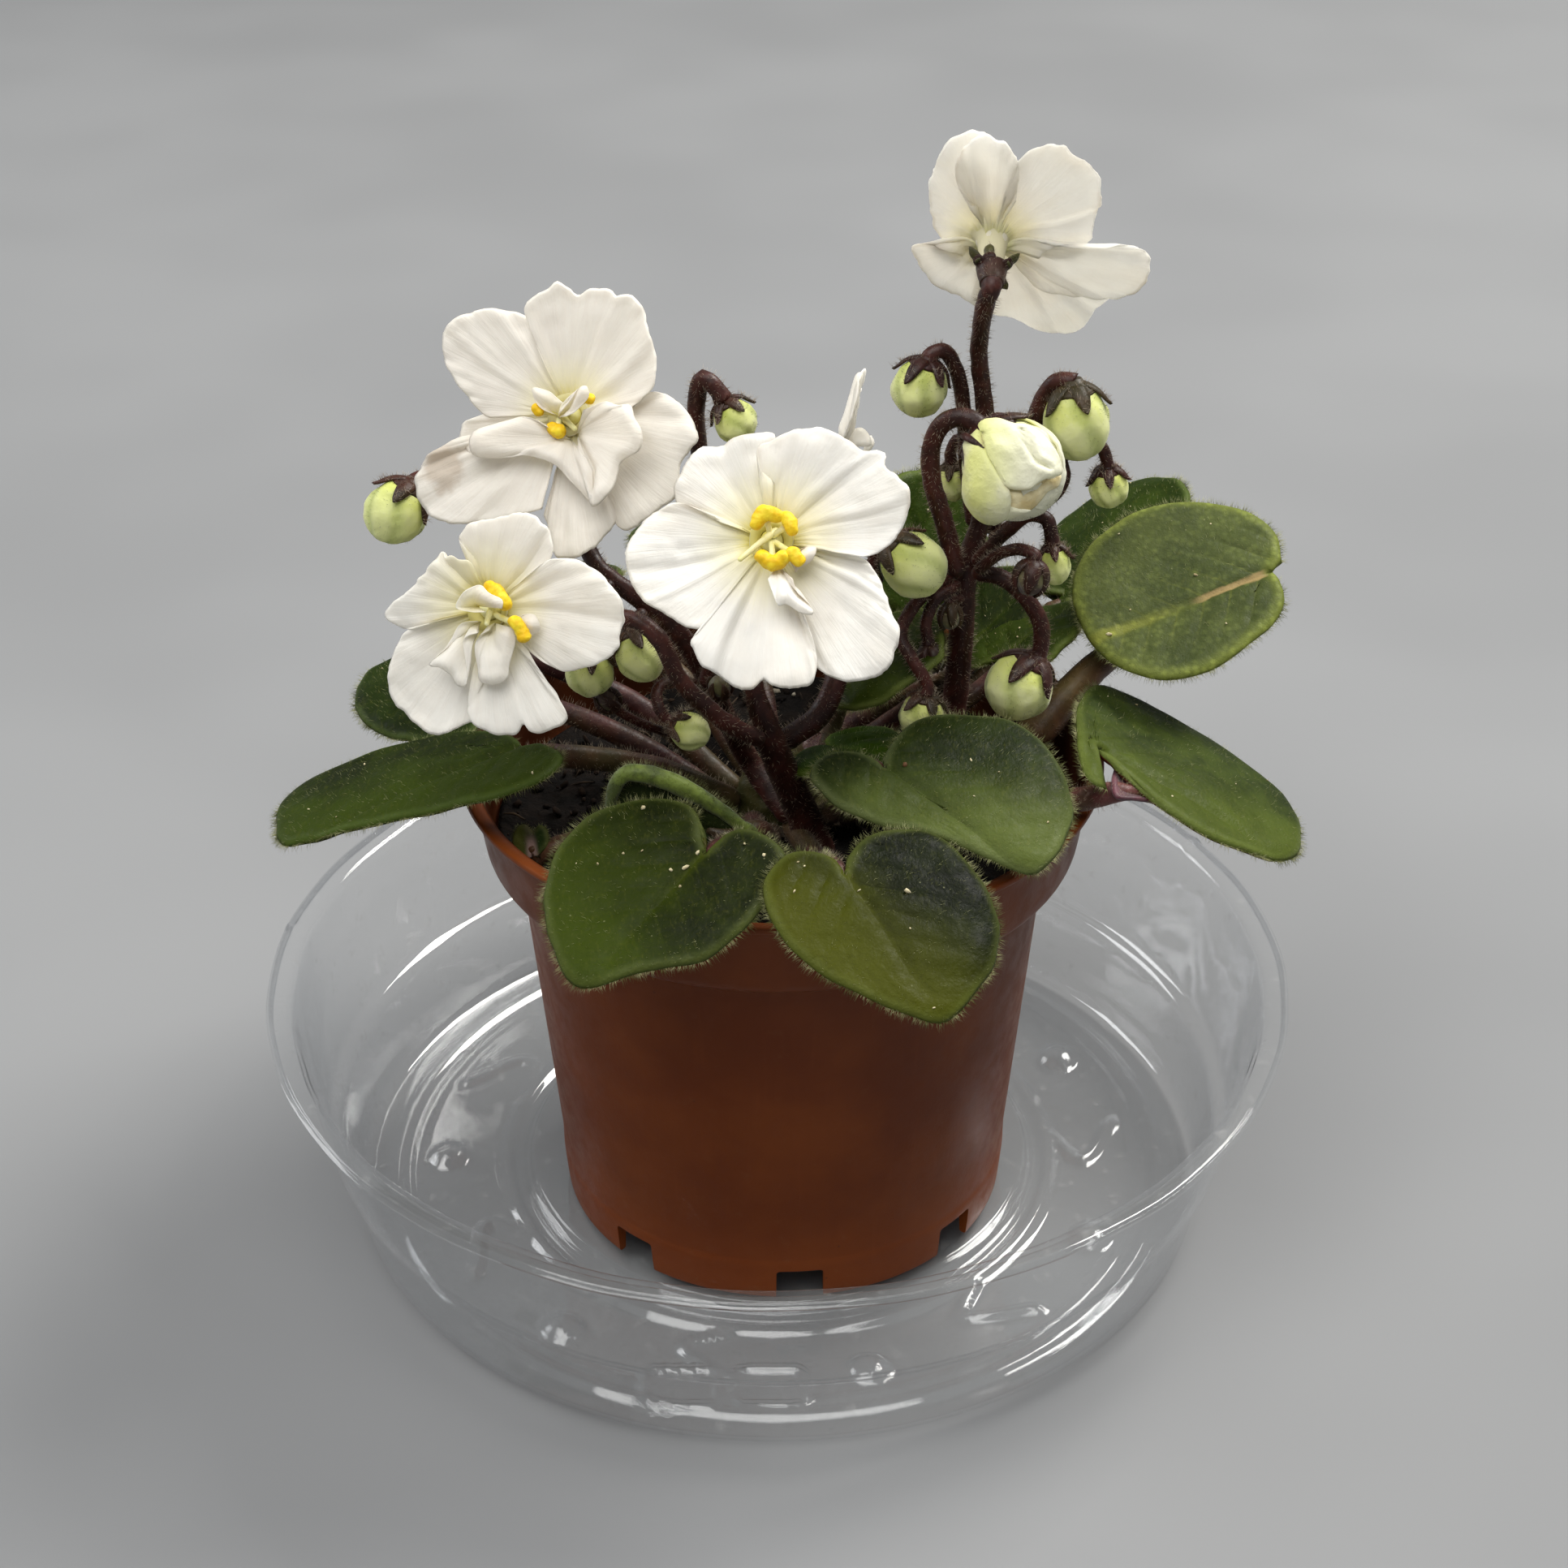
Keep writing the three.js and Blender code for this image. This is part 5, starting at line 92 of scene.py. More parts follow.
BUDS = [
    {'name': 'bud_far_left', 'pts': [[-20.77, -6.2, 84.79], [-26.47, -4.5, 84.52], [-31.76, -4.5, 87.69], [-34.73, -6.0, 90.97], [-36.44, -7.0, 92.17]], 'c': [-38.44, -8.0, 89.19], 'r': 3.15, 'el': 1.1, 'pr': 0.75},
    {'name': 'bud_top_small', 'pts': [[21.04, 3.8, 82.54], [20.15, 4.2, 89.92], [19.66, 3.0, 95.99], [18.76, 2.5, 100.28], [17.35, 2.0, 102.54], [15.93, 1.5, 101.86]], 'c': [14.98, 1.0, 98.85], 'r': 2.85, 'el': 1.1, 'pr': 0.8},
    {'name': 'bud_top_right', 'pts': [[23.19, 4.5, 81.43], [24.84, 6.0, 86.26], [26.97, 7.0, 90.99], [28.26, 7.0, 94.98], [29.65, 6.5, 97.22], [31.26, 6.0, 96.51]], 'c': [31.73, 5.5, 93.04], 'r': 3.5, 'el': 1.2, 'pr': 0.95},
    {'name': 'bud_far_right', 'pts': [[23.41, 3.2, 80.72], [27.41, 4.0, 83.59], [30.05, 4.5, 85.35], [30.78, 5.0, 87.1], [30.46, 5.5, 89.13], [32.31, 6.0, 90.87], [34.49, 6.0, 90.12], [35.29, 6.0, 88.14]], 'c': [35.62, 6.0, 85.3], 'r': 2.1, 'el': 1.1, 'pr': 0.65},
    {'name': 'bud_mid_left', 'pts': [[8.04, -4.5, 71.3], [9.5, -6.0, 77.9], [10.44, -6.5, 82.88], [11.89, -7.5, 85.42]], 'c': [14.4, -8.5, 83.32], 'r': 3.3, 'el': 1.1, 'pr': 0.8},
    {'name': 'bud_mid_right', 'pts': [[21.6, -2.4, 79.29], [23.93, -3.5, 79.28], [26.5, -4.5, 77.31], [28.13, -5.0, 74.29], [27.88, -5.5, 71.26]], 'c': [26.01, -6.0, 67.7], 'r': 3.55, 'el': 1.05, 'pr': 0.9},
    {'name': 'bud_low_mid', 'pts': [[18.59, -2.9, 78.98], [16.49, -4.5, 78.65], [14.08, -6.5, 76.72], [13.21, -8.5, 74.91], [14.38, -10.0, 73.12], [16.01, -11.0, 70.39]], 'c': [15.47, -11.5, 67.16], 'r': 2.4, 'el': 1.0, 'pr': 0.7},
    {'name': 'bud_mid_small', 'pts': [[21.35, -2.8, 81.02], [24.16, -3.5, 84.66], [26.56, -4.0, 86.86], [28.14, -4.5, 86.55], [28.77, -5.0, 84.65]], 'c': [29.12, -5.5, 81.8], 'r': 1.7, 'el': 1.3, 'pr': 0.75},
    {'name': 'bud_behind_stalk', 'pts': [[21.42, 4.2, 85.02], [20.3, 6.6, 88.82], [19.39, 6.6, 90.61], [18.62, 6.3, 89.71]], 'c': [18.97, 6.0, 85.88], 'r': 1.75, 'el': 1.2, 'pr': 0.6},
    {'name': 'bud_top_left', 'pts': [[-7.01, -9.3, 70.22], [-5.56, -7.5, 78.68], [-6.31, -6.0, 87.29], [-7.5, -6.0, 94.58], [-7.71, -6.5, 100.15], [-6.98, -7.0, 103.34], [-5.53, -7.5, 102.33]], 'c': [-3.78, -8.0, 99.22], 'r': 2.2, 'el': 1.05, 'pr': 0.9},
    {'name': 'bud_left_a', 'pts': [[-13.74, -9.8, 78.27], [-14.62, -11.0, 77.67], [-14.67, -12.0, 77.07]], 'c': [-13.76, -13.0, 75.14], 'r': 2.55, 'el': 1.1, 'pr': 0.7},
    {'name': 'bud_left_b', 'pts': [[-17.04, -9.0, 81.15], [-18.19, -10.5, 79.3], [-18.88, -11.5, 76.99]], 'c': [-19.06, -12.5, 72.96], 'r': 2.5, 'el': 1.05, 'pr': 0.65},
    {'name': 'bud_left_low', 'pts': [[-7.89, -8.9, 69.22], [-10.28, -12.0, 71.72], [-12.05, -14.0, 71.68], [-11.85, -15.5, 70.41], [-10.68, -16.0, 69.15]], 'c': [-8.68, -16.5, 68.18], 'r': 1.95, 'el': 1.1, 'pr': 0.6},
    {'name': 'bud_left_tiny', 'pts': [[-4.28, -9.2, 63.56], [-5.0, -10.2, 66.12], [-5.46, -11.0, 68.64]], 'c': [-5.67, -11.5, 70.67], 'r': 1.2, 'el': 1.1, 'pr': 0.55},
    {'name': 'bud_young_a', 'pts': [[19.01, -3.6, 78.38], [16.82, -5.5, 77.63], [15.89, -6.5, 75.48], [16.09, -7.0, 73.62]], 'c': [16.45, -7.5, 71.76], 'r': 1.35, 'el': 1.15, 'pr': 0.65},
    {'name': 'bud_young_b', 'pts': [[19.57, -3.4, 76.74], [18.41, -4.4, 77.06]], 'c': [18.43, -5.0, 75.45], 'r': 1.15, 'el': 1.2, 'pr': 0.5},
    {'name': 'bud_young_c', 'pts': [[21.54, -4.3, 80.83], [23.38, -6.0, 83.37], [25.42, -7.5, 84.58], [26.8, -8.5, 83.87]], 'c': [26.42, -9.0, 82.08], 'r': 1.7, 'el': 1.1, 'pr': 0.65},
    {'name': 'bud_young_d', 'pts': [[-10.76, -9.0, 63.45], [-13.65, -10.5, 65.5], [-15.85, -11.5, 67.36]], 'c': [-17.45, -12.0, 69.4], 'r': 1.2, 'el': 1.2, 'pr': 0.5},
    {'name': 'flower_opening', 'pts': [[19.07, -3.0, 80.17], [17.54, -3.5, 86.07], [16.23, -4.0, 90.92], [16.19, -4.5, 95.24], [17.27, -5.0, 97.61], [19.02, -5.5, 98.45], [20.57, -6.0, 97.96]], 'c': [24.4, -6.5, 93.17], 'r': 5.1, 'el': 1.08, 'pr': 1.0},
]
SLIVER = {
    'o': [8.14, 5.0, 95.13],
    'main': [(-0.68, -4.08), (-1.45, -2.64), (-0.85, -0.68), (-0.26, 1.36), (0.51, 3.49), (1.11, 3.57), (0.85, 1.36), (0.51, -0.85), (0.09, -3.06)],
    'low': [(0.17, -4.25), (-0.34, -3.4), (0.17, -2.47), (1.02, -2.3), (1.79, -3.06), (1.96, -4.17)],
}
CRUMBS = {
    'leaf_front_left': [(-0.77, -8.52, 0.3, 4), (3.6, -5.13, 0.18, 4), (0.75, -0.5, 0.28, 4), (2.72, -0.56, 0.32, 4), (3.86, -1.39, 0.2, 4), (-2.67, 2.61, 0.18, 4), (-2.81, 5.03, 0.24, 4)],
    'leaf_front': [(5.02, 4.21, 0.34, 4), (0.07, -5.63, 0.24, 4), (2.51, 0.29, 0.2, 4), (16.6, 0.1, 0.2, 4)],
    'leaf_front_right': [(1.75, 1.35, 0.28, 6)],
    'leaf_right_round': [(7.93, -2.93, 0.22, 4), (20.38, 0.2, 0.32, 4), (8.17, 4.47, 0.18, 4)],
}
FLAP = [(2.47, -0.87), (3.45, 0.95), (4.98, 1.04), (6.19, 0.63), (7.6, -0.5), (9.17, -1.38), (10.77, -1.63), (11.8, -1.95), (10.11, -2.54), (8.35, -3.17), (6.74, -3.97), (5.29, -5.09), (4.29, -5.9), (3.4, -6.25), (2.58, -4.08), (2.47, -0.87)]
PATCH_UL = (-11.38, -7.14)
SEPALS_TOP = [[19.81, 2.94, 113.35], [21.89, 4.2, 113.14], [24.81, 2.76, 112.72], [23.76, 3.23, 108.74], [22.13, 6.88, 110.3]]
OPEN = {
    'left': ((-3.76, 4.0), [(-4.82, 2.9), (-5.21, 2.33), (-5.21, 0.48), (-5.39, -2.15), (-5.26, -3.03), (-4.38, -4.71), (-3.06, -5.67), (-2.18, -5.81), (-1.03, -5.41), (-0.59, -3.83), (-0.77, -2.86), (-1.65, -1.63), (-2.09, -0.66), (-3.06, 1.19), (-3.41, 2.42)]),
    'upper': ((-3.59, 3.3), [(-3.85, 4.36), (-2.09, 4.75), (-0.33, 4.09), (1.25, 3.83), (2.66, 2.95), (3.72, 1.72), (4.42, 0.48), (4.55, -0.92), (2.92, -1.54), (1.96, -2.07), (1.34, -2.59), (0.2, -2.68), (-1.03, -2.51), (-1.56, -2.15), (-2.09, -0.92), (-3.06, 1.01)]),
    'inside': ((-2.0, -2.15), [(-0.77, -2.33), (1.34, -2.51), (2.84, -1.54), (4.51, -0.92), (4.33, -1.98), (3.28, -2.59), (2.66, -3.3), (1.52, -4.44), (0.2, -5.06), (-1.03, -5.23)]),
    'band': ((-2.44, -4.35), [(-0.77, -3.47), (-0.33, -3.87), (0.81, -4.35), (1.52, -4.46), (0.2, -5.08), (-1.03, -5.43), (-2.18, -5.81)]),
    'frame': ([1.0, 0.0066, -0.0037], [-0.0003, 0.5167, 0.8562], [0.0076, -0.8562, 0.5166]),
    'crease': [(0.37, 3.3), (0.9, 1.72), (1.78, 0.13), (3.01, -0.4)],
    'edge': [(-5.96, 5.06), (-4.91, 4.44), (-3.76, 4.53), (-3.41, 2.77)],
}


# ---------------------------------------------------------------- small maths
def unit(a):
    a = np.asarray(a, float)
    return a / np.maximum(np.linalg.norm(a, axis=-1, keepdims=True), 1e-12)


def smooth(x, a, b):
    t = np.clip((x - a) / (b - a), 0, 1)
    return t * t * (3 - 2 * t)


def _hash(ix, iy, iz, seed):
    h = (ix * 73856093) ^ (iy * 19349663) ^ (iz * 83492791) ^ (seed * 2654435761)
    h = h & 0xFFFFFFFF
    h = ((h ^ (h >> 15)) * 2246822519) & 0xFFFFFFFF
    h = ((h ^ (h >> 13)) * 3266489917) & 0xFFFFFFFF
    h = h ^ (h >> 16)
    return (h & 0xFFFF) / 32767.5 - 1.0


def noise(P, scale, seed=0):
    """Smooth value noise, -1 to 1, at points P (..., 2 or 3) with features about 1/scale mm across."""
    P = np.asarray(P, float)
    if P.shape[-1] == 2:
        P = np.concatenate([P, np.zeros(P.shape[:-1] + (1,))], -1)
    Q = P * scale + 1000.0
    i = np.floor(Q).astype(np.int64)
    f = Q - i
    f = f * f * (3 - 2 * f)
    out = 0
    for dx in (0, 1):
        for dy in (0, 1):
            for dz in (0, 1):
                w = (f[..., 0] if dx else 1 - f[..., 0]) * (f[..., 1] if dy else 1 - f[..., 1]) * (f[..., 2] if dz else 1 - f[..., 2])
                out = out + w * _hash(i[..., 0] + dx, i[..., 1] + dy, i[..., 2] + dz, seed)
    return out


def catmull(points, n, even=True):
    """n points on a smooth curve through the given ones, and where each lies among them."""
    P = np.asarray(points, float)
    keep = [0] + [i for i in range(1, len(P)) if np.linalg.norm(P[i] - P[i - 1]) > 1e-6]
    P = P[keep]
    idx = np.asarray(keep, float)
    if len(P) == 2:
        t = np.linspace(0, 1, n)[:, None]
        return P[0] * (1 - t) + P[1] * t, idx[0] + (idx[1] - idx[0]) * t[:, 0]
    Q = np.vstack([2 * P[0] - P[1], P, 2 * P[-1] - P[-2]])
    out, par = [], []
    m = max(6, int(math.ceil(3 * n / (len(P) - 1))))
    for i in range(1, len(Q) - 2):
        p0, p1, p2, p3 = Q[i - 1], Q[i], Q[i + 1], Q[i + 2]
        t0 = 0.0
        t1 = t0 + np.linalg.norm(p1 - p0) ** 0.5
        t2 = t1 + np.linalg.norm(p2 - p1) ** 0.5
        t3 = t2 + np.linalg.norm(p3 - p2) ** 0.5
        f = np.linspace(0, 1, m, endpoint=False)
        t = (t1 + (t2 - t1) * f)[:, None]
        a1 = (t1 - t) / (t1 - t0) * p0 + (t - t0) / (t1 - t0) * p1
        a2 = (t2 - t) / (t2 - t1) * p1 + (t - t1) / (t2 - t1) * p2
        a3 = (t3 - t) / (t3 - t2) * p2 + (t - t2) / (t3 - t2) * p3
        b1 = (t2 - t) / (t2 - t0) * a1 + (t - t0) / (t2 - t0) * a2
        b2 = (t3 - t) / (t3 - t1) * a2 + (t - t1) / (t3 - t1) * a3
        out.append((t2 - t) / (t2 - t1) * b1 + (t - t1) / (t2 - t1) * b2)
        par.append(idx[i - 1] + (idx[i] - idx[i - 1]) * f)
    out.append(P[-1:])
    par.append(idx[-1:])
    dense, par = np.vstack(out), np.concatenate(par)
    s = np.concatenate([[0], np.cumsum(np.linalg.norm(np.diff(dense, axis=0), axis=1))])
    q = np.linspace(0, s[-1], n)
    return np.stack([np.interp(q, s, dense[:, k]) for k in range(dense.shape[1])], 1), np.interp(q, s, par)


def seg_dist(P, A, B):
    """Distance from each point of P to the nearest of the segments A to B, in the plane."""
    d = B - A
    L = np.maximum((d * d).sum(1), 1e-9)
    w = np.clip(((P[:, None] - A[None]) * d[None]).sum(2) / L, 0, 1)
    q = A[None] + w[..., None] * d[None]
    return np.sqrt(((P[:, None] - q) ** 2).sum(2)).min(1)


# ---------------------------------------------------------------- mesh building
ATTRS = ("edge", "lu", "lv", "side", "rad", "ray")


class Build:
    """Collects triangles, a material number for each, and point attributes, and makes one object of them."""

    def __init__(self):
        self.v, self.f, self.m, self.n = [], [], [], 0
        self.a = {k: [] for k in ATTRS}

    def add(self, V, F, mat=0, **attrs):
        V = np.asarray(V, float).reshape(-1, 3)
        F = np.asarray(F, np.int64).reshape(-1, 3)
        good = (F[:, 0] != F[:, 1]) & (F[:, 1] != F[:, 2]) & (F[:, 2] != F[:, 0])
        F = F[good]
        self.v.append(V)
        self.f.append(F + self.n)
        self.m.append(np.full(len(F), mat, np.int32) if np.ndim(mat) == 0 else np.asarray(mat, np.int32)[good])
        for k in ATTRS:
            x = attrs.get(k, 0.0)
            self.a[k].append(np.full(len(V), float(x)) if np.ndim(x) == 0 else np.asarray(x, float).ravel())
        self.n += len(V)

    def make(self, name, mats, nodes, sharp=None):
        V = np.vstack(self.v) * 0.001
        F = np.vstack(self.f)
        me = bpy.data.meshes.new(name)
        me.from_pydata(V.tolist(), [], F.tolist())
        for m in mats:
            me.materials.append(m)
        me.polygons.foreach_set("material_index", np.concatenate(self.m))
        me.polygons.foreach_set("use_smooth", np.ones(len(F), bool))
        for k in ATTRS:
            x = np.concatenate(self.a[k]).astype(np.float32)
            if np.any(x != 0):
                me.attributes.new(k, "FLOAT", "POINT").data.foreach_set("value", x)
        me.update()
        if sharp:
            me.set_sharp_from_angle(angle=math.radians(sharp))
        ob = bpy.data.objects.new(name, me)
        bpy.context.scene.collection.objects.link(ob)
        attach(ob, "root")
        if nodes:
            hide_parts(*nodes)
        COUNT[name] = len(F)
        return ob


COUNT = {}


def ring_skin(rings, caps=True):
    """Triangles over a stack of closed rings (n, sides, 3), with a middle point in each end."""
    R = np.asarray(rings, float)
    n, s = R.shape[:2]
    V = R.reshape(-1, 3)
    i = np.arange(n - 1)[:, None] * s
    j = np.arange(s)[None]
    k = (j + 1) % s
    a, b, c, d = i + j, i + k, i + s + j, i + s + k
    F = np.concatenate([np.stack([a, b, d], -1).reshape(-1, 3), np.stack([a, d, c], -1).reshape(-1, 3)])
    if caps:
        V = np.vstack([V, R[0].mean(0), R[-1].mean(0)])
        jj = np.arange(s)
        kk = (jj + 1) % s
        e = (n - 1) * s
        F = np.vstack([F, np.stack([np.full(s, n * s), kk, jj], 1), np.stack([np.full(s, n * s + 1), e + jj, e + kk], 1)])
    return V, F


def frames(C):
    """Tangent, side and third direction along a line, turned as little as possible."""
    T = unit(np.gradient(C, axis=0))
    N = np.zeros_like(C)
    a = np.array([0, 0, 1.0]) if abs(T[0, 2]) < 0.9 else np.array([1.0, 0, 0])
    N[0] = unit(np.cross(T[0], a))
    for i in range(1, len(C)):
        v = N[i - 1] - T[i] * (N[i - 1] @ T[i])
        N[i] = unit(v)
    return T, N, np.cross(T, N)


def tube(pts, rad, sides=12, steps=40, round0=False, round1=False, rough=0.0, seed=1, flat=1.0):
    """Closed tube. Returns V, F, the centre line, its frames and its radii."""
    C, par = catmull(pts, steps + 1)
    r = np.interp(par, np.arange(len(rad)), rad)
    T, N, Bn = frames(C)
    cs, rs, ts, ns, bs = list(C), list(r), list(T), list(N), list(Bn)
    if round1:
        for a in (25, 50, 72):
            cs.append(C[-1] + T[-1] * r[-1] * math.sin(math.radians(a)))
            rs.append(r[-1] * math.cos(math.radians(a)))
            ts.append(T[-1]); ns.append(N[-1]); bs.append(Bn[-1])
    if round0:
        for a in (25, 50, 72):
            cs.insert(0, C[0] - T[0] * r[0] * math.sin(math.radians(a)))
            rs.insert(0, r[0] * math.cos(math.radians(a)))
            ts.insert(0, T[0]); ns.insert(0, N[0]); bs.insert(0, Bn[0])
    cs, rs, ns, bs = np.array(cs), np.array(rs), np.array(ns), np.array(bs)
    ang = np.arange(sides) / sides * 2 * np.pi
    dirs = np.cos(ang)[None, :, None] * ns[:, None] + flat * np.sin(ang)[None, :, None] * bs[:, None]
    rings = cs[:, None] + rs[:, None, None] * dirs
    if rough:
        rings = rings + dirs * (rough * noise(rings, 0.9, seed) + 0.5 * rough * noise(rings, 2.2, seed + 1))[..., None]
    V, F = ring_skin(rings)
    return V, F, (C, T, N, Bn, r)


def spikes(B, P, D, length, width, mat, rg, curl=0.0):
    """Fine closed three-sided hairs at points P pointing along D."""
    P, D = np.asarray(P, float), unit(D)
    k = len(P)
    if not k:
        return
    ref = np.where(np.abs(D[:, 2:3]) < 0.9, np.array([[0, 0, 1.0]]), np.array([[1.0, 0, 0]]))
    a = unit(np.cross(D, ref))
    b = np.cross(D, a)
    turn = rg.uniform(0, 2 * np.pi, k)
    L = length * rg.uniform(0.55, 1.15, k)
    tip = P + D * L[:, None]
    V = np.zeros((k, 4, 3))
    for i in range(3):
        t = turn + i * 2 * np.pi / 3
        V[:, i] = P - D * 0.08 + width * (np.cos(t)[:, None] * a + np.sin(t)[:, None] * b)
    V[:, 3] = tip
    base = np.arange(k)[:, None] * 4
    F = np.concatenate([base + [0, 1, 3], base + [1, 2, 3], base + [2, 0, 3], base + [0, 2, 1]])
    B.add(V.reshape(-1, 3), F, mat)


def tube_hairs(B, info, n, length, width, mat, rg, lo=0.0, hi=1.0, lean=0.25):
    C, T, N, Bn, r = info
    t = rg.uniform(lo, hi, n) * (len(C) - 1)
    i = np.minimum(t.astype(int), len(C) - 2)
    f = (t - i)[:, None]
    c = C[i] * (1 - f) + C[i + 1] * f
    a = rg.uniform(0, 2 * np.pi, n)[:, None]
    d = np.cos(a) * N[i] + np.sin(a) * Bn[i]
    rr = (r[i] * (1 - f[:, 0]) + r[i + 1] * f[:, 0])[:, None]
    D = d + lean * rg.normal(size=(n, 3)) + 0.1 * T[i]
    spikes(B, c + d * rr * 0.97, D, length, width, mat, rg)


ICO_V = None


def lumps(B, P, size, mat, rg, squash=1.0, up=None):
    """Small irregular twenty-faced crumbs."""
    global ICO_V, ICO_F
    if ICO_V is None:
        g = (1 + 5 ** 0.5) / 2
        ICO_V = unit(np.array([(-1, g, 0), (1, g, 0), (-1, -g, 0), (1, -g, 0), (0, -1, g), (0, 1, g), (0, -1, -g), (0, 1, -g), (g, 0, -1), (g, 0, 1), (-g, 0, -1), (-g, 0, 1)]))
        ICO_F = np.array([(0, 11, 5), (0, 5, 1), (0, 1, 7), (0, 7, 10), (0, 10, 11), (1, 5, 9), (5, 11, 4), (11, 10, 2), (10, 7, 6), (7, 1, 8), (3, 9, 4), (3, 4, 2), (3, 2, 6), (3, 6, 8), (3, 8, 9), (4, 9, 5), (2, 4, 11), (6, 2, 10), (8, 6, 7), (9, 8, 1)])
    P = np.asarray(P, float).reshape(-1, 3)
    k = len(P)
    size = np.broadcast_to(size, (k,))
    A = rg.normal(size=(k, 3))
    A = unit(A)
    ref = unit(np.cross(A, unit(rg.normal(size=(k, 3)))))
    C = np.cross(A, ref)
    s = size[:, None] * np.stack([rg.uniform(0.7, 1.5, k), rg.uniform(0.6, 1.0, k), rg.uniform(0.35, 0.8, k) * squash], 1)
    w = ICO_V[None] * (1 + 0.22 * rg.uniform(-1, 1, (k, 12, 1)))
    V = P[:, None] + w[..., 0:1] * (A * s[:, 0:1])[:, None] + w[..., 1:2] * (ref * s[:, 1:2])[:, None] + w[..., 2:3] * (C * s[:, 2:3])[:, None]
    F = (np.arange(k)[:, None, None] * 12 + ICO_F[None]).reshape(-1, 3)
    flip = np.cross(A, ref)
    B.add(V.reshape(-1, 3), F, mat)


def blade(B, o, e1, e2, n, rim, base, height, h0, w, nt, power=1.35, mat=0, rad_shift=0.0, **extra):
    """A thin closed blade: rays from base to each point of the rim, both faces, with a rounded edge. Returns its middle surface for hairs."""
    o, e1, e2, n = (np.asarray(x, float) for x in (o, e1, e2, n))
    base = np.asarray(base, float)
    ns = len(rim)
    tau = np.linspace(0, 1, nt + 1)[1:]
    t = 1 - (1 - tau) ** power
    UV = base + (rim - base)[None] * t[:, None, None]
    out = np.vstack([base[None], rim])
    D = seg_dist(UV.reshape(-1, 2), out, np.roll(out, -1, 0)).reshape(nt, ns)
    D[-1, :] = 0
    D[:, 0] = 0
    D[:, -1] = 0
    S = np.broadcast_to(np.linspace(0, 1, ns)[None], (nt, ns))
    Tt = np.broadcast_to(t[:, None], (nt, ns))
    z, du, dv = height(UV[..., 0], UV[..., 1], D, Tt, S)
    U, Vv = UV[..., 0] + du, UV[..., 1] + dv
    mid = o + U[..., None] * e1 + Vv[..., None] * e2 + z[..., None] * n
    z0, _, _ = height(np.array([[base[0]]]), np.array([[base[1]]]), np.array([[0.0]]), np.array([[0.0]]), np.array([[0.5]]))
    centre = o + base[0] * e1 + base[1] * e2 + float(z0[0, 0]) * n
    full = np.concatenate([np.broadcast_to(centre, (1, ns, 3)), mid])
    gS = np.gradient(full, axis=1)[1:]
    gT = np.gradient(full, axis=0)[1:]
    nr = unit(np.cross(gS, gT))
    sgn = np.sign((nr * n).sum(-1))
    maj = 1.0 if (sgn * (gS ** 2).sum(-1)).sum() >= 0 else -1.0
    nr = nr * maj
    blend = smooth(Tt, 0.02, 0.12)[..., None]
    nr = unit(nr * blend + n * (1 - blend))
    h = h0 * np.sqrt(np.clip(1 - (1 - np.minimum(D / w, 1)) ** 2, 0, 1))
    top, bot = mid + nr * h[..., None], mid - nr * h[..., None]
    inner = np.ones((nt, ns), bool)
    inner[-1, :] = False
    inner[:, 0] = False
    inner[:, -1] = False
    idt = np.arange(nt * ns).reshape(nt, ns) + 1
    idb = idt.copy()
    idb[inner] = 1 + nt * ns + np.arange(inner.sum())
    V = np.vstack([centre[None], top.reshape(-1, 3), bot[inner]])

    def quads(I, flip):
        a, b, c, d = I[:-1, :-1], I[1:, :-1], I[1:, 1:], I[:-1, 1:]
        f = np.concatenate([np.stack([a, b, c], -1).reshape(-1, 3), np.stack([a, c, d], -1).reshape(-1, 3)])
        tri = np.stack([np.zeros(ns - 1, int), I[0, :-1], I[0, 1:]], 1)
        f = np.vstack([f, tri])
        return f[:, ::-1] if flip else f

    x, y = out[:, 0], out[:, 1]
    area = 0.5 * (x * np.roll(y, -1) - y * np.roll(x, -1)).sum()
    ccw = area * float(np.cross(e1, e2) @ n) > 0
    F = np.vstack([quads(idt, not ccw), quads(idb, ccw)])

    def at(top_values, bottom_values, first):
        return np.concatenate([[first], top_values.ravel(), bottom_values[inner]])

    rad = np.hypot(U, Vv) + rad_shift * (0.45 + 0.55 * Tt)
    attrs = dict(
        edge=at(D, D, 0.0), lu=at(U, U, base[0]), lv=at(Vv, Vv, base[1]),
        side=at(np.ones_like(D), np.zeros_like(D), 1.0), rad=at(rad, rad, float(np.hypot(*base))),
        ray=at(S, S, 0.5),
    )
    attrs.update(extra)
    B.add(V, F, mat, **attrs)
    return dict(mid=mid, nr=nr, D=D, h=h, gS=gS, gT=gT, n=n, centre=centre, UV=UV)


def scatter(S, k, rg, weight=None):
    """k random places on a blade's surface: point on the middle surface, normal, half thickness, outward direction,
    distance from the edge.
    """
    area = np.linalg.norm(np.cross(S["gS"], S["gT"]), axis=-1)
    if weight is not None:
        area = area * weight
    area = area[:-1, :-1]
    p = (area / area.sum()).ravel()
    c = rg.choice(len(p), size=k, p=p)
    i, j = np.unravel_index(c, area.shape)
    a, b = rg.uniform(0, 1, (2, k))
    w = [(1 - a) * (1 - b), a * (1 - b), (1 - a) * b, a * b]
    ii, jj = [i, i + 1, i, i + 1], [j, j, j + 1, j + 1]

    def mix(X):
        return sum(w[q][..., None] * X[ii[q], jj[q]] if X.ndim == 3 else w[q] * X[ii[q], jj[q]] for q in range(4))

    outd = unit(mix(S["gT"]))
    return mix(S["mid"]), unit(mix(S["nr"])), mix(S["h"]), outd, mix(S["D"])


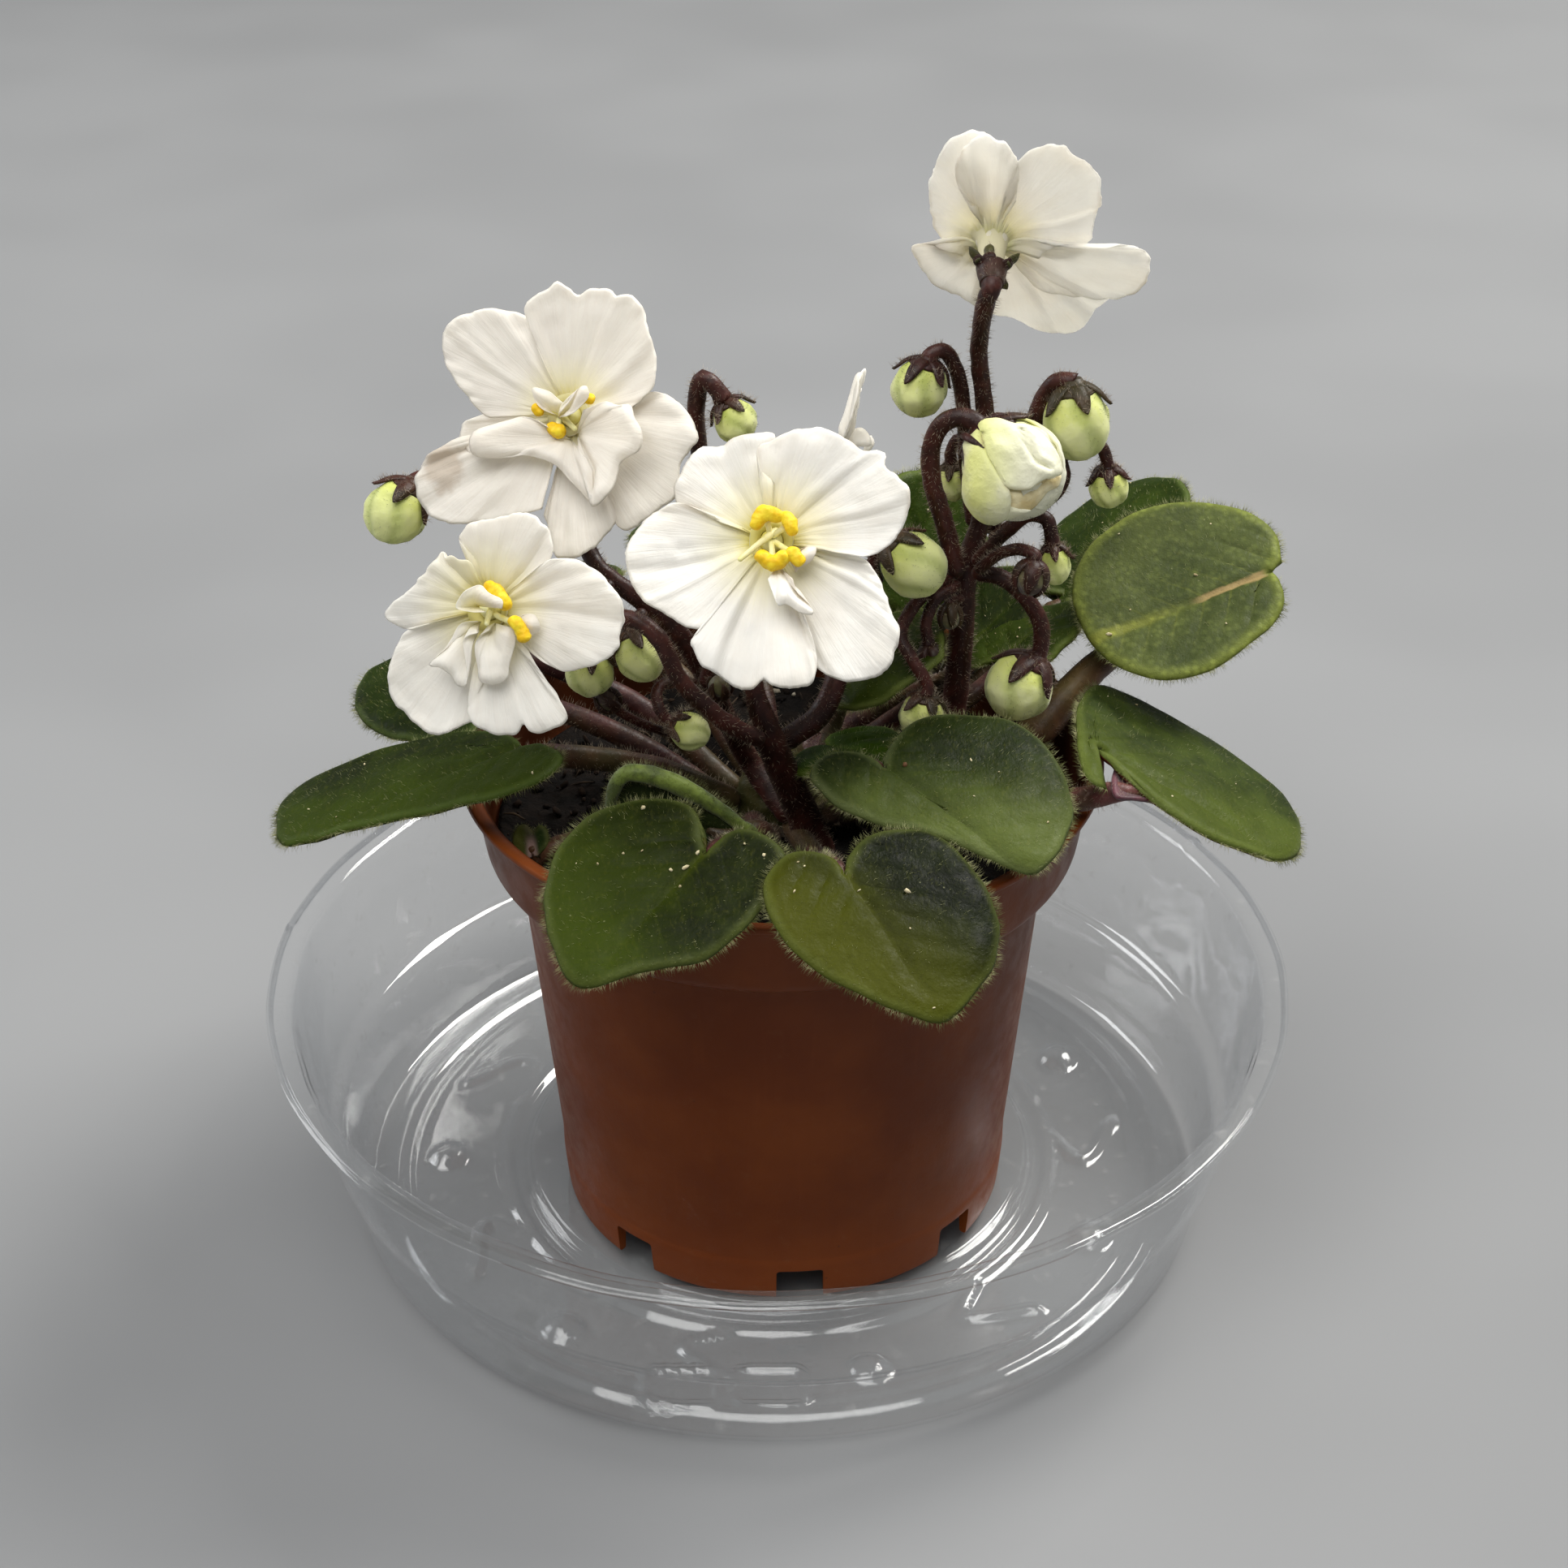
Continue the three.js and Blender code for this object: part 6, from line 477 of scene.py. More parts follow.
# ---------------------------------------------------------------- material building
def LIN(h):
    h = h.lstrip("#")
    c = [int(h[i:i + 2], 16) / 255 for i in (0, 2, 4)]
    return tuple((x / 12.92 if x <= 0.04045 else ((x + 0.055) / 1.055) ** 2.4) for x in c) + (1.0,)


lin = LIN


class Graph:
    def __init__(self, name):
        self.m = bpy.data.materials.new(name)
        self.m.use_nodes = True
        self.t = self.m.node_tree
        self.t.nodes.clear()
        self.coord = self.node("ShaderNodeTexCoord").outputs["Object"]

    def put(self, socket, v):
        if isinstance(v, bpy.types.NodeSocket):
            self.t.links.new(v, socket)
        elif v is not None:
            socket.default_value = v

    def node(self, kind, ins=None, **props):
        n = self.t.nodes.new(kind)
        for k, v in props.items():
            setattr(n, k, v)
        for k, v in (ins or {}).items():
            self.put(n.inputs[k], v)
        return n

    def attr(self, name):
        return self.node("ShaderNodeAttribute", attribute_name=name).outputs["Fac"]

    def noise(self, scale, detail=2.0, rough=0.5, distort=0.0, vec=None):
        n = self.node("ShaderNodeTexNoise", {"Vector": vec or self.coord, "Scale": scale, "Detail": detail, "Roughness": rough, "Distortion": distort})
        return n.outputs[0]

    def voronoi(self, scale, vec=None, feature="F1", out=0, rand=1.0):
        n = self.node("ShaderNodeTexVoronoi", {"Vector": vec or self.coord, "Scale": scale, "Randomness": rand}, feature=feature)
        return n.outputs[out]

    def math(self, op, a, b=None, c=None, clamp=False):
        n = self.node("ShaderNodeMath", operation=op, use_clamp=clamp)
        self.put(n.inputs[0], a)
        if b is not None:
            self.put(n.inputs[1], b)
        if c is not None:
            self.put(n.inputs[2], c)
        return n.outputs[0]

    def ramp(self, x, lo, hi, a=0.0, b=1.0, smooth_step=True):
        n = self.node("ShaderNodeMapRange", {"Value": x, "From Min": lo, "From Max": hi, "To Min": a, "To Max": b})
        n.interpolation_type = "SMOOTHSTEP" if smooth_step else "LINEAR"
        return n.outputs[0]

    def mix(self, f, a, b, mode="MIX"):
        n = self.node("ShaderNodeMix", data_type="RGBA", blend_type=mode)
        self.put(n.inputs[0], f)
        self.put(n.inputs[6], a)
        self.put(n.inputs[7], b)
        return n.outputs[2]

    def combine(self, x, y, z=0.0):
        return self.node("ShaderNodeCombineXYZ", {"X": x, "Y": y, "Z": z}).outputs[0]

    def scaled(self, sx, sy, sz, rot=(0, 0, 0), vec=None):
        return self.node("ShaderNodeMapping", {"Vector": vec or self.coord, "Scale": (sx, sy, sz), "Rotation": rot}).outputs[0]

    def bump(self, height, strength, dist, normal=None):
        n = self.node("ShaderNodeBump", {"Height": height, "Strength": strength, "Distance": dist})
        if normal is not None:
            self.put(n.inputs["Normal"], normal)
        return n.outputs[0]

    def shade(self, color, rough=0.5, normal=None, **sockets):
        n = self.node("ShaderNodeBsdfPrincipled", {"Base Color": color, "Roughness": rough})
        if normal is not None:
            self.put(n.inputs["Normal"], normal)
        for k, v in sockets.items():
            self.put(n.inputs[k.replace("_", " ")], v)
        return n.outputs[0]

    def done(self, shader):
        o = self.node("ShaderNodeOutputMaterial")
        self.t.links.new(shader, o.inputs["Surface"])
        return self.m


def leaf_material(name, dark, light, lit_side_colour, margin, mid, under, mgw=1.4, grad=(0.0, 0.0), g0=0.0, g1=1.0, gamt=0.0,
                  mgamt=0.6, midamt=0.5, midlen=9.0, seed=0.0, speck=0.3, sheen=0.0, veins=0.16, scar=None,
                  tone=(0.37, 0.28, 0.08), backwards=False, frost=0.14, pebble=0.0):
    g = Graph(name)

    def lin(h, share=1.0):
        c = LIN(h)
        return tuple(c[q] * (1 + (tone[q] - 1) * share) for q in range(3)) + (1.0,)

    lu, lv, edge, side = g.attr("lu"), g.attr("lv"), g.attr("edge"), g.attr("side")
    off = g.node("ShaderNodeVectorMath", {0: g.coord, 1: (seed, seed * 0.7, 0)}, operation="ADD").outputs[0]
    n1 = g.noise(170, 3, 0.55, vec=off)
    n2 = g.noise(900, 3, 0.6, vec=off)
    base = g.mix(g.ramp(n1, 0.35, 0.68), lin(dark), lin(light))
    base = g.mix(g.ramp(n2, 0.45, 0.75, 0.0, 0.45), base, lin(light))
    # painted light: one side of the blade made lighter, towards the third colour, as the light falls on it
    gr = g.math("ADD", g.math("MULTIPLY", lu, grad[0]), g.math("MULTIPLY", lv, grad[1]))
    gr = g.math("ADD", gr, g.math("MULTIPLY", g.math("SUBTRACT", n1, 0.5), (g1 - g0) * 0.5))
    base = g.mix(g.math("MULTIPLY", g.ramp(gr, g0, g1), gamt), base, lin(lit_side_colour))
    # pale margin
    en = g.math("ADD", edge, g.math("MULTIPLY", g.math("SUBTRACT", n2, 0.5), 0.5))
    base = g.mix(g.math("MULTIPLY", g.ramp(en, 0.0, mgw, 1.0, 0.0), mgamt), base, lin(margin, 0.75))
    # main vein, fading to the tip
    av = g.math("ABSOLUTE", lv)
    if backwards:
        mv = g.math("MULTIPLY", g.ramp(av, 0.2, 1.15, 1.0, 0.0), g.ramp(lu, midlen * 0.5, midlen * 1.35, 0.0, 1.0))
    else:
        mv = g.math("MULTIPLY", g.ramp(av, 0.15, 0.95, 1.0, 0.0), g.ramp(lu, 1.0, midlen, 1.0, 0.15))
    base = g.mix(g.math("MULTIPLY", mv, midamt), base, lin(mid))
    # side veins
    w = g.math("SUBTRACT", lu, g.math("MULTIPLY", av, 0.8))
    wv = g.math("ABSOLUTE", g.math("SUBTRACT", g.math("FRACT", g.math("MULTIPLY", w, 1 / 3.3)), 0.5))
    sv = g.math("MULTIPLY", g.ramp(wv, 0.0, 0.10, 1.0, 0.0), g.ramp(av, 0.3, 6.5, 1.0, 0.0))
    base = g.mix(g.math("MULTIPLY", sv, veins), base, lin(mid))
    # frosting of very fine hairs
    fr = g.noise(2600, 2, 0.7, vec=g.scaled(1, 0.35, 1, vec=off))
    base = g.mix(g.ramp(fr, 0.50, 0.78, 0.0, frost), base, lin("#828a48", 0.75))
    vor = g.voronoi(520, vec=off)
    base = g.mix(g.math("MULTIPLY", g.ramp(vor, 0.02, 0.07, 1.0, 0.0), speck), base, lin("#b9bc93", 0.4))
    if pebble:
        pb = g.ramp(g.voronoi(1150, vec=off), 0.1, 0.6, 0.0, 1.0)
        base = g.mix(g.math("MULTIPLY", pb, pebble), base, lin("#1c2a12"))
    if scar:
        su, w0, l0, l1 = scar
        sn = g.math("ADD", g.math("ABSOLUTE", g.math("SUBTRACT", lv, g.math("MULTIPLY", g.math("SUBTRACT", n2, 0.5), 0.5))), 0.0)
        s = g.math("MULTIPLY", g.ramp(sn, w0 * 0.5, w0, 1.0, 0.0), g.math("MULTIPLY", g.ramp(lu, l0, l0 + 1.2), g.ramp(lu, l1 - 2.5, l1, 1.0, 0.0)))
        base = g.mix(g.math("MULTIPLY", s, su), base, LIN("#8f7a52"))
    un = g.mix(g.ramp(n1, 0.3, 0.7), lin(under), lin(light))
    base = g.mix(g.ramp(side, 0.4, 0.6), g.mix(0.75, un, lin(under)), base)
    h = g.math("ADD", g.math("MULTIPLY", n2, 0.6), g.math("MULTIPLY", g.noise(1900, 2, 0.6, vec=off), 0.5))
    h = g.math("ADD", h, g.math("MULTIPLY", fr, 0.25))
    nb = g.bump(h, 0.55, 0.00028)
    sh = g.shade(base, g.ramp(n2, 0.3, 0.7, 0.42, 0.6), nb, Specular_IOR_Level=0.07, Sheen_Weight=sheen, Sheen_Roughness=0.45, Sheen_Tint=LIN("#c9cf8e"))
    return g.done(sh)


def hair_material(name, color, tip, through=0.45):
    g = Graph(name)
    c = g.mix(g.ramp(g.noise(600, 0), 0.35, 0.65), lin(color), lin(tip))
    a = g.shade(c, 0.45, Specular_IOR_Level=0.4)
    b = g.node("ShaderNodeBsdfTranslucent", {"Color": c}).outputs[0]
    m = g.node("ShaderNodeMixShader", {0: through, 1: a, 2: b})
    return g.done(m.outputs[0])


def stem_material(name, dark, red, pale, amount=0.3, green=None, gamt=0.0):
    g = Graph(name)
    n1 = g.noise(320, 4, 0.6)
    n2 = g.noise(1500, 3, 0.65)
    c = g.mix(g.ramp(n1, 0.35, 0.7), lin(dark), lin(red))
    c = g.mix(g.ramp(n2, 0.52, 0.78, 0.0, amount), c, lin(pale))
    if green:
        c = g.mix(g.math("MULTIPLY", g.ramp(g.noise(90, 2), 0.4, 0.65), gamt), c, lin(green))
    nb = g.bump(g.math("ADD", n2, n1), 0.4, 0.0002)
    return g.done(g.shade(c, g.ramp(n2, 0.3, 0.7, 0.36, 0.55), nb, Specular_IOR_Level=0.28, Sheen_Weight=0.08, Sheen_Roughness=0.4, Sheen_Tint=lin("#c8b9a8")))


def petal_material(name, white="#fffdf7", shade="#efe6dc", throat="#e9dd55", inner="#faf4c8", throat_r=2.6, pink=0.14, cream=0.75, patch=None, brown=0.0, glow=0.42, tissue=0.35):
    g = Graph(name)
    rad, ray, edge, side, lu, lv = (g.attr(k) for k in ("rad", "ray", "edge", "side", "lu", "lv"))
    polar = g.combine(g.math("MULTIPLY", ray, 1.0), g.math("MULTIPLY", rad, 0.004), 0.0)
    vein = g.noise(46, 3, 0.6, 0.4, vec=polar)
    fine = g.noise(120, 2, 0.6, 0.2, vec=polar)
    n1 = g.noise(110, 3, 0.55)
    cell = g.noise(2200, 2, 0.6)
    c = g.mix(g.ramp(n1, 0.35, 0.7), lin(white), lin("#fbf7ee"))
    c = g.mix(g.math("MULTIPLY", g.ramp(vein, 0.42, 0.66), pink), c, lin(shade))
    c = g.mix(g.ramp(fine, 0.55, 0.72, 0.0, 0.07), c, lin("#e9e1d6"))
    c = g.mix(g.ramp(cell, 0.55, 0.75, 0.0, 0.08), c, lin("#ffffff"))
    if brown:
        sp = g.math("MULTIPLY", g.ramp(edge, 0.05, 0.5, 1.0, 0.0), g.ramp(g.noise(150, 2), 0.56, 0.66))
        c = g.mix(g.math("MULTIPLY", sp, brown), c, lin("#b49a6c"))
    if patch:
        pu, pv, pr, col, amt = patch
        du, dv = g.math("SUBTRACT", lu, pu), g.math("SUBTRACT", lv, pv)
        dist = g.math("SQRT", g.math("ADD", g.math("MULTIPLY", du, du), g.math("MULTIPLY", dv, dv)))
        dist = g.math("ADD", dist, g.math("MULTIPLY", g.math("SUBTRACT", g.noise(500, 3), 0.5), pr * 1.2))
        c = g.mix(g.math("MULTIPLY", g.ramp(dist, pr * 0.5, pr, 1.0, 0.0), amt), c, lin(col))
    rr = g.math("ADD", rad, g.math("MULTIPLY", g.math("SUBTRACT", vein, 0.5), 2.0))
    c = g.mix(g.ramp(rr, throat_r * 0.8, throat_r * 2.9, cream, 0.0), c, lin(inner))
    c = g.mix(g.ramp(rr, throat_r * 0.45, throat_r * 1.35, 0.9, 0.0), c, lin(throat))
    h = g.math("ADD", g.math("MULTIPLY", vein, 0.6), g.math("MULTIPLY", fine, 0.15))
    h = g.math("ADD", h, g.math("MULTIPLY", cell, 0.12))
    h = g.math("ADD", h, g.math("MULTIPLY", g.noise(820, 2, 0.55), tissue))
    nb = g.bump(h, 0.35, 0.0004)
    p = g.shade(c, 0.5, nb, Specular_IOR_Level=0.35, Sheen_Weight=0.15, Sheen_Roughness=0.4)
    t = g.node("ShaderNodeBsdfTranslucent", {"Color": c, "Normal": nb}).outputs[0]
    m = g.node("ShaderNodeMixShader", {0: glow, 1: p, 2: t})
    return g.done(m.outputs[0])


def two_tone(name, a, b, scale, rough=0.5, bump=0.0002, bscale=1500, spec=0.4, detail=3, sheen=0.0, lo=0.38, hi=0.66, strength=0.4):
    g = Graph(name)
    c = g.mix(g.ramp(g.noise(scale, detail, 0.6), lo, hi), lin(a), lin(b))
    nb = g.bump(g.noise(bscale, 3, 0.6), strength, bump)
    return g.done(g.shade(c, rough, nb, Specular_IOR_Level=spec, Sheen_Weight=sheen))


# ---------------------------------------------------------------- leaves
M_HAIR = hair_material("leaf_hair", "#4b4f26", "#828454", 0.5)
M_HAIR_D = hair_material("stalk_hair", "#8d7a68", "#d2c4ae", 0.5)
M_HAIR_P = hair_material("margin_hair", "#7c8049", "#c0c090", 0.5)
M_CRUMB = two_tone("pale_crumb", "#d8cda8", "#9a8a63", 900, 0.7)
M_PETIOLE = stem_material("leaf_stalk", "#2a1415", "#4b2622", "#7a5d49", 0.3, "#5a5a2c", 0.35)
M_FLAP = two_tone("leaf_underside", "#3a1620", "#5b2a35", 420, 0.5, 0.0002, 1600, 0.35, sheen=0.2)
M_ROLL = two_tone("rolled_margin", "#3d4a12", "#66762a", 380, 0.5, 0.00025, 1500, 0.35, sheen=0.2)
M_FLECK = two_tone("brown_fleck", "#5a3a1e", "#7a5630", 700, 0.7)
M_PETIOLE_R = stem_material("petiole_low", "#3a1e1c", "#6a3a38", "#a08478", 0.3, "#5a5a2a", 0.3)
M_PETIOLE_B = stem_material("leaf_stalk_brown", "#4a3022", "#6d4a33", "#94795a", 0.4, "#6b6a38", 0.5)

LEAF_LOOK = {
    # name: material options
    "leaf_front_left": dict(dark="#1e2e10", light="#33481c", lit_side_colour="#54752c", margin="#7d9160", mid="#5f7c2a", under="#56633a", grad=(0.9, -0.5), g0=1, g1=16, gamt=0.8, mgw=1.3, mgamt=0.45),
    "leaf_front": dict(tone=(0.17, 0.145, 0.04), dark="#1c2c0c", light="#33481a", lit_side_colour="#90a233", margin="#a2b36a", mid="#93a436", under="#6c7a3f", grad=(0.45, -1.0), g0=-5.0, g1=9.0, gamt=0.95, mgw=1.3, mgamt=0.35, midamt=0.5, midlen=8, veins=0.12),
    "leaf_front_right": dict(tone=(0.50, 0.40, 0.26), dark="#20310f", light="#33481f", lit_side_colour="#6b864c", margin="#7f9268", mid="#4c652f", under="#4a5736", grad=(0.8, -0.7), g0=-2, g1=12, gamt=0.9, mgw=1.2, mgamt=0.45, midamt=0.3),
    "leaf_right_round": dict(dark="#46572f", light="#5d703d", lit_side_colour="#74893f", margin="#94a850", mid="#9aac4c", under="#7a8b4d", grad=(1.0, 0.0), g0=15, g1=22, gamt=0.1, mgw=1.8, mgamt=0.7, midamt=0.75, midlen=15, backwards=True, scar=(0.85, 0.75, 0.3, 10.5), tone=(0.80, 0.66, 0.62), pebble=0.35),
    "leaf_right_low": dict(dark="#2f4420", light="#4c6631", lit_side_colour="#6d8a3b", margin="#7d9355", mid="#5c7634", under="#6b2f38", grad=(0.2, -1.0), g0=-10, g1=4, gamt=0.5, mgw=1.2, mgamt=0.5, tone=(0.50, 0.40, 0.24)),
    "leaf_left_long": dict(dark="#2b4220", light="#40602a", lit_side_colour="#5d8733", margin="#6d8c4c", mid="#547a30", under="#53683a", tone=(0.31, 0.22, 0.08), grad=(0.3, 1.0), g0=-6, g1=6, gamt=0.6, mgw=1.1, mgamt=0.5),
    "leaf_left_back": dict(dark="#22371d", light="#33502a", lit_side_colour="#4c6b35", margin="#6d8757", mid="#456030", under="#4c5f38", mgw=1.0),
    "leaf_back_upright": dict(dark="#3a5a2f", light="#4e7340", lit_side_colour="#6a8f4d", margin="#84a060", mid="#5d8040", under="#58703f", mgw=1.2),
    "leaf_back_right": dict(dark="#33502c", light="#46683a", lit_side_colour="#5d8144", margin="#7d9a5c", mid="#587a3c", under="#536b3e", mgw=1.0),
    "leaf_inner_right": dict(dark="#2c4426", light="#41603a", lit_side_colour="#5f7f4a", margin="#7d9460", mid="#5a7a3c", under="#5c2630", mgw=0.9),
    "leaf_behind_front": dict(dark="#161d0b", light="#232c12", lit_side_colour="#39451d", margin="#5c6a2c", mid="#232c12", under="#3d4a20", mgw=0.6, mgamt=0.4, frost=0.1, speck=0.1, sheen=0.05, tone=(1.0, 1.0, 1.0)),
    "leaf_inner_low": dict(dark="#3c5a2c", light="#527438", lit_side_colour="#6c8e46", margin="#86a05c", mid="#648440", under="#4d5f38", mgw=0.9),
    "leaf_inner_front": dict(dark="#3a5f25", light="#4c7a2c", lit_side_colour="#639636", margin="#7fa050", mid="#5f8c34", under="#5c4030", mgw=0.9),
    "leaf_inner_up": dict(dark="#37521f", light="#4c6a2c", lit_side_colour="#658a3a", margin="#93ab6a", mid="#5f7c3a", under="#4a1f27", mgw=0.9),
    "leaf_small_left": dict(dark="#1d2814", light="#2f3f1c", lit_side_colour="#6a6a2e", margin="#66683a", mid="#b5938c", under="#4a3f24", grad=(0.0, 1.0), g0=-0.2, g1=1.6, gamt=0.8, mgw=0.7, mgamt=0.6, midamt=0.9, midlen=2.6, veins=0.0, tone=(1.0, 1.0, 1.0)),
}
DEFAULT_LOOK = dict(dark="#2f4723", light="#456231", lit_side_colour="#5f7f3c", margin="#7b9259", mid="#57733a", under="#566540", mgw=1.1)


def petiole_path(L):
    """Centre line and radii of the stalk, kept under the blade where it joins."""
    o, e1, e2, n = (np.array(L[q], float) for q in ("o", "e1", "e2", "n"))
    P = [np.array(q, float) for q in L["pet"]]
    r = list(L["pr"])
    name = L["name"]
    if name == "leaf_right_round":
        r = list(np.interp(np.linspace(0, 1, len(P)), np.linspace(0, 1, 7), [2.2, 2.05, 1.9, 1.6, 1.15, 0.8, 0.5]))
    a, b = L["a"], L["b"]
    d = P[-1] - o
    u, v = float(d @ e1), float(d @ e2)
    if name == "leaf_right_round":
        u, v = 3.0, 0.0
    elif name in ("leaf_behind_front", "leaf_small_left"):
        return np.array(P), r[:-1] + [r[-1] * 0.6]
    elif abs(v) < 1.5:
        u, v = 1.2, 0.0
    out, rad = [], []
    for q, rr_ in zip(P[:-1], r[:-1]):
        d = q - o
        w, uu, vv = float(d @ n), float(d @ e1), float(d @ e2)
        if np.hypot(uu, vv) < 6.5 and w > -8:
            bow = np.clip(a * uu * uu + b * vv * vv, -6, 6) if uu > 0 else 0.0
            low = bow - (rr_ + 0.3)
            if w > low:
                q = q + n * (low - w)
        out.append(q)
        rad.append(rr_)
    out.append(o + e1 * u + e2 * v + n * (np.clip(a * u * u + b * v * v, -6, 6) - 0.85))
    rad.append(0.55 * r[-1])
    return np.array(out), rad


def rolled_edge(B, rg):
    """The rolled, downy upper margin of the leaf behind the front one."""
    C = [(-16.7, -24, 62.6), (-16.5, -24, 64.2), (-15.9, -24, 66.4), (-14.8, -24, 67.55), (-12.9, -24, 67.5), (-10.6, -24, 66.7), (-7.7, -24, 65.0), (-5.2, -24, 63.1), (-3.4, -24, 61.4), (-2.2, -23.4, 60.2)]
    V, F, info = tube(C, [0.45, 0.62, 0.72, 0.86, 0.98, 1.02, 0.95, 0.74, 0.62, 0.7], 18, 60, round0=True, round1=True, rough=0.07, seed=77)
    B.add(V, F, 5, edge=2.0)
    tube_hairs(B, info, 1100, 0.62, 0.022, 1, rg)


def under_flap(B, L, rg):
    """The maroon underside showing beside the sinus, a little below the blade."""
    o, e1, e2, n = (np.array(L[q], float) for q in ("o", "e1", "e2", "n"))
    rim, _ = catmull(FLAP, 48)
    base = np.mean(np.array(FLAP), 0)

    def height(u, v, D, t, S):
        z = np.clip(L["a"] * u * u + L["b"] * v * v, -6, 6)
        P = np.stack([u, v], -1)
        return z - 0.75 - 0.35 * smooth(D, 0, 1.2) + 0.08 * noise(P, 0.9, 55), np.zeros_like(u), np.zeros_like(u)

    S = blade(B, o, e1, e2, n, rim, base, height, 0.3, 0.5, 12, mat=5)
    P, N, h, outd, D = scatter(S, 160, rg)
    spikes(B, P + N * h[:, None] * 0.9, N + 0.4 * rg.normal(size=P.shape), 0.4, 0.02, 3, rg)


def make_leaf(L, k):
    name = L["name"]
    rg = np.random.default_rng(100 + k)
    B = Build()
    rear = name.startswith("leaf_rear")
    size = max(p[0] for p in L["rim"])
    small = size < 6
    ns, nt = (78, 22) if size > 15 else ((58, 16) if not small else (40, 10))
    if rear:
        ns, nt = 66, 18
    rim, _ = catmull(L["rim"], ns)
    s = np.linspace(0, 1, ns)
    # slightly scalloped, uneven margin
    rr = np.linalg.norm(rim, axis=1, keepdims=True)
    wob = 0.05 * np.sin(s * np.pi * 2 * 15 + 1.3 * k) + 0.08 * noise(rim, 0.45, k)
    fade = np.clip(np.minimum(s, 1 - s) * 8, 0, 1)
    rim = rim * (1 + (wob * fade)[:, None] / np.maximum(rr, 2.0) * (0.4 if small else 1.0))
    a, b = L["a"], L["b"]
    flat = 0.35 if small else 1.0
    sc = 3.3

    def height(u, v, D, t, S):
        z = np.clip(a * u * u + b * v * v, -6, 6)
        mid = np.exp(-(v / 0.75) ** 2) * smooth(u, -0.5, 1.5) * (1 - smooth(u, size * 0.7, size * 0.98))
        z = z - 0.42 * flat * mid
        w = (u - 0.8 * np.abs(v)) / sc
        f = np.abs(w - np.floor(w) - 0.5)
        inside = smooth(D, 0.3, 2.0)
        vein = np.exp(-(f / 0.13) ** 2) * (1 - smooth(np.abs(v), 4.5, 8.5)) * inside * (1 - mid)
        z = z - 0.16 * flat * vein
        P = np.stack([u, v], -1)
        z = z + 0.30 * flat * noise(P, 0.16, 7 * k) * smooth(D, 0, 2)
        z = z + 0.085 * flat * inside * noise(P, 0.62, 3 + 7 * k) + 0.055 * flat * inside * noise(P, 1.15, 4 + 7 * k)
        lip = 1 - smooth(D, 0.0, 1.6)
        z = z + lip * (0.13 * np.sin(S * 2 * np.pi * 5.5 + k) + 0.07 * np.sin(S * 2 * np.pi * 11 + 2 * k)) * flat * smooth(t, 0.2, 0.8) - 0.22 * lip * flat * smooth(t, 0.3, 0.9)
        return z, np.zeros_like(u), np.zeros_like(u)

    h0 = 0.5 if not small else 0.3
    Sf = blade(B, L["o"], L["e1"], L["e2"], L["n"], rim, (0.0, 0.0), height, h0, 0.75 if not small else 0.4, nt)
    # hairs over the top, and longer ones round the edge
    amount = 0.55 if rear else 1.0
    kk = int(9.0 * amount * size * size ** 0.75) if not small else 90
    kk = min(kk, 1500) // 3
    P, N, h, outd, D = scatter(Sf, kk, rg)
    spikes(B, P + N * h[:, None] * 0.9, N * 0.75 + outd * 0.5 + 0.3 * rg.normal(size=P.shape), 0.62 * (0.6 if small else 1), 0.018, 7, rg)
    P, N, h, outd, D = scatter(Sf, kk // 4, rg)
    spikes(B, P - N * h[:, None] * 0.9, -N * 0.8 + outd * 0.4 + 0.3 * rg.normal(size=P.shape), 0.6 * (0.6 if small else 1), 0.018, 1, rg)
    edge = Sf["mid"][-1]
    tang = unit(np.gradient(edge, axis=0))
    oute = unit(np.cross(tang, Sf["nr"][-1]))
    oute = oute * np.sign((oute * unit(edge - Sf["mid"][-3])).sum(-1, keepdims=True))
    seg = np.linalg.norm(np.diff(edge, axis=0), axis=1)
    L_edge = seg.sum()
    m = int(L_edge * (16 if not rear else 8))
    q = rg.uniform(0, 1, m)
    cum = np.concatenate([[0], np.cumsum(seg)]) / L_edge
    pos = np.interp(q, cum, np.arange(ns))
    i = np.minimum(pos.astype(int), ns - 2)
    f = (pos - i)[:, None]
    pe = edge[i] * (1 - f) + edge[i + 1] * f
    oe = unit(oute[i] * (1 - f) + oute[i + 1] * f)
    ne = Sf["nr"][-1][i]
    spikes(B, pe, oe + ne * rg.normal(0.15, 0.55, m)[:, None] + 0.25 * rg.normal(size=(m, 3)), 0.95 * (0.45 if small else 1), 0.024, 7, rg)
    # stalk
    pp, pr = petiole_path(L)
    V, F, info = tube(pp, pr, 14, 34 if not rear else 24, round0=True, round1=True, rough=0.06, seed=k)
    B.add(V, F, 2)
    ln = np.linalg.norm(np.diff(info[0], axis=0), axis=1).sum()
    tube_hairs(B, info, int(ln * (26 if not rear else 12)), 0.85, 0.018, 3, rg)
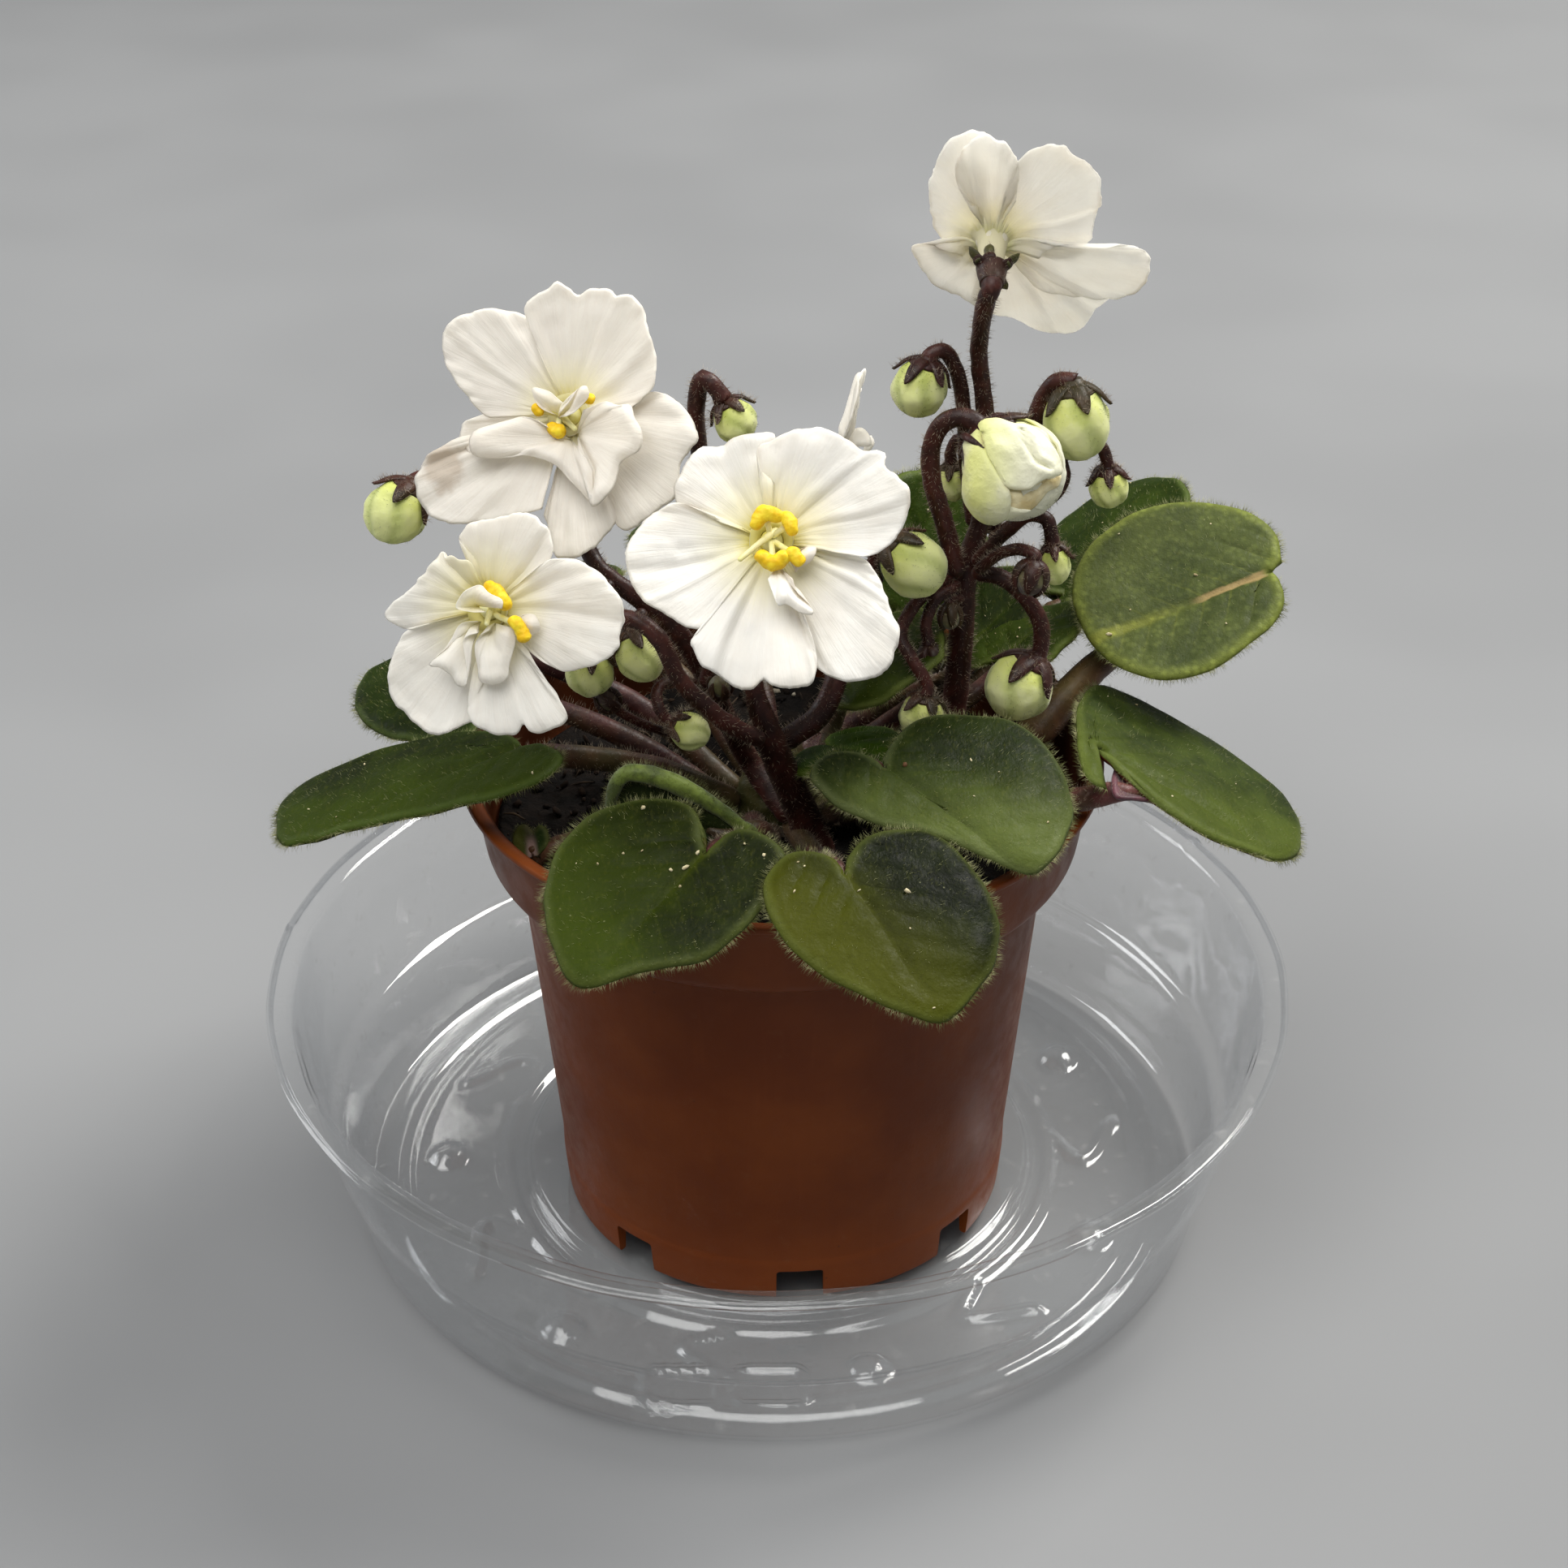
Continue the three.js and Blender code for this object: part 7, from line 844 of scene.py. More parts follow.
    # pale crumbs lying on the blade
    c = rg.integers(3, 6) if not (rear or small) else (2 if rear else 0)
    if c:
        P, N, h, outd, D = scatter(Sf, c, rg, weight=smooth(Sf["D"], 0.5, 2))
        lumps(B, P + N * (h[:, None] + 0.04), rg.uniform(0.09, 0.17, c), 4, rg)
    for cu, cv, cr, cm in CRUMBS.get(name, []):
        dist = (Sf["UV"][..., 0] - cu) ** 2 + (Sf["UV"][..., 1] - cv) ** 2
        q = np.unravel_index(np.argmin(dist), dist.shape)
        P = Sf["mid"][q] + np.array(L["e1"], float) * (cu - Sf["UV"][q][0]) + np.array(L["e2"], float) * (cv - Sf["UV"][q][1])
        lumps(B, P + Sf["nr"][q] * (Sf["h"][q] + 0.06), cr, cm, rg)
    look = dict(DEFAULT_LOOK)
    look.update(LEAF_LOOK.get(name, {}))
    mat = leaf_material(name, seed=0.013 * (k + 1), **look)
    if name == "leaf_behind_front":
        rolled_edge(B, rg)
    if name == "leaf_right_low":
        under_flap(B, L, rg)
    stalk = M_PETIOLE_B if name in ("leaf_right_round", "leaf_small_left") else M_PETIOLE_R if name == "leaf_right_low" else M_PETIOLE
    return B.make(name, [mat, M_HAIR, stalk, M_HAIR_D, M_CRUMB, M_FLAP if name == "leaf_right_low" else M_ROLL, M_FLECK, M_HAIR_P], [name]), Sf


LEAF_SURF = {}
for k, L in enumerate(LEAVES):
    _, LEAF_SURF[L["name"]] = make_leaf(L, k)

# ---------------------------------------------------------------- flowers
M_ANTHER = two_tone("anther", "#e6b80c", "#f5d932", 700, 0.5, 0.00018, 2600, 0.3)
M_FILAMENT = two_tone("filament", "#f0ecb4", "#e6dc78", 500, 0.4, 0.0001, 1800, 0.4)
PETAL_LOOK = {
    "flower_upper_left": dict(white="#faf6ee", glow=0.44, patch=PATCH_UL + (2.9, "#c4ae92", 0.5), pink=0.24, throat="#e6dc74", throat_r=2.4, cream=0.6),
    "flower_centre": dict(brown=0.25, throat_r=3.0, glow=0.30),
    "flower_lower_left": dict(pink=0.16, throat_r=2.8),
    "flower_top_right": dict(pink=0.08, throat="#eceaa8", throat_r=2.0, cream=0.5, brown=0.2, glow=0.56, tissue=0.9),
    "flower_behind": dict(pink=0.1, cream=0.2, throat_r=1.8),
}


def make_flower(Fl, k):
    name = Fl["name"]
    rg = np.random.default_rng(300 + k)
    B = Build()
    o, e1, e2, n = (np.array(Fl[q], float) for q in ("o", "e1", "e2", "n"))
    cup = Fl["cup"]
    for j, p in enumerate(Fl["petals"]):
        inner = p["inner"]
        ns, nt = (82, 20) if not inner else (46, 15)
        rim, _ = catmull(p["rim"], ns)
        base = np.array(p["b"], float)
        s = np.linspace(0, 1, ns)
        rr = np.linalg.norm(rim - base, axis=1, keepdims=True)
        fade = np.clip(np.minimum(s, 1 - s) * 7, 0, 1)
        seed = 11 * k + j
        if inner:
            wob = 0.10 * noise(rim, 0.8, seed)
        else:
            wob = 0.22 * noise(rim, 0.42, seed) + 0.13 * noise(rim, 1.1, seed + 3) + 0.07 * noise(rim, 2.4, seed + 7)
        rim = base + (rim - base) * (1 + (wob * fade)[:, None] / np.maximum(rr, 1.5))
        z0, z1 = p["z"]
        ruf = p["ruf"]
        arc = float(np.linalg.norm(np.diff(rim, axis=0), axis=1).sum())
        kw = max(4.0, arc / 2.1)
        ph = rg.uniform(0, 6.28, 4)
        wamp = {"flower_lower_left": 0.13, "flower_upper_left": 0.11}.get(name, 0.07)
        folds = [(rg.uniform(0.12, 0.88), rg.choice([-1, 1]) * rg.uniform(0.18, 0.42), rg.uniform(0.5, 1.1)) for _ in range(3)]
        curl = rg.uniform(-0.35, 0.45)

        def height(u, v, D, t, S, inner=inner, z0=z0, z1=z1, ruf=ruf, kw=kw, ph=ph, seed=seed, base=base, arc=arc):
            r = np.hypot(u, v)
            z = np.clip(cup * r * r, 0, 4)
            up = smooth(t, 0.0, 0.95) if not inner else np.clip(t, 0, 1) ** 0.75
            z = z + z0 + (z1 - z0) * up
            if not inner:
                z = z - 2.3 * np.exp(-((r / 1.9) ** 2))
            P = np.stack([S * arc * 0.6, r], -1)
            q = t ** 2.2
            z = z + ruf * q * (0.55 * np.sin(S * 2 * np.pi * (arc / 9.5) + ph[0]) + 0.45 * noise(P, 0.33, seed))
            wr = 0.4 * np.sin(S * 2 * np.pi * kw * 0.5 + ph[1] + 1.5 * noise(P, 0.3, seed + 2)) + 0.6 * noise(np.stack([S * arc * 0.9, r * 0.18], -1), 0.9, seed + 4)
            z = z + (wamp if not inner else 0.03) * t ** 1.3 * wr * smooth(t, 0.25, 0.75)
            z = z + 0.12 * noise(P, 0.8, seed + 5) * smooth(t, 0.2, 0.6)
            if not inner:
                # a few soft folds that run out to the rim, and a crinkled rim
                for s0, amp, wd in folds:
                    z = z + amp * np.exp(-(((S - s0 - 0.04 * np.sin(3 * t + s0 * 9)) * arc * (0.35 + 0.65 * t)) / wd) ** 2) * smooth(t, 0.12, 0.5)
                z = z + 0.17 * noise(np.stack([S * arc, D * 0.4], -1), 1.1, seed + 8) * (1 - smooth(D, 0.2, 1.5))
                z = z + curl * (1 - smooth(D, 0.0, 1.3)) ** 2
            else:
                # rolled margins and a keel along the middle
                z = z - 0.75 * (1 - smooth(D, 0.0, 0.95)) ** 1.5 + 0.35 * np.exp(-(((S - 0.5) * arc * t) / 0.8) ** 2) * smooth(t, 0.2, 0.6)
            mid = np.exp(-(((S - 0.5) * arc * t) / 0.7) ** 2) * smooth(t, 0.1, 0.25) * (1 - smooth(t, 0.5, 0.95))
            z = z - (0.22 if not inner else 0.0) * mid
            return z, np.zeros_like(u), np.zeros_like(u)

        Sf = blade(B, o, e1, e2, n, rim, base, height, 0.14 if not inner else 0.13, 0.45, nt, power=1.25, rad_shift=0.0 if not inner else 5.0)
    if name == "flower_behind":
        # two lobes folded back so that they show their faces past the flower in front
        f1, f2, fn = (np.array(q, float) for q in OPEN["frame"])
        for key, sd in (("main", 3), ("low", 4)):
            pts = SLIVER[key]
            rim, _ = catmull(list(pts) + [pts[0]], 64)
            rim = rim[1:-1]

            def lobe_height(u, v, D, t, S, sd=sd):
                P = np.stack([u, v], -1)
                return 0.35 * np.sin(v * 0.7 + sd) + 0.12 * noise(P, 0.9, sd) - 0.25 * (1 - smooth(D, 0, 0.5)), np.zeros_like(u), np.zeros_like(u)

            blade(B, SLIVER["o"], f1, f2, fn, rim, pts[0], lobe_height, 0.12, 0.3, 12, power=1.2)
            B.a["rad"][-1] = B.a["rad"][-1] * 0 + 8.0
    # the short tube behind the limb, hollow at the mouth
    a = np.linspace(0, 2 * np.pi, 33)[:-1]
    prof = [(1.0, -1.5), (1.3, -0.4), (2.1, 0.15), (2.2, -0.15), (1.75, -1.0), (1.4, -2.4), (1.2, -3.8), (1.1, -4.75)]
    rings = [[o + n * z + r * (1 + 0.03 * np.cos(5 * t)) * (math.cos(t) * e1 + math.sin(t) * e2) for t in a] for r, z in prof]
    V, F = ring_skin(rings)
    zz = np.repeat([z for _, z in prof], 32)
    rr = np.concatenate([np.repeat([2.2 if i < 3 else 4.6 for i in range(len(prof))], 32), [1.0, 4.6]])
    B.add(V, F, 0, rad=rr, edge=2.0, side=1.0)
    look = PETAL_LOOK.get(name, {})
    mat = petal_material(name, **look)
    ob = B.make(name, [mat], [name])
    # stamens: swollen anthers on short filaments, and the style
    A = ANTHERS[name]
    B = Build()

    def P3(q):
        return o + q[0] * e1 + q[1] * e2 + q[2] * n

    for pl, r in A["anth"]:
        pts = [P3(q) for q in pl]
        if len(pts) == 2 and np.linalg.norm(pts[0] - pts[1]) < 0.15:
            pts[1] = pts[0] + e1 * 0.3
        V, F, info = tube(pts, [r * 1.08] + [r * 1.22] * (len(pts) - 2) + [r * 1.12], 18, 9 * len(pts), round0=True, round1=True, rough=0.2, seed=5 + k)
        B.add(V, F, 0)
    for q in A["fil"]:
        a0, b0 = P3(q[0]), P3(q[1])
        m = (a0 + b0) / 2 + n * 0.45
        V, F, info = tube([a0 - n * 0.6, a0 + n * 0.2, m, b0 - n * 0.25], [0.34, 0.32, 0.30, 0.34], 10, 14, round1=True)
        B.add(V, F, 1)
    a0, b0 = P3(A["style"][0]), P3(A["style"][1])
    V, F, info = tube([a0 - n * 1.2, a0, (a0 + b0) / 2 + n * 0.25, b0], [0.42, 0.40, 0.30, 0.26], 12, 18, round1=True)
    B.add(V, F, 1)
    # small disc at the bottom of the tube's mouth that carries them
    rings = [[o + n * z + r * (math.cos(t) * e1 + math.sin(t) * e2) for t in a[::2]] for r, z in [(1.05, -1.3), (1.2, -0.9), (1.0, -0.3), (0.55, 0.15)]]
    V, F = ring_skin(rings)
    B.add(V, F, 1)
    sname = name.replace("flower", "stamens")
    B.make(sname, [M_ANTHER, M_FILAMENT], [sname])


for k, Fl in enumerate(FLOWERS):
    make_flower(Fl, k)

# ---------------------------------------------------------------- stems and buds
M_STEM = stem_material("flower_stalk", "#240d08", "#47211a", "#7a5240", 0.2)
M_TUBE = petal_material("corolla_tube", white="#f6f1e2", throat="#efeacb", inner="#f1ecd4", pink=0.1, cream=0.5, glow=0.5, tissue=0.9)
M_SEPAL = stem_material("calyx", "#220d0a", "#3e1c16", "#6a4a3a", 0.15, "#4f5a28", 0.18)
M_SEPAL_G = stem_material("calyx_tips", "#35331a", "#4d4a24", "#7d7a4a", 0.3, "#5f6b30", 0.6)


def sepal(B, root, axis, side, length, width, spread, mat=1, hook=0.25, thick=0.16, ns=9, nt=9):
    """A narrow pointed sepal from root, leaning from axis towards side."""
    axis, side = unit(axis), unit(side)
    third = np.cross(axis, side)
    pts, rad = [], []
    C = []
    for i in range(nt + 1):
        t = i / nt
        ang = spread * (0.35 + 0.65 * t) - hook * t * t
        C.append((math.sin(ang), math.cos(ang)))
    P = [np.array(root, float)]
    for i in range(nt):
        sx, ax = C[i]
        P.append(P[-1] + (side * sx + axis * ax) * (length / nt))
    P = np.array(P)
    T = unit(np.gradient(P, axis=0))
    up = unit(np.cross(third, T))
    w = width * 0.5 * np.array([0.85 + 0.35 * math.sin(math.pi * min(1, 1.1 * i / nt)) for i in range(nt + 1)]) * np.array([1 - 0.93 * max(0, (i / nt - 0.35) / 0.65) ** 1.4 for i in range(nt + 1)])
    rings = []
    for i in range(nt + 1):
        ring = []
        for j in range(ns + 1):
            q = j / ns * 2 * math.pi
            x, y = math.cos(q), math.sin(q)
            th = thick * (0.6 + 0.4 * (1 - abs(x))) * (1 - 0.6 * i / nt)
            ring.append(P[i] + third * w[i] * x + up * (th * y - 0.12 * w[i] * x * x))
        rings.append(ring[:-1])
    V, F = ring_skin(rings)
    B.add(V, F, mat)
    return P, T, third, up, w


def strap(B, root, tip, side, axis, width, mat, hmat, rg, ns=10, nt=10, taper=1.0):
    """A blunt hairy sepal from root to tip, bowed a little away from the axis."""
    root, tip = np.asarray(root, float), np.asarray(tip, float)
    L = np.linalg.norm(tip - root)
    mid = (root + tip) / 2 + side * 0.16 * L
    C, _ = catmull([root - axis * 0.4, root, mid, tip], nt + 1)
    T = unit(np.gradient(C, axis=0))
    third = unit(np.cross(T, side))
    up = unit(np.cross(third, T))
    up = up * np.sign((up * side).sum(1, keepdims=True) + 1e-9)
    t = np.linspace(0, 1, nt + 1)
    w = width * 0.5 * (0.85 + 0.3 * np.sin(np.pi * np.clip(t * 1.1, 0, 1))) * np.sqrt(np.clip(1 - taper * np.clip((t - 0.45) / 0.56, 0, 1) ** 1.7, 0.02, 1))
    q = np.arange(ns) / ns * 2 * np.pi
    x, y = np.cos(q), np.sin(q)
    th = 0.17 * (1 - 0.5 * t)
    R = C[:, None] + third[:, None] * (w[:, None] * x)[..., None] + up[:, None] * (th[:, None] * y - 0.10 * w[:, None] * x * x)[..., None]
    V, F = ring_skin(R)
    B.add(V, F, mat)
    m = 26
    i = rg.integers(1, nt + 1, m)
    P = C[i] + third[i] * (w[i] * rg.uniform(-1, 1, m))[:, None]
    spikes(B, P, up[i] * 0.8 + 0.6 * rg.normal(size=(m, 3)), 0.5, 0.022, hmat, rg)


for k, S in enumerate(STEMS):
    rg = np.random.default_rng(500 + k)
    B = Build()
    n_steps = 16 * (len(S["pts"]) - 1) // 3 * 2
    fl = {"peduncle_right": "flower_top_right", "peduncle_centre": "flower_centre", "peduncle_left": "flower_upper_left", "pedicel_lower_left": "flower_lower_left", "pedicel_behind": "flower_behind"}[S["name"]]
    Fl = next(f for f in FLOWERS if f["name"] == fl)
    o, e1, e2, n = (np.array(Fl[q], float) for q in ("o", "e1", "e2", "n"))
    cb = 2.3 if S["name"] == "peduncle_right" else 0.0
    pts = [np.array(q, float) for q in S["pts"][:-2]] + [o - n * (6.2 + cb), o - n * (5.0 + cb)]
    if S["name"] == "peduncle_right":
        pts = pts[:-4] + [pts[-3] * 0.5 + pts[-4] * 0.5, pts[-2], pts[-1]]
        r_ = list(S["r"][:len(pts) - 3]) + [0.97, 1.0, 1.2]
    else:
        r_ = list(S["r"][:len(pts) - 2]) + [1.0, 1.25]
    V, F, info = tube(pts, r_, 16, min(120, max(50, n_steps)), round0=True, rough=0.07, seed=40 + k)
    B.add(V, F, 0)
    ln = np.linalg.norm(np.diff(info[0], axis=0), axis=1).sum()
    tube_hairs(B, info, int(ln * 34), 0.72, 0.024, 2, rg, lo=0.0, hi=0.98)
    # calyx round the corolla tube: a short cup and five blunt sepals lying up the tube
    V, F, info = tube([o - n * (5.6 + cb), o - n * (4.9 + cb), o - n * (4.0 + cb), o - n * (3.1 + cb)], [1.2, 1.3, 1.5, 1.62], 24, 14, rough=0.05, seed=90 + k)
    B.add(V, F, 1)
    tube_hairs(B, info, 70, 0.55, 0.024, 2, rg)
    tips = SEPALS_TOP if fl == "flower_top_right" else None
    for j in range(5):
        a = math.radians(72 * j + 18 + 7 * k)
        side = math.cos(a) * e1 + math.sin(a) * e2
        if tips:
            tip = np.array(tips[j], float)
            side = tip - o
            side = unit(side - n * (side @ n))
            root = o - n * (3.6 + cb) + side * 1.2
        else:
            root = o - n * 3.6 + side * 1.4
            tip = o - n * 1.3 + side * 2.9
        mid = root * 0.45 + tip * 0.55 + side * 0.12
        strap(B, root, mid, side, n, 1.25, 1, 2, rg, taper=0.35)
        strap(B, mid - unit(tip - root) * 0.5, tip, side, n, 0.95, 3, 2, rg)
    if cb:
        # corolla tube between calyx and lobes
        V, F, info = tube([o - n * 5.8, o - n * 4.4, o - n * 3.0, o - n * 1.6, o - n * 0.5], [1.25, 1.28, 1.36, 1.6, 2.2], 28, 20, rough=0.04, seed=97)
        B.add(V, F, 4)
    B.make(S["name"], [M_STEM, M_SEPAL, M_HAIR_D, M_SEPAL_G, M_TUBE], [S["name"]])


def bud_material():
    g = Graph("bud_skin")
    s, ray = g.attr("lu"), g.attr("ray")
    n1 = g.noise(260, 3, 0.6)
    n2 = g.noise(1500, 3, 0.6)
    c = g.mix(g.ramp(s, -0.9, 0.5), lin("#d8df74"), lin("#f0f4ac"))
    c = g.mix(g.ramp(n1, 0.42, 0.68, 0.0, 0.5), c, lin("#f0f1c0"))
    c = g.mix(g.ramp(n2, 0.5, 0.8, 0.0, 0.25), c, lin("#f0efd0"))
    c = g.mix(g.math("MULTIPLY", g.ramp(g.attr("edge"), 0.0, 0.35, 1.0, 0.0), 0.45), c, lin("#97a840"))
    nb = g.bump(n2, 0.35, 0.0002)
    p = g.shade(c, g.ramp(n2, 0.3, 0.7, 0.4, 0.55), nb, Specular_IOR_Level=0.4, Sheen_Weight=0.25, Sheen_Roughness=0.4)
    t = g.node("ShaderNodeBsdfTranslucent", {"Color": c}).outputs[0]
    return g.done(g.node("ShaderNodeMixShader", {0: 0.25, 1: p, 2: t}).outputs[0])


M_BUD = bud_material()
M_YOUNG = two_tone("young_bud", "#5e5a34", "#3b2420", 500, 0.5, 0.0002, 1500, 0.4, sheen=0.3)


def bud_frame(Bd):
    c, last = np.array(Bd["c"], float), np.array(Bd["pts"][-1], float)
    axis = unit(c - last)
    ref = np.array([0, -1.0, 0]) if abs(axis[1]) < 0.9 else np.array([1.0, 0, 0])
    e1 = unit(ref - axis * (ref @ axis))
    return c, axis, e1, np.cross(axis, e1)


def bud_profile(x):
    """radius share at x from -1 (stalk end) to 1 (tip)"""
    return np.sqrt(np.clip(1 - np.abs(x) ** 2.2, 0, 1)) * (1 - 0.10 * np.clip(x, 0, 1) ** 2)


def make_bud(Bd, k):
    name = Bd["name"]
    rg = np.random.default_rng(700 + k)
    B = Build()
    c, axis, e1, e2 = bud_frame(Bd)
    r, Lh = Bd["r"], Bd["r"] * Bd["el"]
    opening = name == "flower_opening"
    young = name.startswith("bud_young") or name == "bud_left_tiny"
    big = r > 1.6
    # body of folded petals
    nx, na = (26, 50) if big else (16, 30)
    x = -np.cos(np.linspace(0.06, np.pi - 0.05, nx))
    ang = np.arange(na) / na * 2 * np.pi
    X, A = np.meshgrid(x, ang, indexing="ij")
    seam = (5 * A / (2 * np.pi) + 0.45 * X + 0.13 * k) % 1.0
    sd = np.minimum(seam, 1 - seam)
    lobe = 0.075 * (1 - np.exp(-(sd / 0.12) ** 2)) + 0.035 * (seam - 0.5)
    R = r * bud_profile(X) * (0.955 + lobe * smooth(X, -0.6, 0.3))
    P = c + axis * (X[..., None] * Lh) + R[..., None] * (np.cos(A)[..., None] * e1 + np.sin(A)[..., None] * e2)
    nrm = unit(P - c - axis * (X[..., None] * Lh * 0.6))
    P = P + nrm * (0.045 * r * noise(P, 2.2 / r, k) + 0.022 * r * noise(P, 5 / r, k + 5))[..., None]
    V, F = ring_skin(P)
    lu = np.concatenate([X.ravel(), [-1, 1]])
    ed = np.concatenate([sd.ravel(), [0.3, 0.3]])
    B.add(V, F, 0, lu=lu, edge=ed)
    if opening:
        open_petals(B, Bd, c, axis, e1, e2, rg)
        front_petals(B, c, rg)
    # calyx: a cup and five sepals lying on the bud
    cup_x = -0.80 if not young else -0.45
    rings = []
    for x0, f in [(-1.12, Bd["pr"] * 1.1 / r), (-1.03, 0.34), (-0.93, 0.50), (cup_x - 0.02, None), (cup_x + 0.06, None)]:
        rad = r * (bud_profile(np.array(max(x0, -0.985))) * 1.07 + 0.02) if f is None else r * f
        if f is None and x0 > cup_x:
            rad = r * bud_profile(np.array(x0)) * 0.97
        rings.append([c + axis * (x0 * Lh) + rad * (math.cos(t) * e1 + math.sin(t) * e2) for t in np.arange(20) / 20 * 2 * np.pi])
    V, F = ring_skin(rings)
    B.add(V, F, 1)
    reach = -0.25 if not young else 0.85
    if opening:
        reach = -0.45
    for j in range(5):
        a0 = 2 * np.pi * j / 5 + 0.35 + 0.3 * k
        nt, nw = 12, 5
        xs = np.linspace(-0.97, reach + 0.12 * rg.uniform(-1, 1), nt + 1)
        half = (0.33 if not young else 0.62) * np.clip(1 - np.linspace(0, 1, nt + 1) ** 2.2, 0.02, 1) ** 0.75
        top, bot = [], []
        for i in range(nt + 1):
            rowt, rowb = [], []
            rad = r * float(bud_profile(np.array(xs[i])))
            rad = max(rad, 0.30 * r)
            lift = 0.13 + 0.02 * r + (0.30 * max(0, (i / nt - 0.6) / 0.4) ** 2 if not young else 0.0)
            wmm = half[i] * r * 0.8
            for q in np.linspace(-1, 1, nw):
                th = a0 + q * wmm / max(rad, 0.35 * r)
                d = math.cos(th) * e1 + math.sin(th) * e2
                thick = 0.16 * (1 - q * q) + 0.03
                nn = unit(d + axis * (xs[i] * 0.8))
                base = c + axis * (xs[i] * Lh) + d * rad
                rowt.append(base + nn * (lift + thick))
                rowb.append(base + nn * (lift - 0.14))
            top.append(rowt)
            bot.append(rowb)
        rings = [np.vstack([t_, b_[::-1]]) for t_, b_ in zip(np.array(top), np.array(bot))]
        V, F = ring_skin(rings)
        B.add(V, F, 1)
        m = 48 if big else 16
        tp = np.array(top)
        ii, jj = rg.integers(0, nt, m), rg.integers(0, nw, m)
        pp = tp[ii, jj]
        spikes(B, pp, unit(pp - c) + 0.5 * rg.normal(size=(m, 3)), 0.75, 0.024, 2, rg)
    # stalk
    pts = [np.array(q, float) for q in Bd["pts"]]
    end = c - axis * (Lh * 1.02)
    pts[-1] = pts[-1] * 0.5 + (end - axis * 0.9) * 0.5
    pts.append(end)
    rad = [Bd["pr"]] * (len(pts) - 1) + [Bd["pr"] * 1.2]
    V, F, info = tube(pts, rad, 12, max(16, 9 * len(pts)), round0=True, rough=0.05, seed=60 + k)
    B.add(V, F, 3)
    ln = np.linalg.norm(np.diff(info[0], axis=0), axis=1).sum()
    tube_hairs(B, info, int(ln * 36), 0.72, 0.024, 2, rg)
    # down on the bud itself
    m = int(30 * r * r) + 30
    a1 = rg.uniform(0, 2 * np.pi, m)
    x1 = rg.uniform(-0.8, 0.95, m)
    d = np.cos(a1)[:, None] * e1 + np.sin(a1)[:, None] * e2
    pb = c + axis * (x1 * Lh)[:, None] + d * (r * bud_profile(x1))[:, None] * 0.98
    spikes(B, pb, d + axis * (x1 * 0.8)[:, None] + 0.3 * rg.normal(size=(m, 3)), 0.34, 0.018, 4, rg)
    skin_mat = M_OPEN if opening else (M_YOUNG if young else M_BUD)
    mats = [skin_mat, M_SEPAL, M_HAIR_D, M_STEM, M_HAIR] + ([M_OPEN_IN] if opening else [])
    B.make(name, mats, [name])


def open_material():
    g = Graph("opening_petals")
    s, edge, side = g.attr("lu"), g.attr("edge"), g.attr("side")
    n1 = g.noise(240, 4, 0.6)
    n2 = g.noise(1300, 3, 0.6)
    c = g.mix(g.ramp(s, -0.9, 0.3), lin("#eef09c"), lin("#fffee6"))
    c = g.mix(g.ramp(n1, 0.4, 0.7, 0.0, 0.6), c, lin("#fbf9e2"))
    c = g.mix(g.ramp(n2, 0.55, 0.8, 0.0, 0.2), c, lin("#e8e4b8"))
    c = g.mix(g.math("MULTIPLY", g.ramp(edge, 0.0, 0.45, 1.0, 0.0), g.ramp(g.noise(420, 3), 0.45, 0.7, 0.0, 0.5)), c, lin("#c9b98a"))
    nb = g.bump(g.math("ADD", n1, g.math("MULTIPLY", n2, 0.4)), 0.6, 0.0005)
    p = g.shade(c, 0.5, nb, Specular_IOR_Level=0.35, Sheen_Weight=0.15)
    t = g.node("ShaderNodeBsdfTranslucent", {"Color": c}).outputs[0]
    return g.done(g.node("ShaderNodeMixShader", {0: 0.25, 1: p, 2: t}).outputs[0])


M_OPEN = open_material()
M_OPEN_IN = two_tone("petal_mouth", "#cdb983", "#f3e9bf", 260, 0.55, 0.0004, 1400, 0.4)


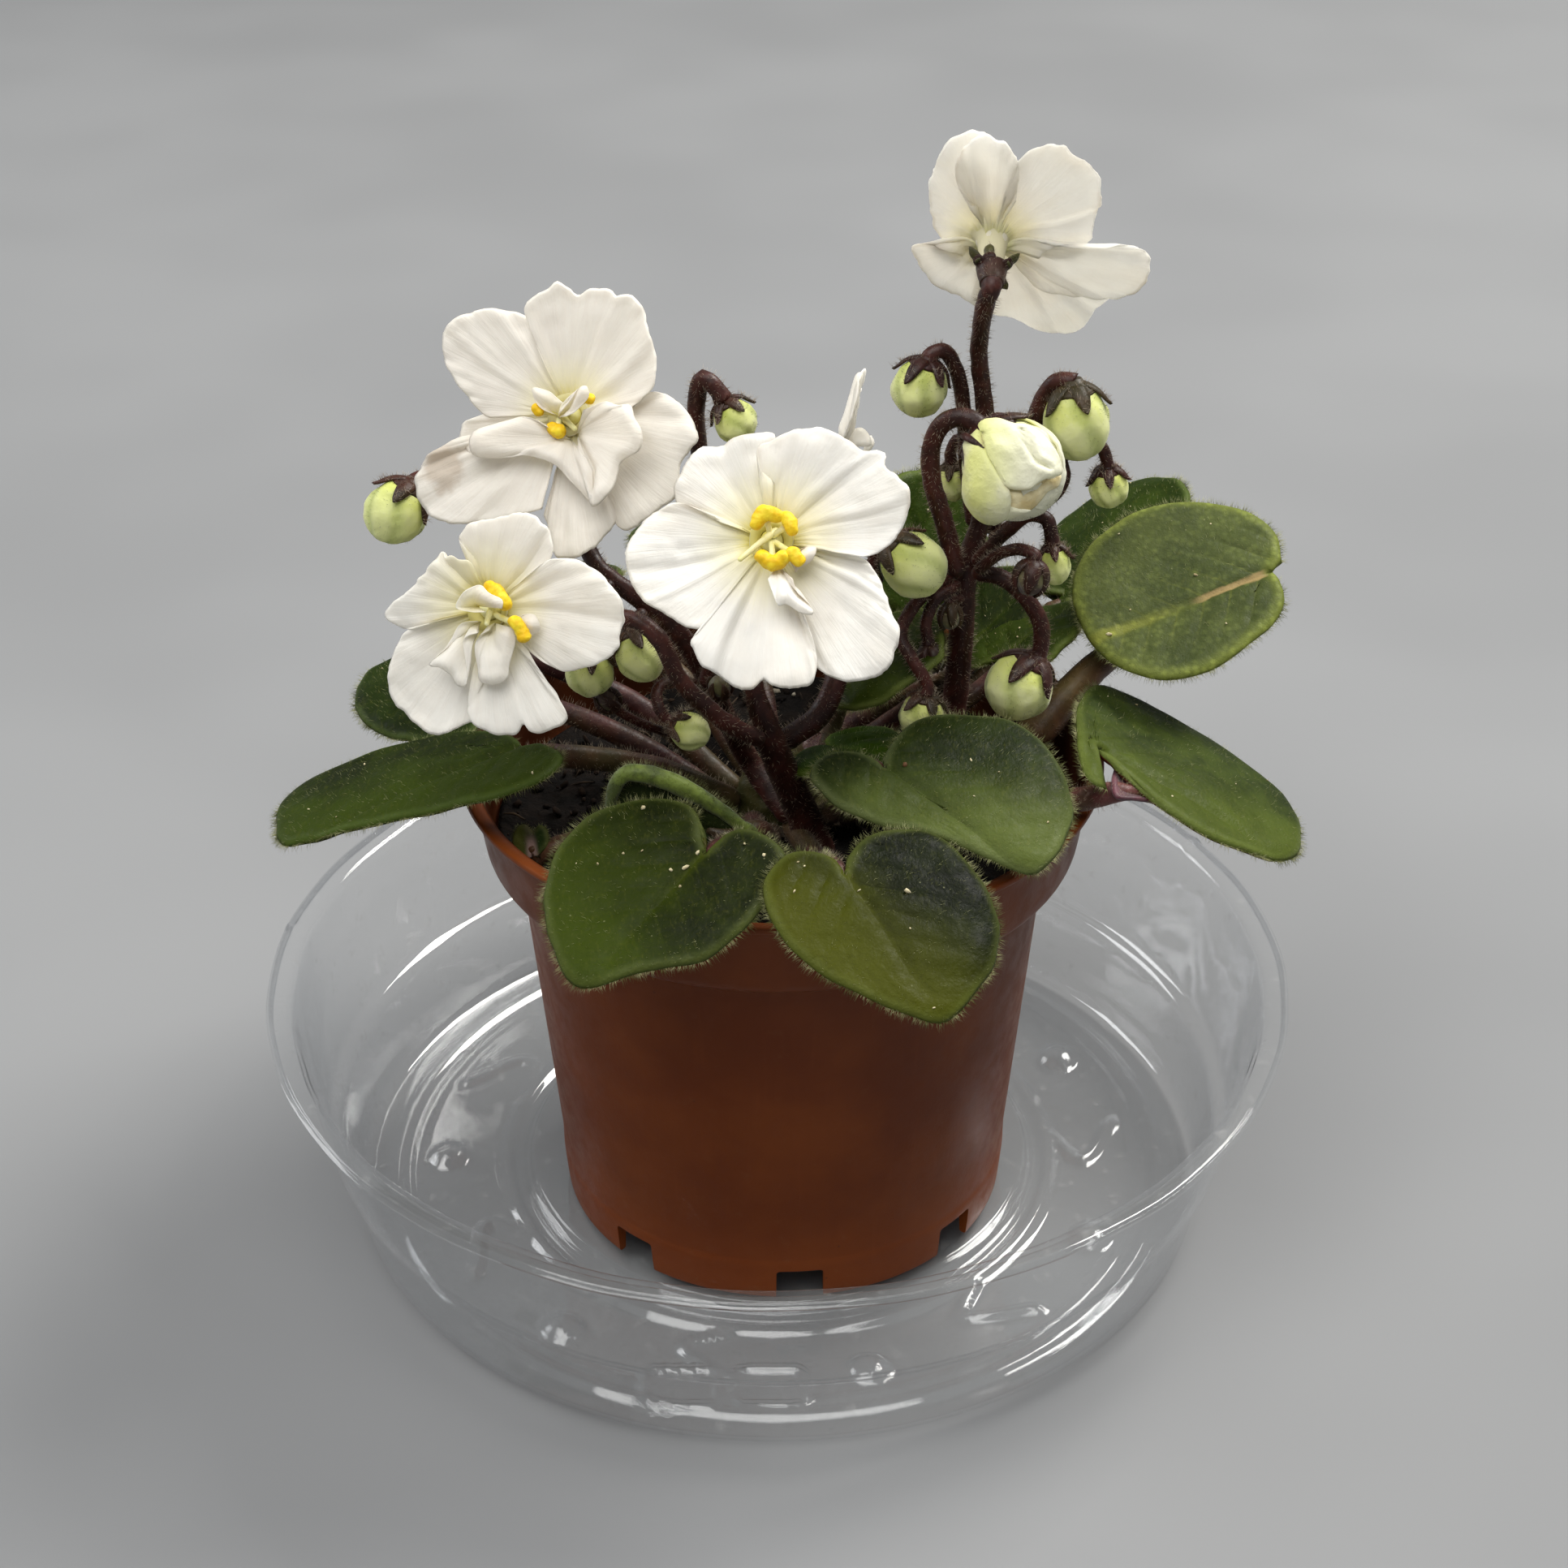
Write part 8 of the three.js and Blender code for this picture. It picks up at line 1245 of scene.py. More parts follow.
def open_petals(B, Bd, c, axis, e1, e2, rg):
    """Five crumpled petals wrapped over each other round the half-open flower."""
    r, Lh = Bd["r"] * 0.93, Bd["r"] * Bd["el"] * 0.95
    for j in range(5):
        a0 = 2 * np.pi * j / 5 + 0.5
        span = rg.uniform(0.62, 0.85)
        top = 0.86 + 0.10 * rg.uniform(-1, 1)
        nx, na = 22, 26
        X = np.linspace(-0.93, top, nx)[:, None] * np.ones((1, na))
        q = np.linspace(-1, 1, na)[None] * np.ones((nx, 1))
        w = span * (0.55 + 0.45 * np.sin(np.clip((X + 1) / 1.75, 0, 1) * np.pi * 0.62)) * np.sqrt(np.clip(1 - (np.clip((X - 0.35) / (top - 0.30), 0, 1)) ** 2.5, 0, 1))
        A = a0 + q * w + 0.18 * X
        lift = 1.0 + 0.035 + 0.05 * (q * 0.5 + 0.5) + 0.055 * smooth(np.abs(q), 0.65, 1.0)
        P0 = np.stack([A * r, X * Lh], -1)
        lift = lift + 0.035 * noise(P0, 0.5, 90 + j) + 0.022 * noise(P0, 1.3, 95 + j) * smooth(X, -0.7, 0.2)
        R = r * np.maximum(bud_profile(X), 0.18) * lift
        P = c + axis * (X[..., None] * Lh * 0.99) + R[..., None] * (np.cos(A)[..., None] * e1 + np.sin(A)[..., None] * e2)
        nr = unit(P - c - axis * (X[..., None] * Lh * 0.7))
        t_ = 0.14
        top_s, bot_s = P + nr * t_, P - nr * t_
        edge = np.minimum(1 - np.abs(q), (top - X) * 0.8) * 3.0
        rings = [np.vstack([top_s[i], bot_s[i][::-1]]) for i in range(nx)]
        V, F = ring_skin(rings)
        lu = np.concatenate([np.concatenate([X, X[:, ::-1]], 1).ravel(), [-1, top]])
        ed = np.concatenate([np.concatenate([edge, edge[:, ::-1]], 1).ravel(), [1, 0]])
        B.add(V, F, 0, lu=lu, edge=ed)


def front_petals(B, c, rg):
    """The broad petals that fold over the half-open flower, and its crumpled mouth."""
    e1, e2, n = (np.array(q, float) for q in OPEN["frame"])
    cr = np.array(OPEN["crease"], float)

    def cap(u, v):
        return 5.75 * np.sqrt(np.clip(1 - (u / 5.95) ** 2 - (v / 6.35) ** 2, 0.02, 1))

    for j, (key, lift, h0, tan) in enumerate([("inside", -0.55, 0.12, 1.0), ("band", -0.15, 0.15, 0.1), ("left", 0.16, 0.17, 0.0), ("upper", 0.36, 0.17, 0.15)]):
        base, pts = OPEN[key]
        rim, _ = catmull([base] + list(pts) + [base], 92)
        rim = rim[1:-1]
        base = np.array(base, float)
        rim = rim + 0.05 * np.stack([noise(rim, 0.9, 40 + j), noise(rim, 0.9, 50 + j)], -1)

        def height(u, v, D, t, S, lift=lift, j=j, crease=key == "upper"):
            P = np.stack([u, v], -1)
            z = cap(u, v) + lift + 0.26 * noise(P, 0.30, 60 + j) + 0.17 * noise(P, 0.75, 64 + j)
            z = z - 0.30 * np.exp(-(D / 0.45) ** 2) * (1.0 if j != 3 else 0.4)
            wr = noise(np.stack([u * 0.9 + v * 0.5, v * 0.25 - u * 0.2], -1), 0.9, 70 + j)
            z = z + 0.19 * wr * smooth(D, 0.1, 0.9)
            if crease:
                dd = seg_dist(P.reshape(-1, 2), cr[:-1], cr[1:]).reshape(np.shape(u))
                z = z - 0.42 * np.exp(-(dd / 0.28) ** 2) + 0.20 * np.exp(-((dd - 0.6) / 0.35) ** 2)
            return z, np.zeros_like(u), np.zeros_like(u)

        blade(B, np.asarray(c), e1, e2, n, rim, base, height, h0, 0.4, 16, mat=5 if key == "inside" else 0)
        B.a["lu"][-1] = B.a["lu"][-1] / 5.0
    # one thin sepal along the upper edge
    for q0, q1 in [((-3.0, 4.6), (-0.9, 5.1)), ((-5.4, 3.4), (-3.4, 1.6))]:
        a, b = (c + e1 * q[0] + e2 * q[1] + n * (cap(*q) + 0.35) for q in (q0, q1))
        strap(B, a, b, unit(a - c), unit(b - a), 0.7, 1, 2, rg)


for k, Bd in enumerate(BUDS):
    make_bud(Bd, k)

# ---------------------------------------------------------------- crown: short scaly stem
rg = np.random.default_rng(900)
B = Build()
cx, cy, cz = CROWN
V, F, info = tube([(cx, cy, cz - 0.6), (cx, cy, cz + 1.5), (cx, cy, cz + 4.0), (cx + 0.2, cy, cz + 6.4)], [5.1, 5.1, 4.3, 2.6], 40, 18, round1=True, rough=0.45, seed=9)
B.add(V, F, 0)
tube_hairs(B, info, 260, 0.8, 0.02, 1, rg)
for j in range(16):
    a = 2.4 * j
    z = cz + 1.0 + 0.33 * j
    d = np.array([math.cos(a), math.sin(a), 0])
    rr_ = 4.9 - 0.14 * j
    sepal(B, np.array([cx, cy, z]) + d * rr_ * 0.8, (0, 0, 1), d, 2.2, 2.0, 0.5, 0, hook=0.3, thick=0.4)
M_CROWN = stem_material("crown", "#2c1d14", "#4a3422", "#6f5a3c", 0.4, "#55602c", 0.4)
B.make("crown", [M_CROWN, M_HAIR_D], ["crown"])

# ---------------------------------------------------------------- lathe and pot


def lathe(prof, seg, cx=0.0, cy=0.0, cz=0.0, bend=None):
    """Closed surface of revolution from a profile that starts and ends on the axis, or closes on itself."""
    P = np.array(prof, float)
    ang = np.arange(seg) / seg * 2 * np.pi
    on0, on1 = P[0, 0] < 1e-6, P[-1, 0] < 1e-6
    body = P[1 if on0 else 0:-1 if on1 else None]
    R, Z = body[:, 0][:, None] * np.ones(seg), body[:, 1][:, None] * np.ones(seg)
    if bend is not None:
        R, Z = bend(R, Z, ang[None] * np.ones((len(body), 1)))
    G = np.stack([cx + R * np.cos(ang), cy + R * np.sin(ang), cz + Z], -1)
    n = len(body)
    V = G.reshape(-1, 3)
    i = np.arange(n - 1)[:, None] * seg
    j = np.arange(seg)[None]
    k = (j + 1) % seg
    a, b, c, d = i + j, i + k, i + seg + j, i + seg + k
    F = np.concatenate([np.stack([a, b, d], -1).reshape(-1, 3), np.stack([a, d, c], -1).reshape(-1, 3)])
    jj, kk, e = np.arange(seg), (np.arange(seg) + 1) % seg, (n - 1) * seg
    if on0 and on1:
        V = np.vstack([V, [cx, cy, cz + P[0, 1]], [cx, cy, cz + P[-1, 1]]])
        F = np.vstack([F, np.stack([np.full(seg, n * seg), kk, jj], 1), np.stack([np.full(seg, n * seg + 1), e + jj, e + kk], 1)])
    elif not on0:
        F = np.vstack([F, np.stack([e + jj, e + kk, kk], 1), np.stack([e + jj, kk, jj], 1)])
    return V, F


def orient(V, F):
    v = V[F]
    vol = (np.cross(v[:, 0], v[:, 1]) * v[:, 2]).sum() / 6
    return F if vol > 0 else F[:, ::-1]


def arc(p0, p1, p2, n=5):
    """rounded corner at p1"""
    p0, p1, p2 = map(np.array, (p0, p1, p2))
    t = np.linspace(0, 1, n)[:, None]
    return ((1 - t) ** 2 * p0 + 2 * t * (1 - t) * p1 + t * t * p2).tolist()


def raw_mesh(name, V, F):
    me = bpy.data.meshes.new(name)
    me.from_pydata((np.asarray(V) * 0.001).tolist(), [], np.asarray(F).tolist())
    me.update()
    return me


H = POT_H
prof = [(0, 5.4), (23.9, 5.4)]
prof += arc((23.9, 5.4), (24.35, 5.4), (24.4, 4.9)) + [(24.55, 0.3)]
prof += arc((24.55, 0.25), (24.6, 0.0), (24.85, 0.0)) + [(25.1, 0.0)]
prof += arc((25.1, 0.0), (25.42, 0.0), (25.48, 0.4)) + [(25.64, 2.2), (25.80, 4.7)]
prof += arc((25.82, 5.0), (25.88, 5.9), (25.82, 6.4)) + [(25.80, 6.9), (25.86, 7.4)]
for q in np.linspace(0.09, 0.97, 16):
    prof.append((25.55 + (29.1 - 25.55) * q, 5.5 + (45.3 - 5.5) * q))
prof += arc((29.12, 45.4), (29.2, 46.1), (29.85, 46.35)) + [(30.3, 46.6)]
prof += arc((30.7, 46.8), (32.3, 47.2), (32.65, 48.7), 9) + [(32.85, 49.9), (33.05, 51.4), (33.2, 52.8), (33.38, 54.2)]
prof += arc((33.5, 55.0), (33.7, 56.1), (34.4, 56.3)) + arc((34.6, 56.35), (35.0, 56.38), (35.0, 56.75)) + arc((35.0, 56.8), (35.0, 57.2), (34.65, 57.2)) + [(34.3, 57.2)]
prof += arc((34.3, 57.2), (33.8, 57.2), (33.3, 56.8)) + [(32.8, 55.9), (32.55, 54.2), (32.35, 52.6), (32.1, 50.4)]
prof += arc((31.9, 49.2), (31.6, 47.95), (30.5, 47.8)) + [(29.5, 47.45)]
prof += arc((29.1, 47.3), (28.35, 47.05), (28.2, 46.3)) + [(26.4, 26.0), (24.8, 7.3)]
prof += arc((24.76, 7.0), (24.7, 6.6), (24.1, 6.6)) + [(0, 6.6)]
V, F = lathe(prof, 180)
F = orient(V, F)
pot_me = raw_mesh("pot", V, F)
pot = bpy.data.objects.new("pot", pot_me)
bpy.context.scene.collection.objects.link(pot)
# cutters: eight notches with slightly rounded upper corners, four drain holes
cv, cf, cn = [], [], 0
for i in range(NOTCHES):
    a = -math.pi / 2 + math.radians(NOTCH_TURN + 360 / NOTCHES * i)
    hw, hh, rc = NOTCH_W / 2, NOTCH_H, 0.45
    sec = [(-hw - 0.05, -2.0), (hw + 0.05, -2.0), (hw, hh - rc), (hw - 0.13, hh - 0.13), (hw - rc, hh), (-hw + rc, hh), (-hw + 0.13, hh - 0.13), (-hw, hh - rc)]
    m = len(sec)
    pts = [(x, y, z) for x in (22.6, 28.0) for y, z in sec]
    pts = np.array([(x * math.cos(a) - y * math.sin(a), x * math.sin(a) + y * math.cos(a), z) for x, y, z in pts])
    f = [(q, (q + 1) % m, m + (q + 1) % m) for q in range(m)] + [(q, m + (q + 1) % m, m + q) for q in range(m)]
    f += [(0, q + 1, q) for q in range(1, m - 1)] + [(m, m + q, m + q + 1) for q in range(1, m - 1)]
    f = orient(pts, np.array(f))
    cv.append(pts); cf.append(f + cn); cn += len(pts)
for i in range(4):
    a = math.pi / 4 + i * math.pi / 2
    t = np.arange(28) / 28 * 2 * np.pi
    rings = [np.stack([15 * math.cos(a) + 2.4 * np.cos(t), 15 * math.sin(a) + 2.4 * np.sin(t), np.full(28, z)], -1) for z in (2.0, 9.5)]
    v_, f_ = ring_skin(rings)
    f_ = orient(v_, f_)
    cv.append(v_); cf.append(f_ + cn); cn += len(v_)
cut = bpy.data.objects.new("cut", raw_mesh("cut", np.vstack(cv), np.vstack(cf)))
bpy.context.scene.collection.objects.link(cut)
md = pot.modifiers.new("cut", "BOOLEAN")
md.object, md.operation, md.solver = cut, "DIFFERENCE", "EXACT"
bpy.context.view_layer.update()
dg = bpy.context.evaluated_depsgraph_get()
new = bpy.data.meshes.new_from_object(pot.evaluated_get(dg))
pot.modifiers.clear()
pot.data = new
new.name = "pot_mesh"
bpy.data.objects.remove(cut)
# a moulding is never perfectly round: very slight ovality and ripple, then into place
nv = len(new.vertices)
co = np.zeros(nv * 3)
new.vertices.foreach_get("co", co)
co = co.reshape(-1, 3) * 1000
th = np.arctan2(co[:, 1], co[:, 0])
rr = np.hypot(co[:, 0], co[:, 1])
sc = 1 + (0.0016 * np.sin(2 * th + 0.6) + 0.0008 * np.sin(5 * th)) * smooth(co[:, 2], 10, 50)
co[:, 0] *= sc
co[:, 1] *= sc
co[:, 2] += FOOT_UP * (1 - smooth(co[:, 2], 0.0, 9.0))
co += np.array([POT_X, POT_Y, POT_Z])
new.vertices.foreach_set("co", (co * 0.001).ravel())
new.polygons.foreach_set("use_smooth", np.ones(len(new.polygons), bool))
new.update()
new.set_sharp_from_angle(angle=math.radians(34))


def pot_material():
    g = Graph("pot_plastic")
    sep = g.node("ShaderNodeSeparateXYZ", {0: g.coord})
    z = sep.outputs["Z"]
    n1 = g.noise(60, 4, 0.6)
    n2 = g.noise(420, 4, 0.6)
    n3 = g.noise(2600, 2, 0.5)
    c = g.mix(g.ramp(n1, 0.3, 0.75), lin("#5c2809"), lin("#6e350f"))
    # painted light: the lowest part of the wall made lighter and more orange
    c = g.mix(g.ramp(z, 0.002, 0.016, 0.5, 0.0), c, lin("#86421a"))
    # painted highlight: the flat top of the rim made lighter
    c = g.mix(g.ramp(z, 0.0576, 0.0583, 0.0, 0.6), c, lin("#7d3f1a"))
    # the inner wall above the potting mix, darkened: painted shade inside the collar
    px_, py_ = g.math("SUBTRACT", sep.outputs["X"], POT_X * 0.001), g.math("SUBTRACT", sep.outputs["Y"], POT_Y * 0.001)
    rad = g.math("SQRT", g.math("ADD", g.math("MULTIPLY", px_, px_), g.math("MULTIPLY", py_, py_)))
    over = g.math("SUBTRACT", rad, g.math("MULTIPLY", z, 0.14))
    inner_wall_shade = g.math("MULTIPLY", g.ramp(over, 0.02505, 0.02540, 1.0, 0.0), g.ramp(z, 0.0480, 0.0495, 0.0, 1.0))
    c = g.mix(g.math("MULTIPLY", inner_wall_shade, 0.8), c, lin("#2c150b"))
    # thin sheet: light comes through a little along fine vertical flow marks
    flow = g.noise(900, 2, 0.5, vec=g.scaled(1, 1, 0.06))
    c = g.mix(g.ramp(flow, 0.55, 0.8, 0.0, 0.14), c, lin("#7d3e1e"))
    # dust and dried splashes
    dust = g.math("MULTIPLY", g.ramp(n2, 0.58, 0.78), g.ramp(z, 0.02, 0.0, 0.3, 0.75))
    c = g.mix(g.math("MULTIPLY", dust, 0.22), c, lin("#8a6a4e"))
    vor = g.voronoi(260)
    c = g.mix(g.math("MULTIPLY", g.ramp(vor, 0.015, 0.06, 1.0, 0.0), 0.5), c, lin("#3d2216"))
    rough = g.ramp(n2, 0.3, 0.75, 0.36, 0.52)
    h = g.math("ADD", g.math("MULTIPLY", n3, 0.5), g.math("MULTIPLY", flow, 0.35))
    nb = g.bump(h, 0.22, 0.00012)
    return g.done(g.shade(c, rough, nb, Specular_IOR_Level=0.17))


new.materials.clear()
new.materials.append(pot_material())
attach(pot, "root")
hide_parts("pot")
COUNT["pot"] = len(new.polygons)

# ---------------------------------------------------------------- potting mix
rg = np.random.default_rng(1000)
B = Build()
zs = SOIL_TOP - POT_Z
prof = [(0, 6.9), (15, 6.9), (24.1, 6.9), (27.8, 46.5), (29.2, 47.9), (30.5, 48.4), (31.2, 49.1), (30.4, 49.4)]
for r_ in np.linspace(29.4, 1.0, 44):
    prof.append((r_, 49.35 - 0.25 * smooth(np.array(r_), 14, 29) + 0.5 * smooth(np.array(30 - r_), 0, 28)))
prof.append((0, 49.8))


def soil_bend(R, Z, A):
    P = np.stack([R * np.cos(A), R * np.sin(A)], -1)
    top = smooth(Z, 49.0, 49.2) * smooth(31 - R, 0.3, 2.0)
    bump = 0.9 * noise(P, 0.16, 3) + 0.55 * noise(P, 0.42, 4) + 0.32 * noise(P, 0.95, 5) + 0.16 * noise(P, 2.1, 6)
    return R, Z + top * (bump * 0.75 - 0.35)


V, F = lathe(prof, 150, POT_X, POT_Y, POT_Z, soil_bend)
B.add(V, orient(V, F), 0)
k = 620
a, r_ = rg.uniform(0, 2 * np.pi, k), 31.0 * np.sqrt(rg.uniform(0.0, 1, k))
P = np.stack([r_ * np.cos(a), r_ * np.sin(a)], -1)
zt = 49.5 + (0.9 * noise(P, 0.16, 3) + 0.55 * noise(P, 0.42, 4)) * 0.75 - 0.3
G = np.stack([POT_X + P[:, 0] * 0.975, POT_Y + P[:, 1] * 0.975, POT_Z + zt], -1)
size = rg.uniform(0.25, 0.95, k) * rg.uniform(0.5, 1.0, k)
lumps(B, G[:560], size[:560], 1, rg)
lumps(B, G[560:567], size[560:567] * 1.0, 2, rg)
lumps(B, G[567:585], size[567:585] * 1.1, 1, rg)
lumps(B, G[585:], size[585:] * 0.9, 3, rg)
for i in range(46):
    a = rg.uniform(0, 2 * np.pi)
    q = 29.5 * math.sqrt(rg.uniform(0.05, 1))
    p = np.array([POT_X + q * math.cos(a), POT_Y + q * math.sin(a), POT_Z + 49.9])
    d = unit(rg.normal(size=3) * np.array([1, 1, 0.25]))
    ln = rg.uniform(1.5, 4.5)
    mid = p + d * ln * 0.5 + np.array([0, 0, rg.uniform(0.1, 0.6)])
    V, F, _ = tube([p, mid, p + d * ln], [0.10, 0.16, 0.07], 6, 6)
    B.add(V, F, 4)
M_SOIL = two_tone("potting_mix", "#090604", "#17100b", 380, 0.95, 0.0008, 900, 0.2, detail=5, strength=0.8)
M_GRAIN = two_tone("peat_grain", "#0f0a07", "#22170f", 300, 0.95, 0.0003, 1500, 0.2)
M_PERL = two_tone("perlite", "#a39b8a", "#7d7565", 500, 0.85, 0.0003, 1800, 0.3)
M_BARK = two_tone("bark", "#2a1d12", "#3f2d1c", 300, 0.85, 0.0003, 1200, 0.3)
M_FIBRE = two_tone("fibre", "#3d2f1f", "#1e150d", 400, 0.8, 0.0002, 1200, 0.3)
B.make("soil", [M_SOIL, M_GRAIN, M_PERL, M_BARK, M_FIBRE], ["soil"])

# ---------------------------------------------------------------- saucer: one thin clear sheet
NA = 324
path = []
for r_ in (0.0, 6.0, 12.0, 18.0, 23.0, 26.5):
    path.append((r_, 0.35))
for r_ in np.linspace(28.5, 48.0, 46):
    path.append((r_, 0.35))
path += arc((48.2, 0.35), (49.3, 0.38), (49.75, 1.5), 6)[1:]
for q in np.linspace(0.12, 1.0, 7):
    path.append((49.75 + (51.0 - 49.75) * q, 1.5 + (9.6 - 1.5) * q))
path += arc((51.05, 9.9), (51.2, 10.9), (51.9, 11.2), 4)[1:]
path += arc((52.1, 11.3), (52.6, 11.5), (52.75, 12.3), 4)[1:]
for q in np.linspace(0.08, 1.0, 12):
    path.append((52.75 + (55.5 - 52.75) * q, 12.3 + (25.9 - 12.3) * q))
path += arc((55.55, 26.2), (55.7, 27.1), (56.5, 27.2), 5)[1:]
path += [(57.3, 27.28)] + arc((57.6, 27.3), (58.15, 27.35), (58.15, 26.85), 5)[1:]
path = np.array(path)
np_ = len(path)
ang = np.arange(NA) / NA * 2 * np.pi
R0, A0 = path[:, 0][:, None] * np.ones(NA), np.ones((np_, 1)) * ang[None]
Z0 = path[:, 1][:, None] * np.ones(NA)
# moulded relief of the floor: two rings, seven domes, seven S-shaped ribs, two plain rectangular ribs
lift = 0.85 * np.exp(-(((R0 - 32.4) / 0.85) ** 2)) + 0.30 * np.exp(-(((R0 - 30.2) / 0.7) ** 2)) + 0.7 * np.exp(-(((R0 - 45.4) / 0.8) ** 2)) + 0.35 * np.exp(-(((R0 - 43.3) / 0.6) ** 2))
lift = lift + 1.80 * (1 - smooth(R0, 29.0, 30.6))
X0, Y0 = R0 * np.cos(A0), R0 * np.sin(A0)
for i in range(7):
    t = math.radians(-178 + 360 / 7 * i)
    dx, dy = X0 - 39.6 * math.cos(t), Y0 - 39.6 * math.sin(t)
    dd = np.sqrt(dx * dx + dy * dy)
    lift = np.maximum(lift, 1.35 * np.clip(1 - (dd / 2.5) ** 2, 0, 1) ** 0.7)
    t2 = math.radians(-178 + 360 / 7 * (i + 0.5))
    sp = []
    for q in np.linspace(0, 1, 34):
        rr_ = 33.0 + 8.2 * q
        aa = t2 + math.radians(5.2) * math.sin(q * 2 * math.pi * 0.82 + 2.7)
        sp.append((rr_ * math.cos(aa), rr_ * math.sin(aa)))
    sp = np.array(sp)
    near = (np.abs((A0 - t2 + np.pi) % (2 * np.pi) - np.pi) < 0.3) & (R0 > 30) & (R0 < 44)
    pts = np.stack([X0[near], Y0[near]], 1)
    ds = seg_dist(pts, sp[:-1], sp[1:])
    lift[near] = np.maximum(lift[near], 0.85 * np.exp(-((ds / 0.6) ** 2)))
for xc, wx in ((-10.0, 4.0), (-0.6, 3.8)):
    yc, wy, rc = -41.4, 2.9, 1.2
    qx, qy = np.abs(X0 - xc) - wx + rc, np.abs(Y0 - yc) - wy + rc
    sd = np.hypot(np.maximum(qx, 0), np.maximum(qy, 0)) + np.minimum(np.maximum(qx, qy), 0) - rc
    lift = np.maximum(lift, 1.1 * np.exp(-((sd / 0.45) ** 2)) + 0.28 * (sd < 0) * np.clip(-sd, 0, 0.6) / 0.6)
floor_mask = (path[:, 0] < 48.1)[:, None]
Z1 = Z0 + np.where(floor_mask, lift * smooth(48.0 - R0, 0.0, 1.2), 0)
# the wall is slightly wavy, as thin vinyl is, and the lip has two small seams
wav = 0.10 * np.sin(3 * A0 + 0.4) + 0.07 * np.sin(7 * A0) + 0.05 * np.sin(23 * A0 + 1.0)
R1 = R0 + wav * smooth(Z0, 8, 26)
Z1 = Z1 + (0.10 * np.sin(2 * A0 + 1.0) + 0.05 * np.sin(11 * A0)) * smooth(Z0, 20, 27)
for t in (math.radians(28), math.radians(172)):
    da = np.abs((A0 - t + np.pi) % (2 * np.pi) - np.pi)
    Z1 = Z1 + 0.25 * np.exp(-((da / 0.012) ** 2)) * smooth(Z0, 26.5, 27.2)
G = np.stack([R1 * np.cos(A0), R1 * np.sin(A0), Z1], -1)
gR = np.gradient(G, axis=0)
gA = np.roll(G, -1, 1) - np.roll(G, 1, 1)
nr = unit(np.cross(gA, gR))
nr[0] = (0, 0, 1)
nr = nr * np.where((nr[..., 2:3] * 1.0 - (nr[..., 0:1] * np.cos(A0)[..., None] + nr[..., 1:2] * np.sin(A0)[..., None]) * 1.0) > 0, 1, -1)
half = np.full((np_, 1, 1), 0.21)
half[:, 0, 0] = np.where(path[:, 1] > 26.9, 0.30, 0.21)
half[-1] = 0.34
half[-2] = 0.42
half[-3] = 0.40
top, bot = G + nr * half, G - nr * half
bot[..., 2] = np.maximum(bot[..., 2], 0.02)
B = Build()
body = slice(1, np_)
Vt, Vb = top[body].reshape(-1, 3), bot[body].reshape(-1, 3)
nb_ = np_ - 1
V = np.vstack([Vt, Vb, top[0, 0][None] * [0, 0, 1], bot[0, 0][None] * [0, 0, 1]])
i = np.arange(nb_ - 1)[:, None] * NA
j = np.arange(NA)[None]
k = (j + 1) % NA
a_, b_, c_, d_ = i + j, i + k, i + NA + j, i + NA + k
up = np.concatenate([np.stack([a_, c_, d_], -1).reshape(-1, 3), np.stack([a_, d_, b_], -1).reshape(-1, 3)])
o_ = nb_ * NA
F = np.vstack([up, up[:, ::-1] + o_])
jj, kk, e = np.arange(NA), (np.arange(NA) + 1) % NA, (nb_ - 1) * NA
F = np.vstack([F, np.stack([e + jj, o_ + e + jj, o_ + e + kk], 1), np.stack([e + jj, o_ + e + kk, e + kk], 1),
               np.stack([np.full(NA, 2 * o_), jj, kk], 1), np.stack([np.full(NA, 2 * o_ + 1), o_ + kk, o_ + jj], 1)])
F = orient(V, F)
B.add(V, F, 0)


def clear_material():
    g = Graph("clear_vinyl")
    nb = g.bump(g.noise(90, 2, 0.5), 0.35, 0.0006)
    lw = g.node("ShaderNodeLayerWeight", {"Blend": 0.5, "Normal": nb}).outputs["Facing"]
    f = g.math("ADD", g.math("MULTIPLY", g.math("POWER", lw, 5.0), 0.95), 0.045, clamp=True)
    tint = g.mix(g.ramp(lw, 0.35, 1.0), (0.985, 0.988, 0.99, 1), (0.93, 0.94, 0.95, 1))
    tr = g.node("ShaderNodeBsdfTransparent", {"Color": tint}).outputs[0]
    gl = g.node("ShaderNodeBsdfGlossy", {"Color": (1, 1, 1, 1), "Roughness": 0.06, "Normal": nb}).outputs[0]
    m = g.node("ShaderNodeMixShader", {0: f, 1: tr, 2: gl}).outputs[0]
    # scratches, scale and dust: a little scattered white
    dirt = g.math("MULTIPLY", g.ramp(g.noise(500, 2, 0.7), 0.58, 0.80), 0.10)
    dirt = g.math("ADD", dirt, 0.02)
    df = g.node("ShaderNodeBsdfDiffuse", {"Color": lin("#dcdcd8")}).outputs[0]
    m = g.node("ShaderNodeMixShader", {0: dirt, 1: m, 2: df}).outputs[0]
    return g.done(m)


sa = B.make("saucer", [clear_material()], ["saucer"])

# ---------------------------------------------------------------- stage, light and camera
floor_me = raw_mesh("floor", [(-3000, -3000, -0.05), (3000, -3000, -0.05), (3000, 3000, -0.05), (-3000, 3000, -0.05)], [(0, 1, 2), (0, 2, 3)])
floor = bpy.data.objects.new("floor", floor_me)
bpy.context.scene.collection.objects.link(floor)
g = Graph("floor")
c = g.mix(g.ramp(g.noise(9, 2, 0.6), 0.3, 0.7), lin("#7e7f80"), lin("#858687"))
floor_me.materials.append(g.done(g.shade(c, 0.85, Specular_IOR_Level=0.2)))

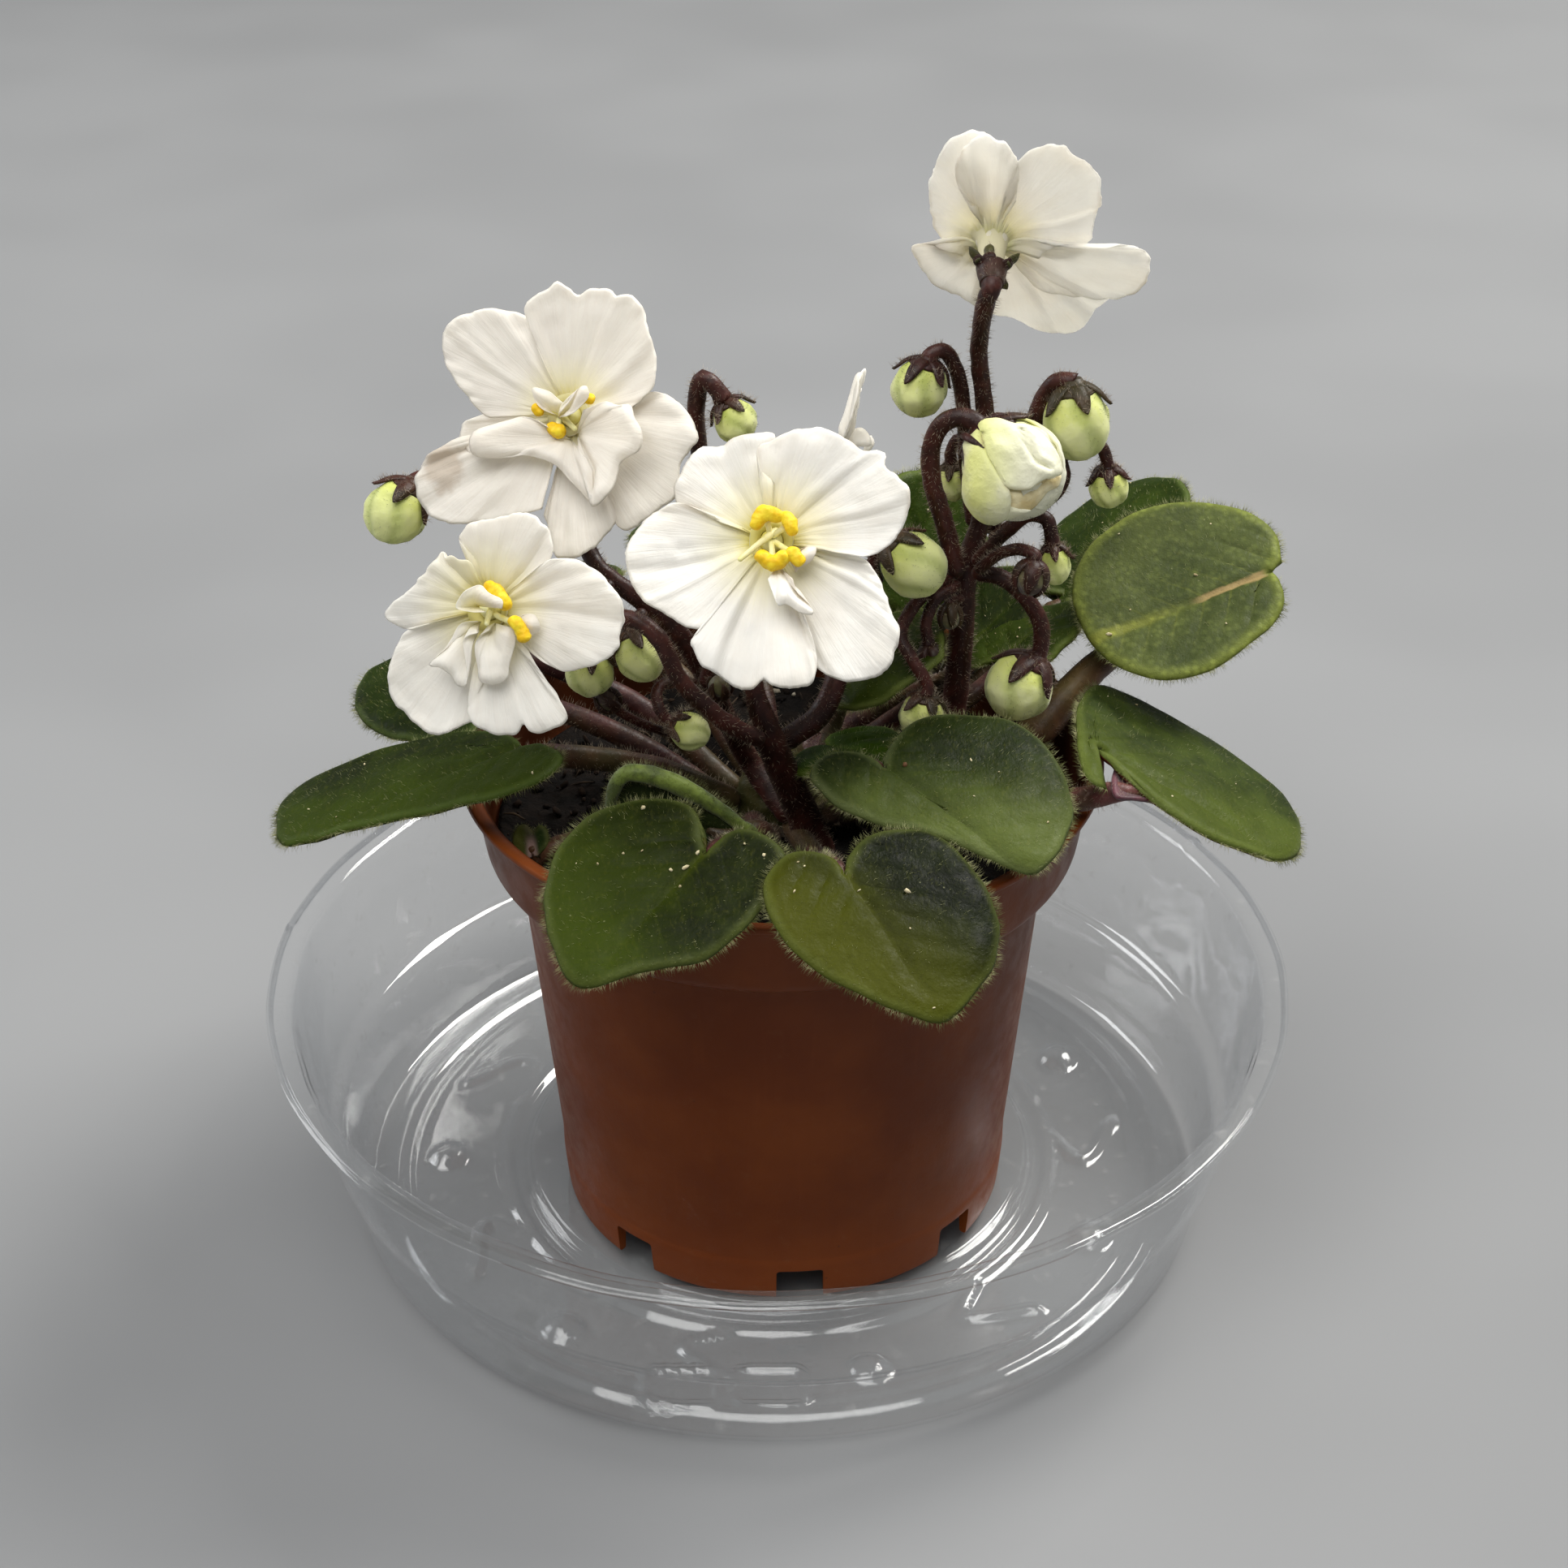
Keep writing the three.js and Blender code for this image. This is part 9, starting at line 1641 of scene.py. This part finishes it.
world = bpy.data.worlds.new("studio")
bpy.context.scene.world = world
world.use_nodes = True
bg = world.node_tree.nodes["Background"]
bg.inputs["Color"].default_value = (0.92, 0.94, 0.97, 1)
bg.inputs["Strength"].default_value = 0.30


def area(name, loc, target, size, power, color=(1, 1, 1), size_y=None):
    L = bpy.data.lights.new(name, "AREA")
    L.shape = "RECTANGLE" if size_y else "SQUARE"
    L.size = size
    if size_y:
        L.size_y = size_y
    L.energy = power
    L.color = color
    ob = bpy.data.objects.new(name, L)
    bpy.context.scene.collection.objects.link(ob)
    z = np.array(loc, float) - np.array(target, float)
    z /= np.linalg.norm(z)
    x = np.cross((0, 0, 1.0), z)
    x /= np.linalg.norm(x)
    y = np.cross(z, x)
    ob.matrix_world = Matrix(((x[0], y[0], z[0], loc[0]), (x[1], y[1], z[1], loc[1]), (x[2], y[2], z[2], loc[2]), (0, 0, 0, 1)))
    return ob


area("key", (0.55, 0.40, 0.85), (0.0, 0.0, 0.06), 0.45, 12.6, (1.0, 0.98, 0.94))
area("top", (-0.15, -0.35, 1.0), (0.0, 0.0, 0.06), 0.9, 10.8, (1.0, 0.99, 0.97))
area("rim_left", (-0.75, 0.30, 0.45), (0.0, 0.0, 0.05), 0.35, 2.2, (0.97, 0.985, 1.0))

cam_data = bpy.data.cameras.new("camera")
cam = bpy.data.objects.new("camera", cam_data)
bpy.context.scene.collection.objects.link(cam)
right = (0.99997131, 0.00662009, -0.00368213)
upv = (-0.00026768, 0.51665339, 0.85619461)
fwd = (-0.00757046, 0.85616906, -0.51664033)
loc = (3.26304e-3, -270.32372e-3, 214.99337e-3)
cam.matrix_world = Matrix(((right[0], upv[0], -fwd[0], loc[0]), (right[1], upv[1], -fwd[1], loc[1]), (right[2], upv[2], -fwd[2], loc[2]), (0, 0, 0, 1)))
cam_data.sensor_fit = "HORIZONTAL"
cam_data.sensor_width = 36.0
cam_data.lens = 36.0 * 3500.677 / 1932.0
cam_data.clip_start = 0.01
cam_data.clip_end = 20.0
bpy.context.scene.camera = cam
bpy.context.scene.view_settings.view_transform = "Standard"
bpy.context.scene.view_settings.look = "None"
bpy.context.scene.view_settings.exposure = 0.0

total = sum(COUNT.values())
print("triangles", total, "largest", sorted(COUNT.items(), key=lambda q: -q[1])[:4])
